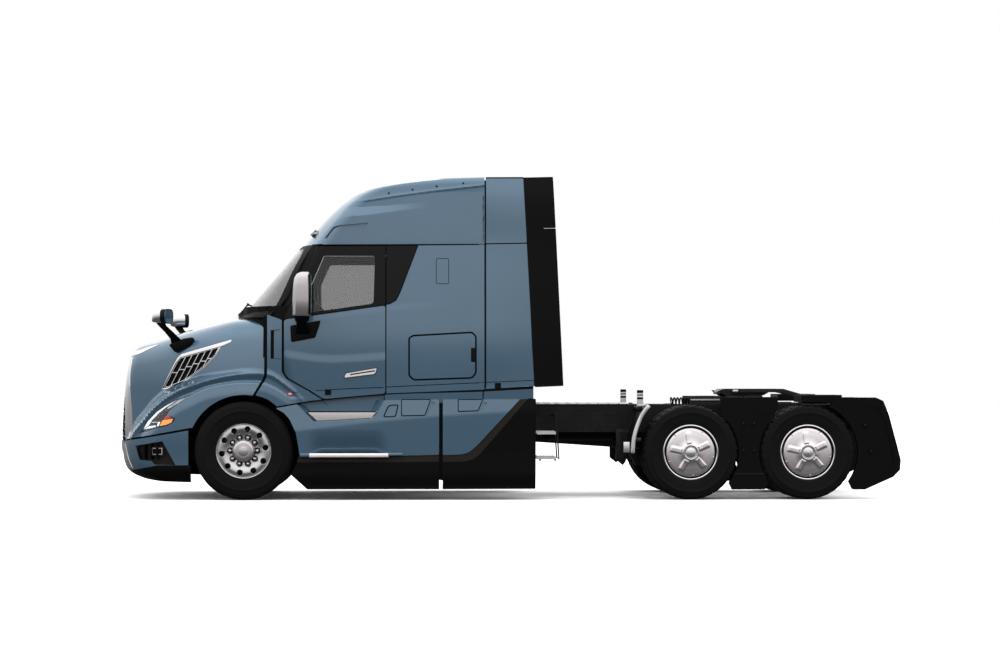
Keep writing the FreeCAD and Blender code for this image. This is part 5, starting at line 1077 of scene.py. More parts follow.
# %% Panels of the side
for side, name in SIDES:
    door, lid = name + "_door", name + "_baggage_door"
    small, luggage = rounded_outline(SMALL_PANEL, 0.025), rounded_outline(LUGGAGE, 0.05)
    # label, outline, surface, finish, body, slot, cell of its grid, holes
    for label, outline, surface, finish, body, slot_name, cell, holes in (
        ("cowl_panel_", rounded_outline(COWL_PANEL, CORNER), flare, PAINT, "chassis", "paint", 0.015,
         [SLOT, line_hole(0.51, 0.585)]),
        ("door_skin_", rounded_outline(DOOR_LOW, 0.03), door_relief, PAINT, door, "paint", 0.014,
         [HANDLE, line_hole(0.76, 1.475)]),
        ("door_frame_", DOOR_HIGH, under(cab_side, 0.002), GLOSS, door, "black_gloss", 0.03,
         [rounded_outline(SIDE_WINDOW, 0.035)]),
        ("quarter_panel_", QUARTER, under(cab_side, 0.001), GLOSS, "chassis", "black_gloss", 0.03, []),
        ("sleeper_side_", SLEEPER, cab_side, PAINT, "chassis", "paint", 0.014,
         [inset(luggage, -0.008), small]),
        ("sleeper_flush_panel_", inset(small, 0.006), cab_side, PAINT, "chassis", "paint", 0.03, []),
        ("sill_strip_", SILL_STRIP, under(cab_side, 0.003), PAINT, "chassis", "paint", 0.03, []),
        ("luggage_door_skin_", inset(luggage, 0.010), cab_side, PAINT, lid, "paint", 0.03, [LATCH_HOLE]),
    ):
        place(panel(label + name, outline, surface, SKIN_T, finish, side, cell, holes), body, slot_name)
    frame_bars = [(1.70, 1.225, 2.47, 1.300), (1.70, 1.225, 1.775, 1.66), (1.70, 1.600, 2.47, 1.675),
                  (2.40, 1.225, 2.47, 1.675)]
    bars = [slab(rectangle(x0, z0, x1, z1), 1.160, 0.010, "bar", SEAL, 0.0, side)
            for x0, z0, x1, z1 in frame_bars]
    place(joined("luggage_door_frame_" + name, bars), "chassis", "black_plastic")
    lining = panel("cowl_slot_lining_" + name, SLOT_LINING, slot_floor, 0.004, PAINT, side)
    place(lining, "chassis", "paint")
    for part, low_x, high_x in (("front", 1.487, 2.515), ("rear", 2.535, 3.055)):
        edge = along_line(SILL, low_x, high_x, lambda x: 0.0, lambda x: -SILL_WIDE(x) / 2)[:12]
        edge += [(high_x, 1.025), (low_x, 1.025)]
        place(panel("valance_%s_%s" % (part, name), edge, valance_side, SKIN_T, PAINT, side), "chassis",
              "paint")
    half_gap = lambda x: SILL_WIDE(x) / 2 + 0.004
    dark = panel("sill_line_" + name, along_line(SILL, 0.352, 3.055, half_gap, half_gap, 40),
                 under(cab_side, 0.008), 0.012, SEAL, side)
    place(dark, "chassis", "black_plastic")
    # A black strip down the seam behind the sleeper and up the roof's back edge: painted shade in the gap.
    seams = [rectangle(2.538, 1.18, 2.556, 2.705),
             rectangle(2.530, 2.700, 2.556, 3.385)]
    seal = joined("back_seal_" + name, [
        panel("seal", seams[0], under(cab_side, 0.010), 0.05, SEAL, side),
        panel("seal", seams[1], lambda x, z: roof_side(np.full_like(x, 2.53), z) - 0.010, 0.06, SEAL, side)])
    place(seal, "chassis", "black_plastic")

# %% [markdown]
# ## The roof
# The roof fairing is a single moulding from the windscreen's header to the back of the sleeper. Its side
# leans in above a crease and again above a second one. It is cast from the same kind of field as the hood.

# %% The roof
ROOF_DISH = [(0.853, 2.772), (0.937, 2.883), (0.980, 2.899), (1.307, 2.931), (1.222, 2.767), (0.862, 2.762)]


def roof():
    low = np.concatenate([np.linspace(-3, 7, 5), np.linspace(8, 38, 66), np.linspace(41, 90, 14)])
    turn = np.radians(np.concatenate([low, 180 - low[-2::-1]]))
    origins, directions = side_rays(1.25, 2.540, 46, 52, 2.72, turn)
    piece = skin("roof_skin", roof_field, origins, directions, 0.02, PAINT)
    carve(piece, prism([(0.3, 2.0), (3.0, 2.0), (3.0, 2.711), (1.497, 2.702), (0.70, 2.698), (0.3, 2.698)],
                       *FULL_WIDTH), prism(ROOF_DISH, 0.9, 1.4), prism(ROOF_DISH, -1.4, -0.9))
    return shaded(piece, roof_field)


place(roof(), "chassis", "paint", "roof_fairing")


def roof_back():
    """Closes the roof over the sleeper's back wall."""
    turn = np.linspace(0, math.pi, 61)
    origins = np.broadcast_to((2.53, 0, 2.72), (61, 3)).copy()
    ring = cast(roof_field, origins, np.stack([np.zeros(61), -np.cos(turn), np.sin(turn)], 1))
    return prism([(y, z) for x, y, z in ring], 2.520, 2.536, "x", "roof_back_wall", PAINT)


place(roof_back(), "chassis", "paint")

# %% [markdown]
# ## Windscreen, pillars and cowl
# The windscreen is a curved sheet of glass bonded into a black border. Both come from the cab's field: the
# border is the whole front of the cab in gloss black, and the glass is a thinner skin in its opening.

# %% The windscreen
def front_skin(name, outline, thick, material, sunk=0.0):
    """The part of the cab's front inside an outline in y and z."""
    y, z = np.meshgrid(np.linspace(-1.16, 1.16, 80), np.linspace(1.93, 2.72, 60), indexing="ij")
    origins = np.stack([np.full_like(y, 1.6), y * 0.97, z], -1)
    piece = skin(name, cab_field, origins, FORWARD, thick, material, 3.0, sunk)
    carve(piece, prism(outline, -0.6, 1.7, "x"), keep=True)
    return shaded(piece, cab_field)


SCREEN_EDGE = both_ways([(0.0, 2.035), (0.45, 2.03), (0.80, 2.005), (1.02, 1.985), (1.088, 2.03),
                         (0.975, 2.56), (0.925, 2.640), (0.85, 2.665), (0.45, 2.678), (0.0, 2.682)])
BORDER_EDGE = both_ways([(0.0, 1.955), (0.6, 1.95), (1.0, 1.92), (1.130, 1.93), (1.130, 2.06), (1.035, 2.69),
                         (0.0, 2.697)])


def border():
    piece = front_skin("windscreen_border", BORDER_EDGE, 0.012, BLACK)
    hole = rounded_outline(SCREEN_EDGE, 0.06)
    carve(piece, prism(hole, -0.7, 1.8, "x"))
    return shaded(piece, cab_field)


def screen():
    return front_skin("windscreen_pane", rounded_outline(inset(SCREEN_EDGE, 0.004), 0.06), 0.006, SCREEN,
                      0.003)


place(border(), "chassis", "black_gloss", "cab_front")
place(screen(), "chassis", "glass", "windscreen")

# %% [markdown]
# ## Side extenders
# Behind the sleeper, extenders carry the air over the gap to the trailer. The painted part is stiff and the
# black edge behind it is a flexible flap. Both widen a little to the rear.

# %% The extenders
EXT_FRONT = curve([(1.198, 1.188), (1.6, 1.197), (2.05, 1.179), (2.705, 1.134), (3.2, 1.122), (3.42, 1.09)])
EXT_REAR = curve([(1.198, 1.222), (1.6, 1.226), (2.05, 1.212), (2.705, 1.178), (3.2, 1.157), (3.42, 1.118)])
EXT_REAR_X = curve([(1.198, 3.061), (1.6, 3.040), (2.05, 3.020), (2.705, 2.986), (3.2, 2.963), (3.42, 2.954)])


def extender_side(x, z):
    t = np.clip((x - 2.555) / (EXT_REAR_X(z) - 2.555), 0, 1)
    return EXT_FRONT(z) + (EXT_REAR(z) - EXT_FRONT(z)) * t


EXTENDER_LOW = [(2.557, 1.172), (3.062, 1.201), (3.018, 2.111), (2.986, 2.708), (2.557, 2.702)]
EXTENDER_HIGH = [(2.557, 2.714), (2.986, 2.720), (2.954, 3.404), (2.557, 3.405)]
FLAP_LOW = [(3.069, 1.190), (3.370, 1.203), (3.293, 2.8695), (2.978, 2.8695), (2.986, 2.705), (3.020, 2.05),
            (3.040, 1.60)]
FLAP_HIGH = [(2.978, 2.8725), (3.292, 2.8725), (3.266, 3.421), (2.950, 3.414), (2.960, 3.20)]


def flap_side(x, z):
    return EXT_REAR(z) + 0.004 + 0.03 * (x - EXT_REAR_X(z))


for side, name in SIDES:
    for part, outline, hole in (("low", EXTENDER_LOW, [line_hole(2.50, 3.10)]), ("high", EXTENDER_HIGH, [])):
        piece = panel("extender_%s_%s" % (part, name), rounded_outline(outline, CORNER), extender_side,
                      SKIN_T, PAINT, side, holes=hole)
        place(piece, "chassis", "paint")
    for part, outline in (("low", FLAP_LOW), ("high", FLAP_HIGH)):
        piece = panel("flap_%s_%s" % (part, name), rounded_outline(outline, CORNER), flap_side, SKIN_T, BLACK,
                      side)
        place(piece, "chassis", "black_plastic", "extender_flaps")

# %% [markdown]
# ## Tyres
# A truck tyre is a lathe form: beads, a bulging sidewall with a scuff rib, a shoulder and a tread. The tread
# has four grooves round it and small slots across its ribs. The slots are made by moving rows of the lathe
# grid inward, so the whole tyre stays one closed mesh with few faces.

# %% A tyre
def tyre(name, centre, radius, width, steer):
    """steer tyres have straight ribs, drive tyres have blocks across the shoulders."""
    steps = 144
    half, bead = width / 2, 0.288
    side = [(bead, 0.42), (bead + 0.008, 0.455), (0.34, 0.485), (0.372, 0.5), (0.405, 0.502), (0.412, 0.515),
            (0.424, 0.515), (0.430, 0.498), (0.455, 0.485), (0.478, 0.462), (radius - 0.016, 0.435)]
    across = [(r + (radius - 0.5 if r > 0.45 and r < radius - 0.02 else 0) * 0.5, -2 * half * w)
              for r, w in side]
    tread = half * 0.80
    grooves = (-0.56, -0.19, 0.19, 0.56)
    marks = [(radius - 0.005, -tread)]
    for g in grooves:
        wide = 0.035 if steer else 0.045
        at = g * tread
        marks += [(radius, at - tread * wide - 0.0015), (radius - 0.014, at - tread * wide),
                  (radius - 0.014, at + tread * wide), (radius, at + tread * wide + 0.0015)]
    marks.append((radius - 0.005, tread))
    bore = [(bead, 0.35 * width), (bead, -0.35 * width)]
    profile = np.array(across + marks + [(r, -w) for r, w in across[::-1]] + bore)
    turn = around(steps)
    r = np.repeat(profile[:, 0][:, None], steps, 1)
    w = np.repeat(profile[:, 1][:, None], steps, 1)
    slot = (np.arange(steps) % 4 == 0)
    edge = (np.abs(profile[:, 1]) > tread * 0.6) & (profile[:, 0] > radius - 0.02)
    if not steer:
        r[np.ix_(edge, slot)] -= 0.011
    points = np.stack([r * np.cos(turn), w, r * np.sin(turn)], -1).reshape(-1, 3) + centre
    return outward(solid(name, points, ring_faces(len(profile), steps), RUBBER, sharp=28, local=centre))


for side, name in SIDES:
    piece = tyre("front_tyre_dressed_" + name, (0, side * FRONT_HUB_Y, HUB_Z), 0.519, 0.288, True)
    place(piece, name + "_front_wheel", "tyre", "front_tyre_" + name)
    for i, x in enumerate(DRIVE_X):
        pair = [tyre("tyre", (x, side * (abs(DRIVE_HUB_Y) - offset), DRIVE_HUB_Z), 0.499, 0.270, False)
                for offset in (0.0, 0.345)]
        piece = joined("drive_tyres_dressed_%d_%s" % (i + 1, name), pair)
        place(piece, "%s_drive_wheels_%d" % (name, i + 1), "tyre", "drive_tyres_%d_%s" % (i + 1, name))

# %% [markdown]
# ## Wheels
# The front wheel is a forged aluminium disc: a deep rim, ten round hand holes, ten nuts with bright caps and
# a stepped hub cap that stands out from the disc. It is polished on a lathe, which the finish shows as fine
# rings.

# %% The front wheel
def nut(name, centre, radius, height, side, material):
    """A tall hexagonal nut with a domed cap."""
    flats = [(radius, 0), (radius, height * 0.62), (radius * 0.86, height * 0.8),
             (radius * 0.55, height * 0.97), (0.0005, height)]
    return turned(name, [(0.0005, 0)] + flats, centre, material, 12, side=side)


def round_pattern(count, radius, x, z, phase=0.0):
    for i in range(count):
        a = phase + i * 2 * math.pi / count
        yield x + radius * math.cos(a), z + radius * math.sin(a)


def front_wheel(side, name):
    y = side * FRONT_HUB_Y
    centre = (0, y, HUB_Z)
    out = 0.118
    disc = [(0.298, out), (0.2985, out - 0.010), (0.2885, out - 0.018), (0.2865, -0.115), (0.298, -0.118),
            (0.298, -0.126), (0.2775, -0.120), (0.2745, out - 0.055), (0.268, out - 0.038),
            (0.250, out - 0.030), (0.205, out - 0.030), (0.185, out - 0.040), (0.150, out - 0.044),
            (0.105, out - 0.044), (0.105, out - 0.022), (0.150, out - 0.022), (0.188, out - 0.018),
            (0.208, out - 0.006), (0.250, out - 0.006), (0.272, out - 0.012), (0.2835, out + 0.002),
            (0.290, out + 0.006)]
    wheel = turned("disc", disc, centre, TURNED, 120, side=side)
    holes = [turned("hole", rectangle(0.0005, 0.05, 0.031, 0.16), (x, y, z), SEAL, 28,
                    side=side) for x, z in round_pattern(10, 0.2315, 0, HUB_Z, math.radians(8))]
    carve(wheel, *holes)
    bevelled(wheel, 0.003, 2, 50)
    cap = turned("hub_cap", [(0.0005, 0.060), (0.104, 0.060), (0.104, 0.118), (0.118, 0.120), (0.120, 0.128),
                             (0.116, 0.136), (0.108, 0.158), (0.098, 0.166), (0.080, 0.168), (0.076, 0.176),
                             (0.052, 0.178), (0.048, 0.190), (0.030, 0.194), (0.0005, 0.195)], centre,
                 HOUSING, 64, side=side)
    nuts = [nut("nut", (x, y + side * (out - 0.024), z), 0.0205, 0.052, side, CHROME)
            for x, z in round_pattern(10, 0.1425, 0, HUB_Z)]
    seats = [turned("seat", rectangle(0.018, 0, 0.034, 0.004), (x, y + side * (out - 0.023), z),
                    SEAL, 20, side=side) for x, z in round_pattern(10, 0.1425, 0, HUB_Z)]
    drum = turned("drum", [(0.0005, 0.05), (0.235, 0.05), (0.25, 0.03), (0.25, -0.08), (0.0005, -0.08)],
                  centre, CAST, 48, side=side)
    return joined("front_wheel_dressed_" + name, [wheel, cap, *nuts, *seats, drum])


for side, name in SIDES:
    place(front_wheel(side, name), name + "_front_wheel", "aluminium", "front_wheel_" + name)

# %% [markdown]
# ## Drive wheels
# Each pair of drive wheels wears an aerodynamic cover. It is a spun disc with five fan blades embossed in
# it, and a chrome ring round a grey cap in the middle. The blades are a height over the disc, worked out for
# each point of a polar grid: the distance to a blade's middle line against its width there.

# %% The drive wheels
def blade_height(radius, angle):
    """0 on the disc, up to 1 on a blade: a straight band, steep on one edge and soft on the other."""
    pitch = 2 * math.pi / 5
    off = ((angle + pitch / 2) % pitch - pitch / 2) * radius
    wide = ease(off, -0.036, -0.010) * (1 - ease(off, 0.026, 0.036))
    return wide * ease(radius, 0.088, 0.104) * (1 - ease(radius, 0.205, 0.222))


def cover(side, x, y):
    radii = np.concatenate([[0.062, 0.070, 0.080], np.linspace(0.088, 0.228, 22),
                            [0.240, 0.250, 0.256, 0.259, 0.259]])
    base = curve([(0.06, 0.150), (0.08, 0.146), (0.11, 0.134), (0.20, 0.121), (0.25, 0.112), (0.256, 0.109),
                  (0.259, 0.103)])
    steps = 180
    r, a = np.meshgrid(radii, around(steps), indexing="ij")
    height = base(r) + 0.010 * blade_height(r, a - math.radians(24))
    height[-1] = 0.080
    front = np.stack([r * np.cos(a), side * height, r * np.sin(a)], -1)
    back = np.stack([r * np.cos(a), side * np.minimum(base(r) - 0.006, 0.096), r * np.sin(a)], -1)
    back[-1, :, 1] = side * 0.078
    points = np.concatenate([front, back[::-1]]).reshape(-1, 3) + (x, y, DRIVE_HUB_Z)
    faces = ring_faces(2 * len(radii), steps)
    return outward(solid("cover", points, faces, COVER, sharp=50, local=(x, y, DRIVE_HUB_Z)))


def drive_wheel(side, name, index, x):
    y = side * abs(DRIVE_HUB_Y)
    centre = (x, y, DRIVE_HUB_Z)
    out = 0.112
    rim_outer = turned("rim", [(0.298, out), (0.2985, out - 0.010), (0.2885, out - 0.018), (0.2865, -0.115),
            (0.298, -0.118), (0.298, -0.126), (0.2775, -0.120), (0.2765, out - 0.050), (0.281, out - 0.018),
            (0.284, out - 0.002), (0.291, out + 0.004)], centre, TURNED, 96, side=side)
    gutter = turned("gutter", [(0.2765, 0.060), (0.2765, 0.084), (0.250, 0.084), (0.250, 0.060)], centre,
                    SEAL, 64, side=side)
    lip = turned("lip", [(0.2765, 0.075), (0.2765, out + 0.006), (0.284, out + 0.010), (0.297, out + 0.006),
                         (0.298, out - 0.004), (0.290, 0.085)], centre, CHROME, 96, side=side)
    inner = turned("rim", [(0.298, 0.112), (0.298, 0.10), (0.2885, 0.094), (0.2865, -0.115), (0.298, -0.118),
                           (0.298, -0.126), (0.2775, -0.120), (0.2765, 0.104), (0.290, 0.116)],
                   (x, side * (abs(DRIVE_HUB_Y) - 0.345), DRIVE_HUB_Z), SATIN, 64, side=side)
    web = turned("web", rectangle(0.0005, -0.140, 0.276, -0.165), centre, CAST, 48,
                 side=side)
    ring = turned("ring", [(0.080, 0.138), (0.080, 0.158), (0.074, 0.167), (0.066, 0.166), (0.061, 0.156),
                           (0.061, 0.138)], centre, CHROME, 64, side=side)
    cap = turned("cap", [(0.0005, 0.138), (0.061, 0.138), (0.061, 0.150), (0.050, 0.157), (0.020, 0.160),
                         (0.0005, 0.163)], centre, SATIN, 48, side=side)
    nuts = [nut("nut", (px, y + side * 0.104, pz), 0.011, 0.012, side, CHROME)
            for px, pz in round_pattern(5, 0.244, x, DRIVE_HUB_Z, math.radians(60))]
    return joined("drive_wheel_dressed_%d_%s" % (index, name),
                  [cover(side, x, y), rim_outer, lip, gutter, inner, web, ring, cap, *nuts])


for side, name in SIDES:
    for i, x in enumerate(DRIVE_X):
        piece = drive_wheel(side, name, i + 1, x)
        place(piece, "%s_drive_wheels_%d" % (name, i + 1), "aluminium", "drive_wheel_%d_%s" % (i + 1, name))

# %% [markdown]
# ## Skirt fairings and steps
# Between the wheels, fairings hide the tanks and boxes. The upper part is paint and the lower part is black,
# with a bevelled strip where they meet. A deep pocket holds the upper step, and a slim bar is the lower one.
# A gap parts the side into a front and a rear fairing.

# %% The fairings' surface and outlines
CREASE = curve([(0.571, 0.731), (1.434, 0.829), (2.009, 0.881), (2.748, 0.926), (3.08, 0.94)])


def soft_ramp(t, soft):
    """0 below zero and t above it, with the corner between them rounded over soft on each side."""
    return np.where(t < -soft, 0.0, np.where(t > soft, t, (t + soft) ** 2 / (4 * soft)))


def skirt_side(x, z):
    """Leans in above the crease and a little below it, tucks in at the ground, dished over the step."""
    over = z - CREASE(x)
    lean = 0.085 * soft_ramp(over, 0.022) + 0.035 * soft_ramp(np.minimum(-over, 0.42), 0.022)
    tuck = 0.020 * ease(0.285 - z, 0.0, 0.17)
    dish = 0.058 * ease(x, 0.66, 0.84) * (1 - ease(x, 1.36, 1.54)) * ease(z, 0.445, 0.480)
    dish = dish * np.clip((0.745 - z) / 0.26, 0, 1) ** 1.6
    return 1.234 - lean - tuck - dish - 0.03 * ease(0.56 - x, 0.0, 0.3)


ARCH_REAR = [(0.342, 0.966), (0.372, 0.950), (0.432, 0.915), (0.489, 0.847), (0.553, 0.709), (0.579, 0.560),
             (0.583, 0.466)]
BLUE_FRONT = ([(0.352, 0.972), (0.563, 1.009), (0.580, 0.995), (0.745, 0.822), (1.335, 0.850), (1.388, 0.880),
               (1.478, 1.052), (2.058, 1.060), (2.058, 0.478), (1.668, 0.469), (0.592, 0.463)]
              + ARCH_REAR[::-1][1:])
BLUE_REAR = [(2.098, 1.060), (2.912, 1.062), (2.660, 0.792), (2.456, 0.572), (2.378, 0.508), (2.306, 0.483),
             (2.193, 0.477), (2.098, 0.476)]
BEVEL_FRONT = [(0.578, 0.461), (1.668, 0.467), (2.058, 0.476), (2.058, 0.405), (1.668, 0.400), (0.565, 0.400)]
BEVEL_REAR = [(2.098, 0.474), (2.193, 0.475), (2.307, 0.480), (2.381, 0.505), (2.460, 0.569), (2.665, 0.790),
              (2.917, 1.062), (2.992, 1.066), (2.488, 0.480), (2.420, 0.430), (2.315, 0.405), (2.098, 0.403)]
BLACK_FRONT = [(0.562, 0.398), (1.668, 0.398), (2.060, 0.403), (2.060, 0.115), (0.671, 0.115), (0.500, 0.268),
               (0.540, 0.35)]
BLACK_REAR = [(2.096, 0.401), (2.316, 0.403), (2.422, 0.427), (2.492, 0.478), (2.996, 1.066), (3.030, 1.074),
              (3.080, 1.066), (3.078, 0.265), (3.076, 0.117), (2.096, 0.115)]
POCKET_EDGE = [(0.572, 1.003), (0.745, 0.822), (1.335, 0.850), (1.388, 0.880), (1.478, 1.052)]
POCKET_FLOOR = [(0.640, 1.000), (0.745, 0.900), (1.290, 0.905), (1.330, 0.935), (1.395, 1.052)]
POCKET_BACK = [(0.600, 0.885), (1.480, 0.885), (1.480, 1.112), (0.880, 1.058), (0.600, 1.020)]
TOE_SLOT = [(1.464, 0.873), (1.516, 0.988), (1.545, 1.006), (1.636, 1.010), (1.604, 0.880), (1.570, 0.873)]
TOE_HOLDS = [[(1.657, 1.100), (1.977, 1.100), (1.977, 1.036), (2.020, 1.028), (1.927, 0.886), (1.657, 0.877)],
             [(2.254, 1.100), (2.526, 1.100), (2.526, 1.034), (2.570, 1.026), (2.505, 0.937), (2.254, 0.925)]]
TOE_COVERS = [[(1.665, 1.058), (1.965, 1.058), (1.908, 0.898), (1.665, 0.892)],
              [(2.262, 1.058), (2.514, 1.058), (2.468, 0.945), (2.262, 0.937)]]
BACKING_FRONT = [(0.572, 0.34), (2.050, 0.34), (2.050, 0.52), (0.594, 0.50)]
BACKING_REAR = [(2.104, 0.34), (2.36, 0.34), (2.47, 0.40), (3.03, 1.05), (2.87, 1.05), (2.39, 0.56),
                (2.104, 0.52)]
SKIRT_THICK = 0.028


STEP_BRIGHT = polished_metal("step_aluminium", (0.98, 0.92, 0.92), 0.45, 0.1)


def recess(name, outline, depth, material, side):
    """A closed tray behind an opening: its walls and its floor."""
    inner = inset(outline, 0.004)
    tray = panel(name, outline, under(skirt_side, 0.020), depth, material, side, cell=0.06)
    hollow = panel("hollow", inner, under(skirt_side, -0.05), depth + 0.024, material, side, cell=0.06)
    return carve(tray, hollow)


def funnel(name, edge, floor, y, side, material):
    """Walls that slope from an opening's edge in to a floor's edge."""
    outer = []
    for (x, z), (u, v) in zip(edge, floor):
        rim = float(skirt_side(np.array([x]), np.array([z]))[0]) - 0.008
        outer.append([(x, side * rim, z), (u, side * y, v)])
    outer = np.array(outer)
    middle = np.array((1.03, 0, 1.0))
    return grid_solid(name, outer, middle + (outer - middle) * (1.03, 1, 1.06), material)


def tread_plate(name, outline, y_out, y_in, z, side):
    """A step tread: a bright plate with raised dashes."""
    thick = 0.012
    plate = side_brick(name, side, (outline[0], y_in, z), (outline[1], y_out, z + thick), SATIN, 0.003)
    dashes = []
    for i in range(int((outline[1] - outline[0]) / 0.045)):
        for j in range(max(1, int((y_out - y_in) / 0.05))):
            x = outline[0] + 0.025 + i * 0.045
            y = side * (y_in + 0.025 + j * 0.05)
            turn = 0.012 if (i + j) % 2 else -0.012
            corners = [(x - 0.012, y - turn - 0.003), (x + 0.012, y + turn - 0.003),
                       (x + 0.012, y + turn + 0.003), (x - 0.012, y - turn + 0.003)]
            dashes.append(prism(corners, z + thick - 0.001, z + thick + 0.003, "z", "dash", SATIN))
    return joined(name, [plate, *dashes])

# %% The fairings
for side, name in SIDES:
    toes = [rounded_outline(hole, CORNER) for hole in TOE_HOLDS]
    slot = rounded_outline(TOE_SLOT, 0.03)
    # label, outline, surface, finish, slot, solids it stands for, cell of its grid, holes
    for label, outline, surface, finish, slot_name, nodes, cell, holes in (
        ("fairing_front_", rounded_outline(BLUE_FRONT, 0.02), skirt_side, PAINT, "paint",
         ["painted_fairings"], 0.014, [slot, toes[0]]),
        ("fairing_rear_", rounded_outline(BLUE_REAR, CORNER), skirt_side, PAINT, "paint", [],
         0.014, [toes[1]]),
        ("bevel_strip_front_", BEVEL_FRONT, under(skirt_side, 0.006), DARK_TRIM, "black_plastic",
         [], 0.03, []),
        ("bevel_strip_rear_", BEVEL_REAR, under(skirt_side, 0.006), DARK_TRIM, "black_plastic",
         [], 0.03, []),
        ("skirt_front_", rounded_outline(BLACK_FRONT, CORNER), skirt_side, BLACK, "black_plastic",
         ["black_fairings"], 0.03, []),
        ("skirt_rear_", rounded_outline(BLACK_REAR, CORNER), skirt_side, BLACK, "black_plastic",
         ["black_fairings"], 0.03, []),
    ):
        piece = panel(label + name, outline, surface, SKIRT_THICK, finish, side, cell, holes)
        place(piece, "chassis", slot_name, *nodes)
    low_toes = [[(x, min(z, 1.058)) for x, z in toe] for toe in toes]
    trays = [recess("tray", slot, 0.05, SEAL, side),
             *[recess("tray", toe, 0.03, PAINT, side) for toe in low_toes],
             funnel("pocket_wall", POCKET_EDGE, POCKET_FLOOR, 1.13, side, PAINT),
             slab(POCKET_BACK, 1.132, 0.012, "pocket_back", PAINT, 0.0, side),
             slab([(0.815, 1.052), (0.820, 1.054), (0.884, 1.004), (0.879, 1.002)], 1.134, 0.004,
                  "pocket_seam", SEAL, 0.0, side),
             panel("slot_lining", inset(slot, 0.012), under(skirt_side, 0.012), 0.006, PAINT, side)]
    for cover in TOE_COVERS:
        shape = rounded_outline(cover, 0.016)
        # Under each cover lies a black sheet 7 mm wider than it, which shows round its edge: painted shade in
        # the gap round the cover.
        trays.append(panel("seam", inset(shape, -0.007), under(skirt_side, 0.008), 0.008, SEAL, side))
        trays.append(panel("cover", inset(shape, 0.002), skirt_side, 0.010, PAINT, side))
    place(joined("step_pockets_" + name, trays), "chassis", "paint")
    for part, outline in (("front", BACKING_FRONT), ("rear", BACKING_REAR)):
        behind = panel("fairing_backing_%s_%s" % (part, name), outline, under(skirt_side, 0.036), 0.006,
                       SEAL, side)
        place(behind, "chassis", "black_plastic")
    gap_plate = slab(rectangle(2.045, 0.212, 2.120, 1.070), 1.186, 0.012,
                     "gap_plate_" + name, BLACK, 0.0, side)
    place(gap_plate, "chassis", "black_plastic")
    upper = tread_plate("upper_step_" + name, (0.745, 1.345), 1.196, 1.06, 0.890, side)
    place(upper, "chassis", "aluminium_satin")
    apron = rounded_outline([(0.652, 0.936), (0.772, 0.828), (1.352, 0.858), (1.414, 0.936)], 0.014)
    edge = joined("upper_step_edge_" + name, [slab(apron, 1.210, 0.014, "rim", CHROME, 0.003, side),
            slab(inset(apron, 0.010), 1.213, 0.006, "face", STEP_BRIGHT, 0.002, side)])
    place(edge, "chassis", "aluminium_satin")
    ends = slab([(0.592, 0.455), (1.684, 0.470), (1.667, 0.500), (0.598, 0.496)], 1.244, 0.05, "ends", PAINT,
                0.008, side)
    bar = slab([(0.690, 0.453), (1.527, 0.453), (1.523, 0.496), (0.696, 0.496)], 1.262, 0.06, "bar",
               STEP_BRIGHT, 0.006, side)
    lower = joined("lower_step_" + name, [bar, ends])
    place(lower, "chassis", "aluminium_satin")

# %% [markdown]
# ## The grille
# The grille fills the nose between two chrome side bars. Its mesh is pressed sheet: rows of six-sided cells
# with thin bright faces and deep black walls. Each cell is made flat in y and z, and its points are then
# carried to the nose.

# %% Points and ribbons that lie on a field
def on_field(field, points):
    """Moves points to the field's surface, along its slope."""
    for _ in range(8):
        points = points - slope_of(field, points) * field(points)[:, None]
    return points


def ribbon(name, field, route, half, rise, material):
    """A strip laid on a field along a route and crowned across. half is its half width at each point."""
    thick, across, smooth, crown = 0.010, 7, 8, 0.5
    route = np.array(route, float)
    reach_along = np.concatenate([[0], np.cumsum(np.linalg.norm(np.diff(route, axis=0), axis=1))])
    at = np.linspace(0, reach_along[-1], (len(route) - 1) * smooth + 1)
    path = on_field(field, np.stack([curve(list(zip(reach_along, route[:, i])))(at) for i in range(3)], 1))
    width = curve(list(zip(reach_along, np.broadcast_to(half, len(route)))))(at)
    normal = slope_of(field, path)
    sideways = np.cross(np.gradient(path, axis=0), normal)
    sideways /= np.linalg.norm(sideways, axis=1)[:, None]
    step = np.linspace(-1, 1, across)
    flat = path[:, None] + sideways[:, None] * (step[None, :, None] * width[:, None, None])
    lie = on_field(field, flat.reshape(-1, 3))
    lift = slope_of(field, lie)
    height = (rise * (1 - crown * np.abs(np.tile(step, len(path))) ** 2.5))[:, None]
    outer = (lie + lift * height).reshape(flat.shape)
    inner = (lie + lift * (height - thick)).reshape(flat.shape)
    return grid_solid(name, outer, inner, material)


def nose_x(y, z, sunk=0.0):
    """x of the nose at each y and z."""
    origins = np.stack([np.full(len(y), -0.75), y, z], 1)
    flat = cast(hood_field, origins, np.broadcast_to(FORWARD, origins.shape), 1.5)
    return flat - slope_of(hood_field, flat) * sunk

# %% The grille's mesh and frame
CELL_W, CELL_H = 0.066, 0.052
CELL_WALL = 0.022


def inside(outline, point):
    """Whether a point lies in a closed outline, by counting the edges to one side of it."""
    ends = np.array(outline, float)
    starts = np.roll(ends, 1, 0)
    crosses = (ends[:, 1] > point[1]) != (starts[:, 1] > point[1])
    with np.errstate(divide="ignore", invalid="ignore"):
        run = ends - starts
        at = starts[:, 0] + (point[1] - starts[:, 1]) / run[:, 1] * run[:, 0]
    return int(np.sum(crosses & (at > point[0]))) % 2 == 1


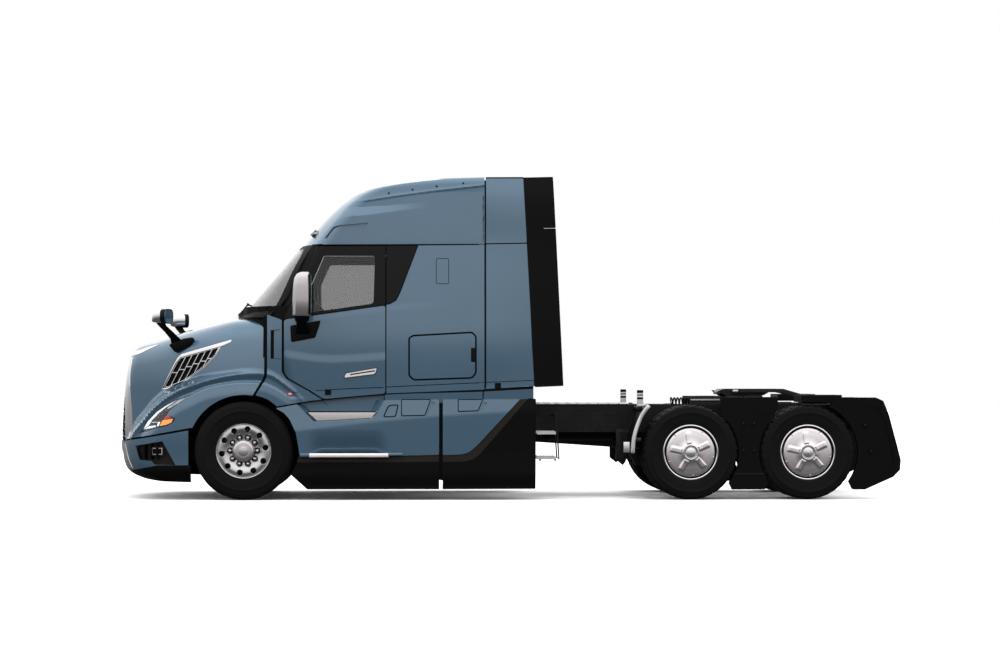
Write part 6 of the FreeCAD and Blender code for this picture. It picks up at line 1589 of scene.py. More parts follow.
def grille_mesh():
    shape = inset(both_ways(GRILLE_OUTLINE), 0.022)
    corners = [(0.0, 0.5), (0.5, 0.22), (0.5, -0.22), (0.0, -0.5), (-0.5, -0.22), (-0.5, 0.22)]
    flat, sunk, faces, finish = [], [], [], []
    for row in range(24):
        z = 0.60 + row * CELL_H * 0.74
        for column in range(-10, 11):
            y = (column + 0.5 * (row % 2)) * CELL_W
            if not inside(shape, (y, z)):
                continue
            start = len(flat)
            for scale, depth in ((1.0, 0.018), (0.90, 0.016), (0.86, 0.008), (0.80, 0.010),
                                 (0.78, 0.010 + CELL_WALL)):
                flat += [(y + a * CELL_W * scale, z + b * CELL_H * scale) for a, b in corners]
                sunk += [depth] * 6
            for ring in (0, 6, 12, 18):
                for i in range(6):
                    j = (i + 1) % 6
                    faces.append((start + ring + i, start + ring + j, start + ring + 6 + j,
                                  start + ring + 6 + i))
                    finish.append(0 if ring == 12 else 1)
    flat, sunk = np.array(flat), np.array(sunk)
    points = nose_x(flat[:, 0], flat[:, 1], sunk[:, None])
    piece = solid("grille_mesh", points, faces, SATIN, 20)
    piece.data.materials.append(BLACK)
    piece.data.polygons.foreach_set("material_index", finish)
    return piece


def nose_patch(name, outline, holes, sunk, thick, material, cell=0.02):
    """A part of the nose inside an outline in y and z."""
    ys, zs = np.array(outline).T
    y, z = np.meshgrid(np.arange(ys.min() - 0.01, ys.max() + 0.02, cell),
                       np.arange(zs.min() - 0.01, zs.max() + 0.02, cell), indexing="ij")
    piece = skin(name, hood_field, np.stack([np.full_like(y, -0.75), y, z], -1), FORWARD, thick, material,
                 1.5, sunk)
    carve(piece, prism(outline, -1.7, -0.7, "x"), keep=True)
    carve(piece, *[prism(hole, -1.8, -0.6, "x") for hole in holes])
    return shaded(piece, hood_field)


GRILLE_LOW = 0.632


def grille():
    whole = both_ways(GRILLE_OUTLINE)
    floor = [(y, max(z, GRILLE_LOW)) for y, z in whole]
    frame_hole = [(y * 0.905, z - 0.036) for y, z in whole]
    bars = nose_patch("grille_frame", inset(floor, 0.004), [frame_hole], -0.004, 0.030, CHROME)
    back = nose_patch("grille_back", inset(floor, 0.006), [], 0.040, 0.006, BLACK, 0.05)
    return bars, grille_mesh(), back


BLADE = [(-1.262, 0.30, 1.553), (-1.225, 0.47, 1.540), (-1.155, 0.56, 1.560), (-1.03, 0.62, 1.615),
         (-0.935, 0.655, 1.640)]
frame_bars, mesh_cells, grille_back = grille()
place(frame_bars, "hood", "chrome", "grille_and_vents")
place(mesh_cells, "hood", "aluminium_satin")
place(grille_back, "hood", "black_plastic")
for side, name in SIDES:
    blade = ribbon("grille_blade_" + name, hood_field, [(x, side * y, z) for x, y, z in BLADE],
                   (0.012, 0.026, 0.030, 0.018, 0.003), 0.006, CHROME)
    place(blade, "hood", "chrome")

# %% [markdown]
# ## The side vents
# Each side vent is a chrome-framed opening that sweeps up and back. Behind the frame are two rows of
# slanting black cells. The lattice is one panel with a hole for every cell, and each hole is a slanted grid
# square cut to the opening's outline.

# %% The vents
VENT_HOLE = [(-0.887, 1.176), (-0.742, 1.448), (-0.690, 1.508), (-0.240, 1.628), (-0.308, 1.527),
             (-0.419, 1.412), (-0.627, 1.264), (-0.815, 1.188)]
hood_outside = reach(hood_field)


def clipped(subject, window):
    """The part of an outline that lies in a convex window, which runs anticlockwise."""
    for (x0, z0), (x1, z1) in zip(window, window[1:] + window[:1]):
        kept = []
        side_of = [(x1 - x0) * (z - z0) - (z1 - z0) * (x - x0) for x, z in subject]
        for i, point in enumerate(subject):
            before, last = side_of[i - 1], subject[i - 1]
            if (before > 0) != (side_of[i] > 0):
                t = before / (before - side_of[i])
                kept.append((last[0] + (point[0] - last[0]) * t, last[1] + (point[1] - last[1]) * t))
            if side_of[i] > 0:
                kept.append(point)
        subject = kept
        if len(subject) < 3:
            return []
    return subject


def area(outline):
    x, z = np.array(outline).T
    return abs(np.sum(x * np.roll(z, -1) - np.roll(x, -1) * z)) / 2


def vent_cells():
    """Slanted cells in two rows. The rows part along a line that climbs to the rear."""
    split = curve([(-0.95, 1.24), (-0.65, 1.40), (-0.40, 1.515), (-0.20, 1.60)])
    cells = []
    subject = inset(VENT_HOLE, 0.012)
    for i in range(14):
        x = -0.98 + i * 0.062
        for low, high in ((1.10, 0.0), (0.0, 1.72)):
            foot = low or float(split(x + 0.10)) + 0.004
            head = high or float(split(x + 0.10)) - 0.004
            lean = 0.52
            window = [(x + (foot - 1.2) * lean, foot), (x + 0.055 + (foot - 1.2) * lean, foot),
                      (x + 0.055 + (head - 1.2) * lean, head), (x + (head - 1.2) * lean, head)]
            cell = clipped(subject, window)
            if len(cell) > 2 and area(cell) > 0.0002:
                cells.append(cell)
    return cells


for side, name in SIDES:
    ring = panel("vent_frame_" + name, inset(VENT_OUTLINE, 0.003), under(hood_outside, -0.005), 0.030,
                 CHROME, side, holes=[VENT_HOLE])
    place(ring, "hood", "chrome")
    lattice = panel("vent_lattice_" + name, inset(VENT_HOLE, 0.008), under(hood_outside, 0.006), 0.020,
                    SATIN, side, cell=0.08, holes=vent_cells())
    place(lattice, "hood", "aluminium_satin")
    back = panel("vent_back_" + name, inset(VENT_OUTLINE, 0.004), under(hood_outside, 0.026), 0.006,
                 BLACK, side, cell=0.08)
    place(back, "hood", "black_plastic")

# %% [markdown]
# ## The headlamps
# The lamp is a black housing under one clear lens. A white light guide runs round its lower front corner and
# up its front edge, where it tapers into a bright blade. The turn lamp glows amber in the rear corner.

# %% The headlamps
LAMP_GUIDES = [
    # the blade up the front edge
    [(-1.076, 0.742), (-1.030, 0.828), (-0.927, 0.932), (-0.815, 1.006), (-0.700, 1.058), (-0.730, 1.030),
     (-0.815, 0.975), (-0.885, 0.920), (-0.968, 0.842), (-1.012, 0.775)],
    # the foot of the C
    [(-1.076, 0.740), (-0.985, 0.752), (-0.918, 0.766), (-0.926, 0.795), (-1.005, 0.783)],
    # the hook that turns back inside
    [(-0.926, 0.770), (-0.892, 0.775), (-0.868, 0.832), (-0.985, 0.826), (-0.990, 0.810), (-0.910, 0.814)],
]
LAMP_TIP = [(-0.730, 1.030), (-0.700, 1.058), (-0.562, 1.110), (-0.700, 1.012), (-0.790, 0.962),
            (-0.812, 0.970)]
TURN_LAMP = [(-0.884, 0.782), (-0.852, 0.842), (-0.742, 0.858), (-0.760, 0.820), (-0.810, 0.797)]
GLOW = [(-0.845, 0.850), (-0.800, 0.905), (-0.760, 0.868)]
RED_GLOW = glowing("lamp_glow", (0.75, 0.04, 0.01), 0.35)


def lamp_piece(label, outline, sunk, thick, material, side):
    return panel(label, outline, under(hood_outside, sunk), thick, material, side)


for side, name in SIDES:
    housing = lamp_piece("headlamp_" + name, inset(LAMP_OUTLINE, 0.001), 0.020, 0.020, GLOSS, side)
    parts = [housing]
    parts += [lamp_piece("guide", inset(outline, 0.006), 0.008, 0.010, GUIDE, side)
              for outline in LAMP_GUIDES]
    parts.append(lamp_piece("blade", LAMP_TIP, 0.010, 0.012, SATIN, side))
    parts.append(lamp_piece("turn", TURN_LAMP, 0.008, 0.012, AMBER_LIT, side))
    parts.append(lamp_piece("glow", GLOW, 0.014, 0.006, RED_GLOW, side))
    place(joined("headlamp_" + name, parts), "hood", "lamp", *(["headlamps"] if side == LEFT else []))
    lens = lamp_piece("headlamp_lens_" + name, inset(LAMP_OUTLINE, 0.004), 0.001, 0.003, LENS, side)
    place(lens, "hood", "lamp")

# %% [markdown]
# ## Mirrors
# The hood carries a round-fronted chrome mirror on a black stalk at each shoulder, so that the driver can
# see the fender. Each door carries a tall one on an arm. Both heads are stacks of rounded sections: wide and
# nearly square at the glass, small and round at the nose.

# %% Stacks of rounded sections
def section(centre, half_a, half_b, axis, power=2.6, steps=40):
    """A closed loop between a circle and a square, across an axis."""
    turn = around(steps)
    bend = 2 / power
    a = half_a * np.sign(np.cos(turn)) * np.abs(np.cos(turn)) ** bend
    b = half_b * np.sign(np.sin(turn)) * np.abs(np.sin(turn)) ** bend
    zero = np.zeros(steps)
    loop = {"x": (zero, a, b), "y": (a, zero, b), "z": (a, b, zero)}[axis]
    return np.stack(loop, 1) + np.array(centre, float)


def stack(name, loops, material, sharp=40):
    """A solid through loops with the same number of points, closed at both ends."""
    return outward(solid(name, np.concatenate(loops), capped_faces(len(loops), len(loops[0])), material,
                         sharp))


def stacked(name, rows, axis, power, material, side=1):
    """A solid through sections: rows of x, y, z and two half widths, y measured outward."""
    return stack(name, [section((x, side * y, z), a, b, axis, power) for x, y, z, a, b in rows], material)


MIRROR_GLASS = clear_glass("mirror_glass", (0.10, 0.20, 0.26), 1.0)
MIRROR_GLASS.node_tree.nodes["Principled BSDF"].inputs["Metallic"].default_value = 0.6

# %% Hood mirrors
# x, half width, half height, middle height, and how far the middle is moved out
HOOD_HEAD = [(-0.979, 0.012, 0.010, 1.905, -0.020), (-0.974, 0.040, 0.032, 1.915, -0.018),
             (-0.955, 0.064, 0.054, 1.928, -0.014), (-0.925, 0.080, 0.066, 1.936, -0.010),
             (-0.885, 0.090, 0.072, 1.940, -0.005), (-0.845, 0.094, 0.077, 1.940, 0.0)]
HOOD_BEZEL = [(-0.845, 0.095, 0.078, 1.940, 0.0), (-0.800, 0.096, 0.079, 1.939, 0.0)]
HOOD_PANE = [(-0.812, 0.084, 0.068, 1.940, 0.0), (-0.797, 0.084, 0.068, 1.939, 0.0)]
GLASS_TURN = 0.42            # the glass faces out by this share of its width


def hood_mirror(side, name):
    middle_y = 1.045

    def loops(table, shrink=0.0, turn=0.0):
        found = []
        for x, half_w, half_h, z, out in table:
            loop = section((x, side * (middle_y + out), z), half_w - shrink, half_h - shrink, "x", 3.2)
            loop[:, 0] += turn * (middle_y - side * loop[:, 1])
            found.append(loop)
        return found

    shell = stack("shell", loops(HOOD_HEAD[:-1]) + loops(HOOD_HEAD[-1:], 0, GLASS_TURN), CHROME)
    bezel = stack("bezel", loops(HOOD_BEZEL, 0, GLASS_TURN), GLOSS, 30)
    pane = stack("pane", loops(HOOD_PANE, 0, GLASS_TURN), MIRROR_GLASS, 30)
    stalk = stacked("stalk", [(-0.720, 0.865, 1.640, 0.066, 0.022), (-0.742, 0.895, 1.700, 0.054, 0.022),
                              (-0.800, 0.960, 1.770, 0.046, 0.022), (-0.868, 1.020, 1.840, 0.042, 0.022),
                              (-0.890, 1.040, 1.875, 0.048, 0.024)], "z", 3, BLACK, side)
    foot = prism([(-0.811, 1.637), (-0.748, 1.560), (-0.579, 1.630), (-0.540, 1.692), (-0.560, 1.722),
                  (-0.653, 1.708), (-0.775, 1.668)], side * 0.76, side * 0.905, name="foot", material=BLACK)
    bevelled(foot, 0.012, 3)
    return joined("hood_mirror_" + name, [shell, bezel, pane, stalk, foot])


for side, name in SIDES:
    place(hood_mirror(side, name), "hood", "chrome", *(["hood_mirrors"] if side == LEFT else []))

# %% Door mirrors
# z, x of the front, x of the rear, and half width
DOOR_HEAD = [(1.934, 0.532, 0.712, 0.098), (1.946, 0.524, 0.716, 0.108), (2.10, 0.526, 0.717, 0.113),
             (2.25, 0.534, 0.715, 0.112), (2.33, 0.545, 0.712, 0.108), (2.372, 0.570, 0.708, 0.098),
             (2.392, 0.610, 0.702, 0.078)]
DOOR_MIRROR_Y = 1.445
MIRROR_BASE = [(0.490, 1.838), (0.812, 1.896), (0.790, 1.820), (0.753, 1.711), (0.500, 1.664)]


def door_mirror(side, name):
    loops = [section(((front + rear) / 2, side * DOOR_MIRROR_Y, z), (rear - front) / 2, half, "z", 4.2)
             for z, front, rear, half in DOOR_HEAD]
    shell = stack("shell", loops, HOUSING)
    bezel = brick("bezel", (0.700, DOOR_MIRROR_Y - 0.106, 1.946), (0.7195, DOOR_MIRROR_Y + 0.106, 2.372),
                  GLOSS, 0.008)
    pane = brick("pane", (0.712, DOOR_MIRROR_Y - 0.092, 2.092), (0.7215, DOOR_MIRROR_Y + 0.092, 2.360),
                 MIRROR_GLASS, 0.004)
    wide = brick("wide_pane", (0.712, DOOR_MIRROR_Y - 0.092, 1.958), (0.7215, DOOR_MIRROR_Y + 0.092, 2.080),
                 MIRROR_GLASS, 0.004)
    for flat in (bezel, pane, wide):
        if side == LEFT:
            flat.data.transform(Matrix.Diagonal((1, -1, 1, 1)))
            flat.data.flip_normals()
    arm = stacked("arm", [(0.625, 1.188, 1.790, 0.085, 0.060), (0.622, 1.260, 1.812, 0.066, 0.046),
                          (0.620, 1.350, 1.868, 0.058, 0.042), (0.620, 1.420, 1.905, 0.060, 0.030)], "y", 3.2,
                  BLACK, side)
    neck = stacked("neck", [(0.625, 1.43, 1.880, 0.070, 0.070), (0.622, DOOR_MIRROR_Y, 1.936, 0.084, 0.092)],
                   "z", 3, BLACK, side)
    base = prism(rounded_outline(MIRROR_BASE, 0.02), side * 1.176, side * 1.216, name="base", material=BLACK)
    bevelled(base, 0.010, 3)
    well = prism(rounded_outline([(0.560, 1.828), (0.700, 1.850), (0.690, 1.745), (0.566, 1.725)], 0.03),
                 side * 1.205, side * 1.2185, name="well", material=GLOSS)
    return joined("door_mirror_dressed_" + name, [shell, bezel, pane, wide, arm, neck, base, well])


for side, name in SIDES:
    place(door_mirror(side, name), name + "_door", "chrome", "door_mirror_" + name)

# %% [markdown]
# ## Small parts of the cab
# A cab is full of small parts that catch the eye because they break the big panels: a dish pressed into the
# roof, marker lamps, plugs along the gutter, the door handle, wipers, and the black liners in the wheel
# arches.

# %% Dishes, plugs and marker lamps of the roof
ROOF_PLUGS = [(1.526, 3.247), (1.777, 3.284), (2.033, 3.319), (2.315, 3.352)]
SIDE_MARKER = [(0.684, 2.812), (0.731, 2.853), (0.830, 2.862), (0.776, 2.818)]


def at_side(surface, x, z):
    return float(surface(np.array([x]), np.array([z]))[0])


def roof_marker(side, y):
    """A low amber lamp with a black foot, on the roof's brow."""
    point = cast(roof_field, np.array([[1.6, side * y, 2.86]]), np.array([[-1.0, 0.0, 0.0]]))[0]
    x, z = point[0] + 0.012, point[2]
    foot = stacked("foot", [(x - 0.010, y, z - 0.022, 0.012, 0.055), (x + 0.020, y, z + 0.030, 0.010, 0.045)],
                   "z", 3, GLOSS, side)
    lamp = stacked("lamp", [(x - 0.018, y, z - 0.012, 0.010, 0.044), (x - 0.004, y, z + 0.022, 0.008, 0.036)],
                   "z", 3, AMBER_LENS, side)
    return joined("roof_marker", [foot, lamp])


for side, name in SIDES:
    dish = panel("roof_dish_" + name, inset(ROOF_DISH, -0.004), under(roof_side, 0.020), 0.006, PAINT, side)
    place(dish, "chassis", "paint")
    plugs = [knob("plug", [(0.0, 0.004), (0.010, 0.004), (0.011, 0.001), (0.011, -0.01), (0.0, -0.01)],
                  (x, side * at_side(roof_side, x, z), z), SEAL, 20, side=side) for x, z in ROOF_PLUGS]
    place(joined("roof_plugs_" + name, plugs), "chassis", "black_plastic")
    low, high = sorted((side * 0.72, side * 0.886))
    rim = prism(SIDE_MARKER, low, high, name="marker_rim", material=GLOSS)
    low, high = sorted((side * 0.74, side * 0.890))
    lamp = prism(inset(SIDE_MARKER, 0.008), low, high, name="marker", material=CLEAR_LENS)
    place(joined("side_marker_" + name, [lamp, rim]), "chassis", "lamp")
MARKERS = ((LEFT, 0.55), (LEFT, 0.28), (LEFT, 0.0), (RIGHT, 0.28), (RIGHT, 0.55))
markers = [roof_marker(side, y) for side, y in MARKERS]
place(joined("roof_markers", markers), "chassis", "lamp")

# %% Handles, latches and marks of the sides
def oval(x, z, half_x, half_z):
    turn = around(28)
    return [(x + half_x * math.cos(a), z + half_z * math.sin(a)) for a in turn]


GRIP = [(1.060, 1.290), (1.079, 1.336), (1.402, 1.390), (1.382, 1.331)]
GRIP_LINE = [(1.120, 1.316), (1.378, 1.357), (1.383, 1.371), (1.125, 1.330)]
LATCH = rectangle(2.399, 1.460, 2.446, 1.600)
for side, name in SIDES:
    grip = panel("grip", rounded_outline(GRIP, 0.014), under(door_relief, -0.012), 0.022, STEP_BRIGHT, side)
    line = panel("line", GRIP_LINE, under(door_relief, -0.0135), 0.010, GLOSS, side)
    place(joined("door_handle_" + name, [grip, line]), name + "_door", "chrome")
    latch = panel("luggage_latch_" + name, rounded_outline(LATCH, 0.006), under(cab_side, 0.001), 0.010,
                  GLOSS, side)
    place(latch, name + "_baggage_door", "black_gloss")
    mark = rectangle(0.856, 1.108, 0.921, 1.168)
    cap = panel("door_marker_" + name, rounded_outline(mark, 0.008), under(door_relief, -0.004), 0.010,
                GLOSS, side)
    place(cap, name + "_door", "black_gloss")
    mark = [(2.646, 1.178), (2.712, 1.181), (2.712, 1.236), (2.646, 1.234)]
    cap = panel("extender_marker_" + name, rounded_outline(mark, 0.008), under(extender_side, -0.004),
                0.010, GLOSS, side)
    place(cap, "chassis", "black_gloss")
    lamp = [panel("glow", oval(0.490, 1.120, 0.022, 0.012), under(flare, -0.012), 0.01, CLEAR_LENS, side),
            panel("rim", oval(0.488, 1.119, 0.036, 0.021), under(flare, -0.007), 0.01, RED_LENS, side)]
    place(joined("side_lamp_" + name, lamp), "chassis", "lamp")

# %% Liners of the front wheel arches, and the firewall behind them
def liner(name, side, first, last, low_y, high_y):
    """A curved black sheet behind the edge of the arch, between two angles from the ground line."""
    turn = np.radians(np.linspace(first, last, 24))
    outline = [(0.640 * math.cos(a), HUB_Z + 0.640 * math.sin(a)) for a in turn]
    outline += [(0.628 * math.cos(a), HUB_Z + 0.628 * math.sin(a)) for a in turn[::-1]]
    low, high = sorted((side * low_y, side * high_y))
    return prism(outline, low, high, "y", name, BLACK)


WALL = [(-1.03, 1.20), (1.03, 1.20), (1.03, 1.60), (0.86, 1.86), (-0.86, 1.86), (-1.03, 1.60)]
for side, name in SIDES:
    place(liner("hood_liner_" + name, side, 97, 168, 0.60, 1.10), "hood", "black_plastic")
    place(liner("cab_liner_" + name, side, 8, 93, 0.60, 1.165), "chassis", "black_plastic")
    backing = slab([(0.135, 1.115), (0.262, 1.115), (0.262, 1.945), (0.205, 1.945), (0.200, 1.330)], 1.120,
                   0.012, "backing", SEAL, 0.0, side)
    post = slab(rectangle(1.492, 2.40, 1.512, 2.675), 1.118, 0.012, "post", SEAL, 0.0, side)
    place(joined("side_backing_" + name, [backing, post]), "chassis", "black_plastic")
place(prism(WALL, 0.030, 0.055, "x", "firewall", BLACK), "chassis", "black_plastic")


def cowl_top():
    """The black cover between the hood's rear edge and the foot of the windscreen."""
    plan = curve([(y, x) for x, y in HOOD_REAR_PLAN])
    y = np.linspace(-1.06, 1.06, 61)
    origins = np.stack([plan(np.abs(y)) + 0.014, y, np.full(61, 1.40)], 1)
    front = cast(hood_field, origins, np.broadcast_to((0.0, 0.0, 1.0), origins.shape), 1.0) - (0, 0, 0.006)
    back = np.array([on_glass(v, 2.030, 0.004) for v in y])
    middle = (front + back) / 2 + (0, 0, 0.006)
    outer = np.stack([front - (0, 0, 0.05), front, middle, back], 1)
    return grid_solid("cowl_top", outer, outer + (0.006, 0, -0.010), BLACK)

# %% Wipers
def on_glass(y, z, out):
    flat = cast(cab_field, np.array([[1.6, y, z]]), np.array([[-1.0, 0.0, 0.0]]), 3.0)
    return tuple((flat + slope_of(cab_field, flat) * out)[0])


def wiper(name, foot_y, low_y, high_y):
    ys = np.linspace(low_y, high_y, 7)
    middle = (low_y + high_y) / 2
    blade = tube("blade", [on_glass(y, 2.062 + 0.010 * i / 6, 0.012) for i, y in enumerate(ys)], 0.007, BLACK,
                 8, 3)
    hub = tube("hub", [on_glass(foot_y, 1.965, 0.005), on_glass(foot_y, 1.985, 0.040)], 0.016, GLOSS, 14, 1)
    arm = tube("arm", [on_glass(foot_y, 1.985, 0.038), on_glass(foot_y, 2.045, 0.055),
                       on_glass((foot_y + middle) / 2, 2.062, 0.045), on_glass(middle, 2.066, 0.022)], 0.007,
               BLACK, 10)
    return joined(name, [blade, hub, arm])


place(cowl_top(), "chassis", "black_plastic")
place(wiper("wiper_left", -0.62, -0.56, 0.02), "chassis", "black_plastic")
place(wiper("wiper_right", 0.02, 0.08, 0.66), "chassis", "black_plastic")

# %% A gasket behind the seam of hood and bumper
for side, name in SIDES:
    gasket = panel("nose_gasket_" + name, [(-1.26, 0.585), (-0.60, 0.705), (-0.60, 0.800), (-1.26, 0.675)],
                   under(hood_outside, 0.034), 0.008, SEAL, side)
    place(gasket, "chassis", "black_plastic")

# %% [markdown]
# ## Deck, ladder and posts
# Behind the cab a driver climbs a ladder to an aluminium deck to reach the hoses. Deck and treads are grip
# planks: their edges are cut into teeth that hold a boot in rain and ice. The deck here is planks side by
# side, and each plank's edge is an outline with teeth, drawn out across the frame.

# %% Grip planks
def toothed(x0, x1, z0, z1, teeth, depth):
    """An upright outline whose top edge is cut into flat teeth."""
    pitch = (x1 - x0) / teeth
    top = []
    for i in range(teeth):
        left = x0 + i * pitch
        top += [(left + 0.06 * pitch, z1 - depth), (left + 0.20 * pitch, z1), (left + 0.80 * pitch, z1),
                (left + 0.94 * pitch, z1 - depth)]
    return [(x0, z0), *top, (x1, z0)][::-1]


DECK_X0, DECK_X1, DECK_HALF = 3.112, 4.128, 0.448
DECK_TOP = 1.018


def deck():
    parts = [brick("deck_frame", (DECK_X0, -0.44, 1.000), (DECK_X1, 0.44, 1.006), CHASSIS, 0.001, 1)]
    planks = 9
    width = (DECK_X1 - DECK_X0) / planks
    for i in range(planks):
        x = DECK_X0 + i * width
        parts.append(brick("plank", (x + 0.003, -DECK_HALF, 1.003), (x + width - 0.003, DECK_HALF, 1.014),
                           SATIN, 0.002, 1))
        for j in range(3):
            left = x + 0.010 + j * (width - 0.020) / 3
            rib = prism(toothed(-0.44, 0.44, 1.012, DECK_TOP, 22, 0.003), left, left + 0.008, "x", "rib",
                        SATIN)
            parts.append(rib)
    return joined("deck_planks", parts)


def ladder():
    parts = []
    for z in (0.700, 0.436):
        for y in (-1.186, -1.06, -0.93, -0.80):
            parts.append(prism(toothed(3.092, 3.294, z - 0.008, z + 0.024, 6, 0.010), y, y + 0.022, "y",
                               "tread", SATIN))
        parts.append(brick("tread_pan", (3.094, -1.180, z - 0.006), (3.292, -0.785, z + 0.004), SATIN, 0.002,
                           1))
        parts.append(tube("cross", [(3.316, -1.186, z + 0.004), (3.316, -0.765, z + 0.004)], 0.007, CHASSIS,
                          8, 1))
    for y in (-1.183, -0.768):
        parts.append(tube("rod", [(3.294, y, 0.905), (3.298, y, 0.80), (3.314, y, 0.600), (3.325, y, 0.432)],
                          0.008, CHASSIS, 10, 4))
    parts.append(tube("rail", [(3.300, -1.186, 0.893), (3.300, -0.43, 0.893)], 0.011, CHASSIS, 10, 1))
    for x in (3.115, 3.275):
        parts.append(brick("foot", (x, -1.180, 0.412), (x + 0.022, -1.155, 0.430), BLACK, 0.003, 1))
    return joined("ladder", parts)


place(deck(), "chassis", "aluminium_satin", "steps_and_deck")
place(ladder(), "chassis", "aluminium_satin")

# %% [markdown]
# Ahead of the drive wheels a quarter fender keeps spray off the deck. It is a curved plastic sheet with a
# wide aluminium edge. A post on top, banded in black and white tape, lets the driver see in the mirror where
# the frame ends.

# %% Quarter fenders and posts
GUARD = [(4.262, 1.010), (4.198, 0.927), (4.134, 0.789), (4.098, 0.660), (4.083, 0.493)]


def guard_strip(name, low_y, high_y, back, material, bevel=0.0):
    """The guard's curve, drawn out across the truck. back is how far the sheet is thick towards the tyre."""
    z = np.linspace(GUARD[-1][1], GUARD[0][1], 25)
    x = curve([(h, l) for l, h in GUARD])(z)
    lean = np.gradient(x, z)
    length = np.sqrt(1 + lean**2)
    front = list(zip(x, z))
    rear = list(zip(x + back / length, z - back * lean / length))
    piece = prism(front + rear[::-1], low_y, high_y, name=name, material=material)
    return bevelled(piece, bevel, 2) if bevel else piece


TAPE = [(1.010, 1.062, SATIN), (1.062, 1.082, BLACK), (1.082, 1.100, WHITE_TAPE), (1.100, 1.110, BLACK),
        (1.110, 1.128, WHITE_TAPE), (1.128, 1.159, BLACK)]


def quarter_fender(side, name):
    ends = sorted((side * 0.605, side * 1.195))
    parts = [guard_strip("sheet", *ends, 0.010, BLACK)]
    for middle in (1.192, 0.622):
        low, high = sorted((side * (middle - 0.020), side * (middle + 0.020)))
        parts.append(guard_strip("strap", low, high, 0.042, SATIN, 0.005))
    for z0, z1, material in TAPE:
        parts.append(side_brick("tape", side, (4.160, 1.082, z0), (4.225, 1.119, z1), material, 0.002, 1))
    parts += [side_brick("shelf", side, (4.157, 1.062, 0.986), (4.260, 1.138, 1.008), SATIN, 0.003),
              side_brick("stay", side, (4.177, 0.430, 0.942), (4.213, 1.118, 0.983), CHASSIS),
              side_brick("number_holder", side, (4.010, 1.165, 0.500), (4.075, 1.180, 0.610), SATIN, 0.003)]
    return joined("quarter_fender_dressed_" + name, parts)


for side, name in SIDES:
    dressed = quarter_fender(side, name)
    place(dressed, "chassis", "aluminium_satin", *(["quarter_fenders"] if side == LEFT else []))

# %% [markdown]
# ## Hoses, fifth wheel and frame details
# The trailer's air and light lines are coiled like springs and parked on the frame. A helix is a tube along
# a route that turns as it goes. The frame's bolts stand in pairs, where brackets are held on the far side of
# the web.

# %% Coiled air lines
COIL_AXIS = (-0.262, 1.040)
COIL_REACH = 0.034


def coil(name, x0, x1, turns, radius, phase):
    t = np.linspace(0, 1, turns * 14)
    turn = phase + t * turns * 2 * math.pi
    path = np.stack([x0 + (x1 - x0) * t, COIL_AXIS[0] + radius * np.cos(turn),
                     COIL_AXIS[1] + radius * np.sin(turn)], 1)
    return swept(name, path, np.full(len(t), 0.0048), BLACK, 7)


def air_lines():
    parts = [coil("coil", 4.600, 4.855, 7, COIL_REACH, 0.0), coil("coil", 4.604, 4.859, 7, COIL_REACH, 2.1),
             brick("tray", (4.592, -0.428, 1.0005), (4.786, -0.205, 1.006), CHASSIS, 0.001, 1),
             tube("line", [(4.600, -0.262, 1.072), (4.596, -0.30, 1.035), (4.594, -0.36, 1.018),
                           (4.594, -0.425, 1.012)], 0.006, BLACK, 8, 5),
             tube("lever", [(4.606, -0.31, 1.060), (4.596, -0.312, 1.080)], 0.004, STEEL, 8, 1)]
    for x in (4.614, 4.744):
        parts.append(brick("saddle", (x, -0.288, 1.004), (x + 0.014, -0.236, 1.038), CHASSIS, 0.003, 1))
    return joined("air_coils", parts)


place(air_lines(), "chassis", "black_plastic", "air_lines")

# %% Bolts, tank straps and lamp lenses
def bolt(centre, side, reach=0.011, across=0.026):
    x, y, z = centre
    turn = np.arange(6) * math.pi / 3
    outline = [(x + across / 2 * math.cos(a), z + across / 2 * math.sin(a)) for a in turn]
    low, high = sorted((side * y, side * (y + reach)))
    return prism(outline, low, high, name="bolt", material=STEEL)


def frame_bolts(side):
    bolts = []
    for x in (3.20, 3.26, 3.60, 3.64, 3.78, 3.83, 3.92, 3.96, 4.30, 4.36, 5.28, 5.40, 6.28, 6.34):
        for z in (0.955, 0.905, 0.770):
            if (x * 100 + z * 1000) % 3 > 0.6:
                bolts.append(bolt((x, 0.429, z), side))
    for x in (4.02, 4.06, 4.10):
        for z in (0.70, 0.66, 0.62):
            bolts.append(bolt((x, 0.4725, z), side, 0.008, 0.020))
    plate = slab([(3.985, 0.735), (4.120, 0.735), (4.120, 0.50), (4.090, 0.38), (4.060, 0.34), (3.985, 0.40)],
                 0.474, 0.042, "bracket", CHASSIS, 0.003, side)
    return joined("frame_bolts_" + ("left" if side < 0 else "right"), [*bolts, plate])


LENS_R = 0.034


def tail_lamps():
    lenses = []
    for side in (LEFT, RIGHT):
        for place_y, colour in ((0.310, CLEAR_LENS), (0.382, RED_LENS), (0.454, AMBER_LENS)):
            dome = [(0, 0), (LENS_R, 0), (LENS_R, 0.006), (LENS_R * 0.7, 0.010), (0, 0.011)]
            lenses.append(knob("lens", dome, (6.632, side * place_y, 0.830), colour, 24, "x"))
    return joined("tail_lenses", lenses)


for side, name in SIDES:
    place(frame_bolts(side), "chassis", "steel")
place(tail_lamps(), "chassis", "lamp")

# %% Fifth wheel details
def slider_rack(side):
    """Toothed bars that the sliding fifth wheel locks into."""
    low, high = sorted((side * 0.432, side * 0.440))
    return prism(toothed(4.802, 5.148, 1.046, 1.060, 18, 0.006), low, high, "y", "rack", SATIN)


def grease_and_release():
    rod = [(5.42, -0.10, 1.096), (5.40, -0.28, 1.082), (5.40, -0.455, 1.074)]
    parts = [slider_rack(LEFT), slider_rack(RIGHT), tube("release_rod", rod, 0.009, STEEL, 10, 4),
             brick("release_grip", (5.36, -0.470, 1.066), (5.44, -0.450, 1.082), STEEL, 0.004)]
    return joined("slider_racks", parts)


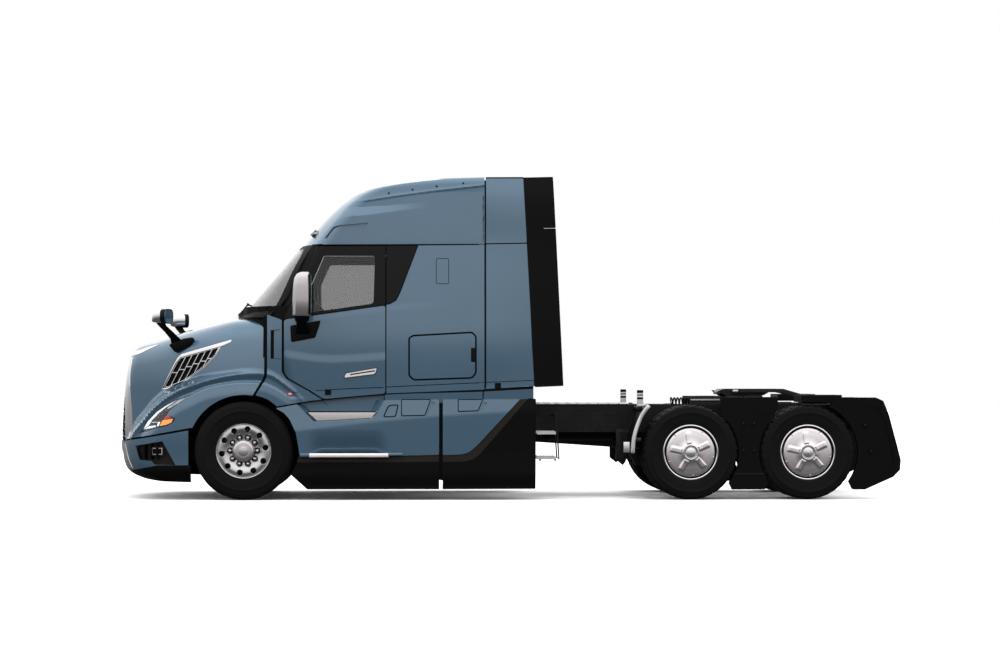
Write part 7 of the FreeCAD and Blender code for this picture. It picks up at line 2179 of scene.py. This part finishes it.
place(grease_and_release(), "chassis", "aluminium_satin")


def plate_stops():
    """The bright stop blocks at the plate's front."""
    stops = [side_brick("stop", side, (5.262, 0.405, 1.134), (5.320, 0.4455, 1.160), SATIN, 0.003)
             for side in (LEFT, RIGHT)]
    return joined("fifth_wheel_stops", stops)


place(plate_stops(), "fifth_wheel", "aluminium_satin")
FLANGE = [(5.120, 1.152), (5.700, 1.152), (5.620, 1.105), (5.560, 1.082), (5.220, 1.082), (5.150, 1.120)]
flanges = [prism(FLANGE, y - 0.007, y + 0.007, "y", "flange", CHASSIS) for y in (-0.36, 0.36)]
place(joined("fifth_wheel_flanges", flanges), "fifth_wheel", "chassis_black")

# %% Seams of the rear panels, with painted shade and a painted highlight
def seam_shade_highlight_and_bolts(side, name):
    parts = []
    # Each strip's finish is in light. The black strip at the upper seam is painted shade in its groove. The
    # lighter dark-trim strip at the lower seam is a painted highlight along the panel's edge.
    for z, x0, x1, light in ((0.916, 5.075, 5.600, BLACK), (0.272, 5.180, 5.505, DARK_TRIM)):
        parts.append(slab([(x0, z - 0.004), (x1, z - 0.004), (x1 - 0.004, z + 0.004),
                           (x0 + 0.004, z + 0.004)], 1.1875, 0.006, "seam", light, 0.001, side))
    for x, z, y in ((5.282, 0.810, 1.194), (5.395, 0.810, 1.194), (5.282, 0.525, 1.194),
                    (5.395, 0.525, 1.194), (6.575, 0.790, 1.214), (6.635, 0.515, 1.214)):
        parts.append(bolt((x, y, z), side, 0.006, 0.022))
    return joined("panel_seams_" + name, parts)


for side, name in SIDES:
    place(seam_shade_highlight_and_bolts(side, name), "chassis", "black_plastic")

# %% [markdown]
# ## Seats and bunk
# A cushion is a cover stuffed with foam. Its form is a stack of rounded sections; cloth under a little
# pressure then swells between the edges, and a cap on how far each point may move keeps the seams where they
# are sewn.

# %% Stuffed pieces
def plumped(piece, voxel, cap, material):
    applied(piece, "REMESH", mode="VOXEL", voxel_size=voxel)
    before = points_of(piece)
    cloth = piece.modifiers.new("cloth", "CLOTH")
    cloth.settings.use_pressure, cloth.settings.uniform_pressure_force = True, 4.0
    cloth.settings.effector_weights.gravity = 0.0
    cloth.point_cache.frame_start, cloth.point_cache.frame_end = 1, 20
    for step in range(1, 21):
        bpy.context.scene.frame_set(step)
    graph = bpy.context.evaluated_depsgraph_get()
    swollen = bpy.data.meshes.new_from_object(piece.evaluated_get(graph), depsgraph=graph)
    piece.modifiers.clear()
    piece.data = swollen
    moved = points_of(piece) - before
    size = np.linalg.norm(moved, axis=1)[:, None]
    moved *= np.minimum(1, cap / np.maximum(size, 1e-9))
    piece.data.vertices.foreach_set("co", (before + moved).ravel())
    bpy.context.scene.frame_set(1)
    applied(piece, "SUBSURF", levels=1)
    refinished(piece.data, material)
    smoothed(piece.data)
    return piece


SEAT_X, SEAT_Y = 1.13, 0.54
# z, shift of the middle in x, half length, half width
CUSHION = [(1.548, -0.020, 0.225, 0.225), (1.565, -0.020, 0.238, 0.238), (1.610, -0.020, 0.242, 0.242),
           (1.640, -0.020, 0.232, 0.232), (1.652, -0.020, 0.200, 0.205)]
BACKREST = [(1.640, 0.222, 0.030, 0.200), (1.680, 0.226, 0.048, 0.226), (1.850, 0.248, 0.052, 0.230),
            (2.100, 0.280, 0.046, 0.222), (2.260, 0.300, 0.036, 0.195), (2.288, 0.304, 0.020, 0.170)]
HEADREST = [(2.306, 0.303, 0.020, 0.110), (2.325, 0.303, 0.034, 0.128), (2.400, 0.305, 0.034, 0.128),
            (2.445, 0.306, 0.022, 0.110)]


def cushion(name, table, y):
    return stack(name, [section((SEAT_X + shift, y, z), half, wide, "z", 4.0, 48)
                        for z, shift, half, wide in table], SEAT_CLOTH)


for side, name in SIDES:
    y = side * SEAT_Y
    for part, table in (("cushion", CUSHION), ("backrest", BACKREST), ("headrest", HEADREST)):
        piece = plumped(cushion("seat_%s_%s" % (part, name), table, y), 0.014, 0.010, SEAT_CLOTH)
        place(piece, "chassis", "fabric", *(["seats"] if (side, part) == (LEFT, "cushion") else []))
    base = stack("base", [section((SEAT_X, y, 1.212), 0.19, 0.18, "z", 6),
                          section((SEAT_X, y, 1.250), 0.19, 0.18, "z", 6),
                          section((SEAT_X, y, 1.270), 0.15, 0.14, "z", 5),
                          section((SEAT_X, y, 1.480), 0.14, 0.13, "z", 5),
                          section((SEAT_X, y, 1.500), 0.20, 0.19, "z", 6),
                          section((SEAT_X, y, 1.546), 0.20, 0.19, "z", 6)], GREY_TRIM)
    posts = [tube("post", [(SEAT_X + 0.295, y + v, 2.24), (SEAT_X + 0.303, y + v, 2.34)], 0.006, STEEL, 10, 1)
             for v in (-0.06, 0.06)]
    place(joined("seat_base_" + name, [base, *posts]), "chassis", "interior")

MATTRESS = [(1.858, 0.415, 1.025), (1.875, 0.425, 1.035), (1.960, 0.425, 1.035), (1.980, 0.410, 1.020)]
loops = [section((2.046, 0, z), half, wide, "z", 12.0, 64) for z, half, wide in MATTRESS]
mattress = stack("bunk_mattress", loops, BUNK_CLOTH)
place(plumped(mattress, 0.030, 0.012, BUNK_CLOTH), "chassis", "fabric")
deck = prism([(1.585, 1.793), (2.478, 1.793), (2.478, 1.850), (1.600, 1.850), (1.585, 1.838)], -1.115, 1.115,
             name="bunk_deck", material=GREY_TRIM)
place(deck, "chassis", "interior", "bunk")

# %% [markdown]
# ## Solids that keep their mesh
# Some solids are right as they are, such as the frame rails and the axles. They keep their mesh, and this
# table gives the ones whose finish isn't simply that of their slot.

# %% Finishes of single nodes
# The cab's floor, side, door and extender solids show only through the skins' seams. They get black rubber so
# that the seams read dark: painted shade in the gaps.
NODE_FINISH = {"cab_floor": SEAL, "side_extenders": SEAL, "cab_back": PAINT}
for name in frame["nodes"]:
    if name.startswith(("cab_side", "door_left", "door_right", "baggage_door")):
        NODE_FINISH[name] = SEAL
print("black behind the seams:", [name for name, finish in NODE_FINISH.items() if finish is SEAL])

# %% [markdown]
# ## The camera, floor and light
# The truck is seen from far away with a long lens, which keeps its lines parallel, as pictures of vehicles
# do. A white world lights it evenly, like a studio tent. A large soft lamp above and in front gives the
# paint its gradient, and a pale seamless floor takes a soft shadow.

# %% Camera
FOCAL_MM, SENSOR_MM = 92.16, 36.0
CAMERA_AT = (-0.9775, -28.22, 1.266)
CAMERA_TURN = (91.052, 0, -1.90)          # degrees


def camera():
    lens = bpy.data.cameras.new("camera")
    lens.lens, lens.sensor_width, lens.clip_end = FOCAL_MM, SENSOR_MM, 200
    viewer = bpy.data.objects.new("camera", lens)
    bpy.context.scene.collection.objects.link(viewer)
    viewer.location = CAMERA_AT
    viewer.rotation_euler = [math.radians(angle) for angle in CAMERA_TURN]
    bpy.context.scene.camera = viewer
    return viewer


print("camera at", tuple(camera().location))

# %% World, floor and lamps
def backdrop():
    """White to the camera. To the truck it is a tent: bright overhead, dim towards the floor."""
    world = bpy.data.worlds.new("studio")
    world.use_nodes = True
    tree = Graph(world.node_tree)
    aim = tree.add("ShaderNodeTexCoord")
    split = tree.add("ShaderNodeSeparateXYZ", {}, {0: tree.wire(aim, "Generated")})
    tent = tree.add("ShaderNodeValToRGB", {"stops": [(place, (glow, glow, glow)) for place, glow in TENT]},
                    {0: tree.wire(split, "Z") * 0.5 + 0.5})
    seen = tree.wire(tree.add("ShaderNodeLightPath"), "Is Camera Ray")
    light = world.node_tree.nodes["Background"]
    light.inputs["Color"].default_value = (1.0, 1.0, 1.0, 1)
    power = seen + (1 - seen) * (tree.wire(tent) * TENT_POWER)
    world.node_tree.links.new(power.socket, light.inputs["Strength"])
    return world


# place 0 is straight down, 0.5 the horizon and 1 straight up
TENT = [(0.42, 0.08), (0.485, 0.21), (0.522, 0.52), (0.56, 0.84), (0.66, 1.05), (0.85, 1.3)]
TENT_POWER = 1.5


def studio():
    scene = bpy.context.scene
    scene.view_settings.view_transform = "Standard"
    scene.world = backdrop()
    floor = Finish("studio_floor", (0.95, 0.95, 0.95), 0.8)
    floor.feed("Base Color", floor.mix(floor.noise(0.2), (0.94, 0.94, 0.94), (0.96, 0.96, 0.96)))
    bpy.ops.mesh.primitive_plane_add(size=160, location=(0, 0, 0))
    ground = bpy.context.object
    ground.name = "studio_ground"
    ground.visible_glossy = ground.visible_diffuse = False
    ground.data.materials.append(floor.material)
    for name, place, aim, size, power in (
        ("overhead_softbox", (-1.0, -3.0, 9.0), (0, 0, 1.5), (12, 6), 350),
        ("front_softbox", (-11.0, -8.0, 5.0), (-2, 0, 1.5), (6, 5), 150),
    ):
        lamp = bpy.data.lights.new(name, "AREA")
        lamp.shape, lamp.size, lamp.size_y, lamp.energy = "RECTANGLE", *size, power
        holder = bpy.data.objects.new(name, lamp)
        scene.collection.objects.link(holder)
        holder.visible_glossy = False
        holder.location = place
        holder.rotation_euler = (Vector(aim) - Vector(place)).to_track_quat("-Z", "Y").to_euler()


studio()
print("studio ready")

# %% [markdown]
# ## Finishing
# Every CAD solid that is still shown gets the finish of its slot.

# %% Finishes of the solids that stay
SLOT_FINISH = {
    "aluminium": TURNED, "aluminium_satin": SATIN, "black_gloss": GLOSS, "black_plastic": BLACK, "cast": CAST,
    "chassis_black": CHASSIS, "chrome": CHROME, "fabric": SEAT_CLOTH, "glass": WINDOW, "interior": GREY_TRIM,
    "lamp": LENS, "paint": PAINT, "steel": STEEL, "tyre": RUBBER,
}


for name, node in frame["nodes"].items():
    if node.hide_render:
        continue
    slot_name = node.material_slots[0].material.name.split(".")[0] if node.material_slots else "chassis_black"
    node.material_slots[0].material = NODE_FINISH.get(name) or SLOT_FINISH.get(slot_name, CHASSIS)
    print("%-24s keeps its solid, in %s" % (name, node.material_slots[0].material.name))

# %% The json module
import json
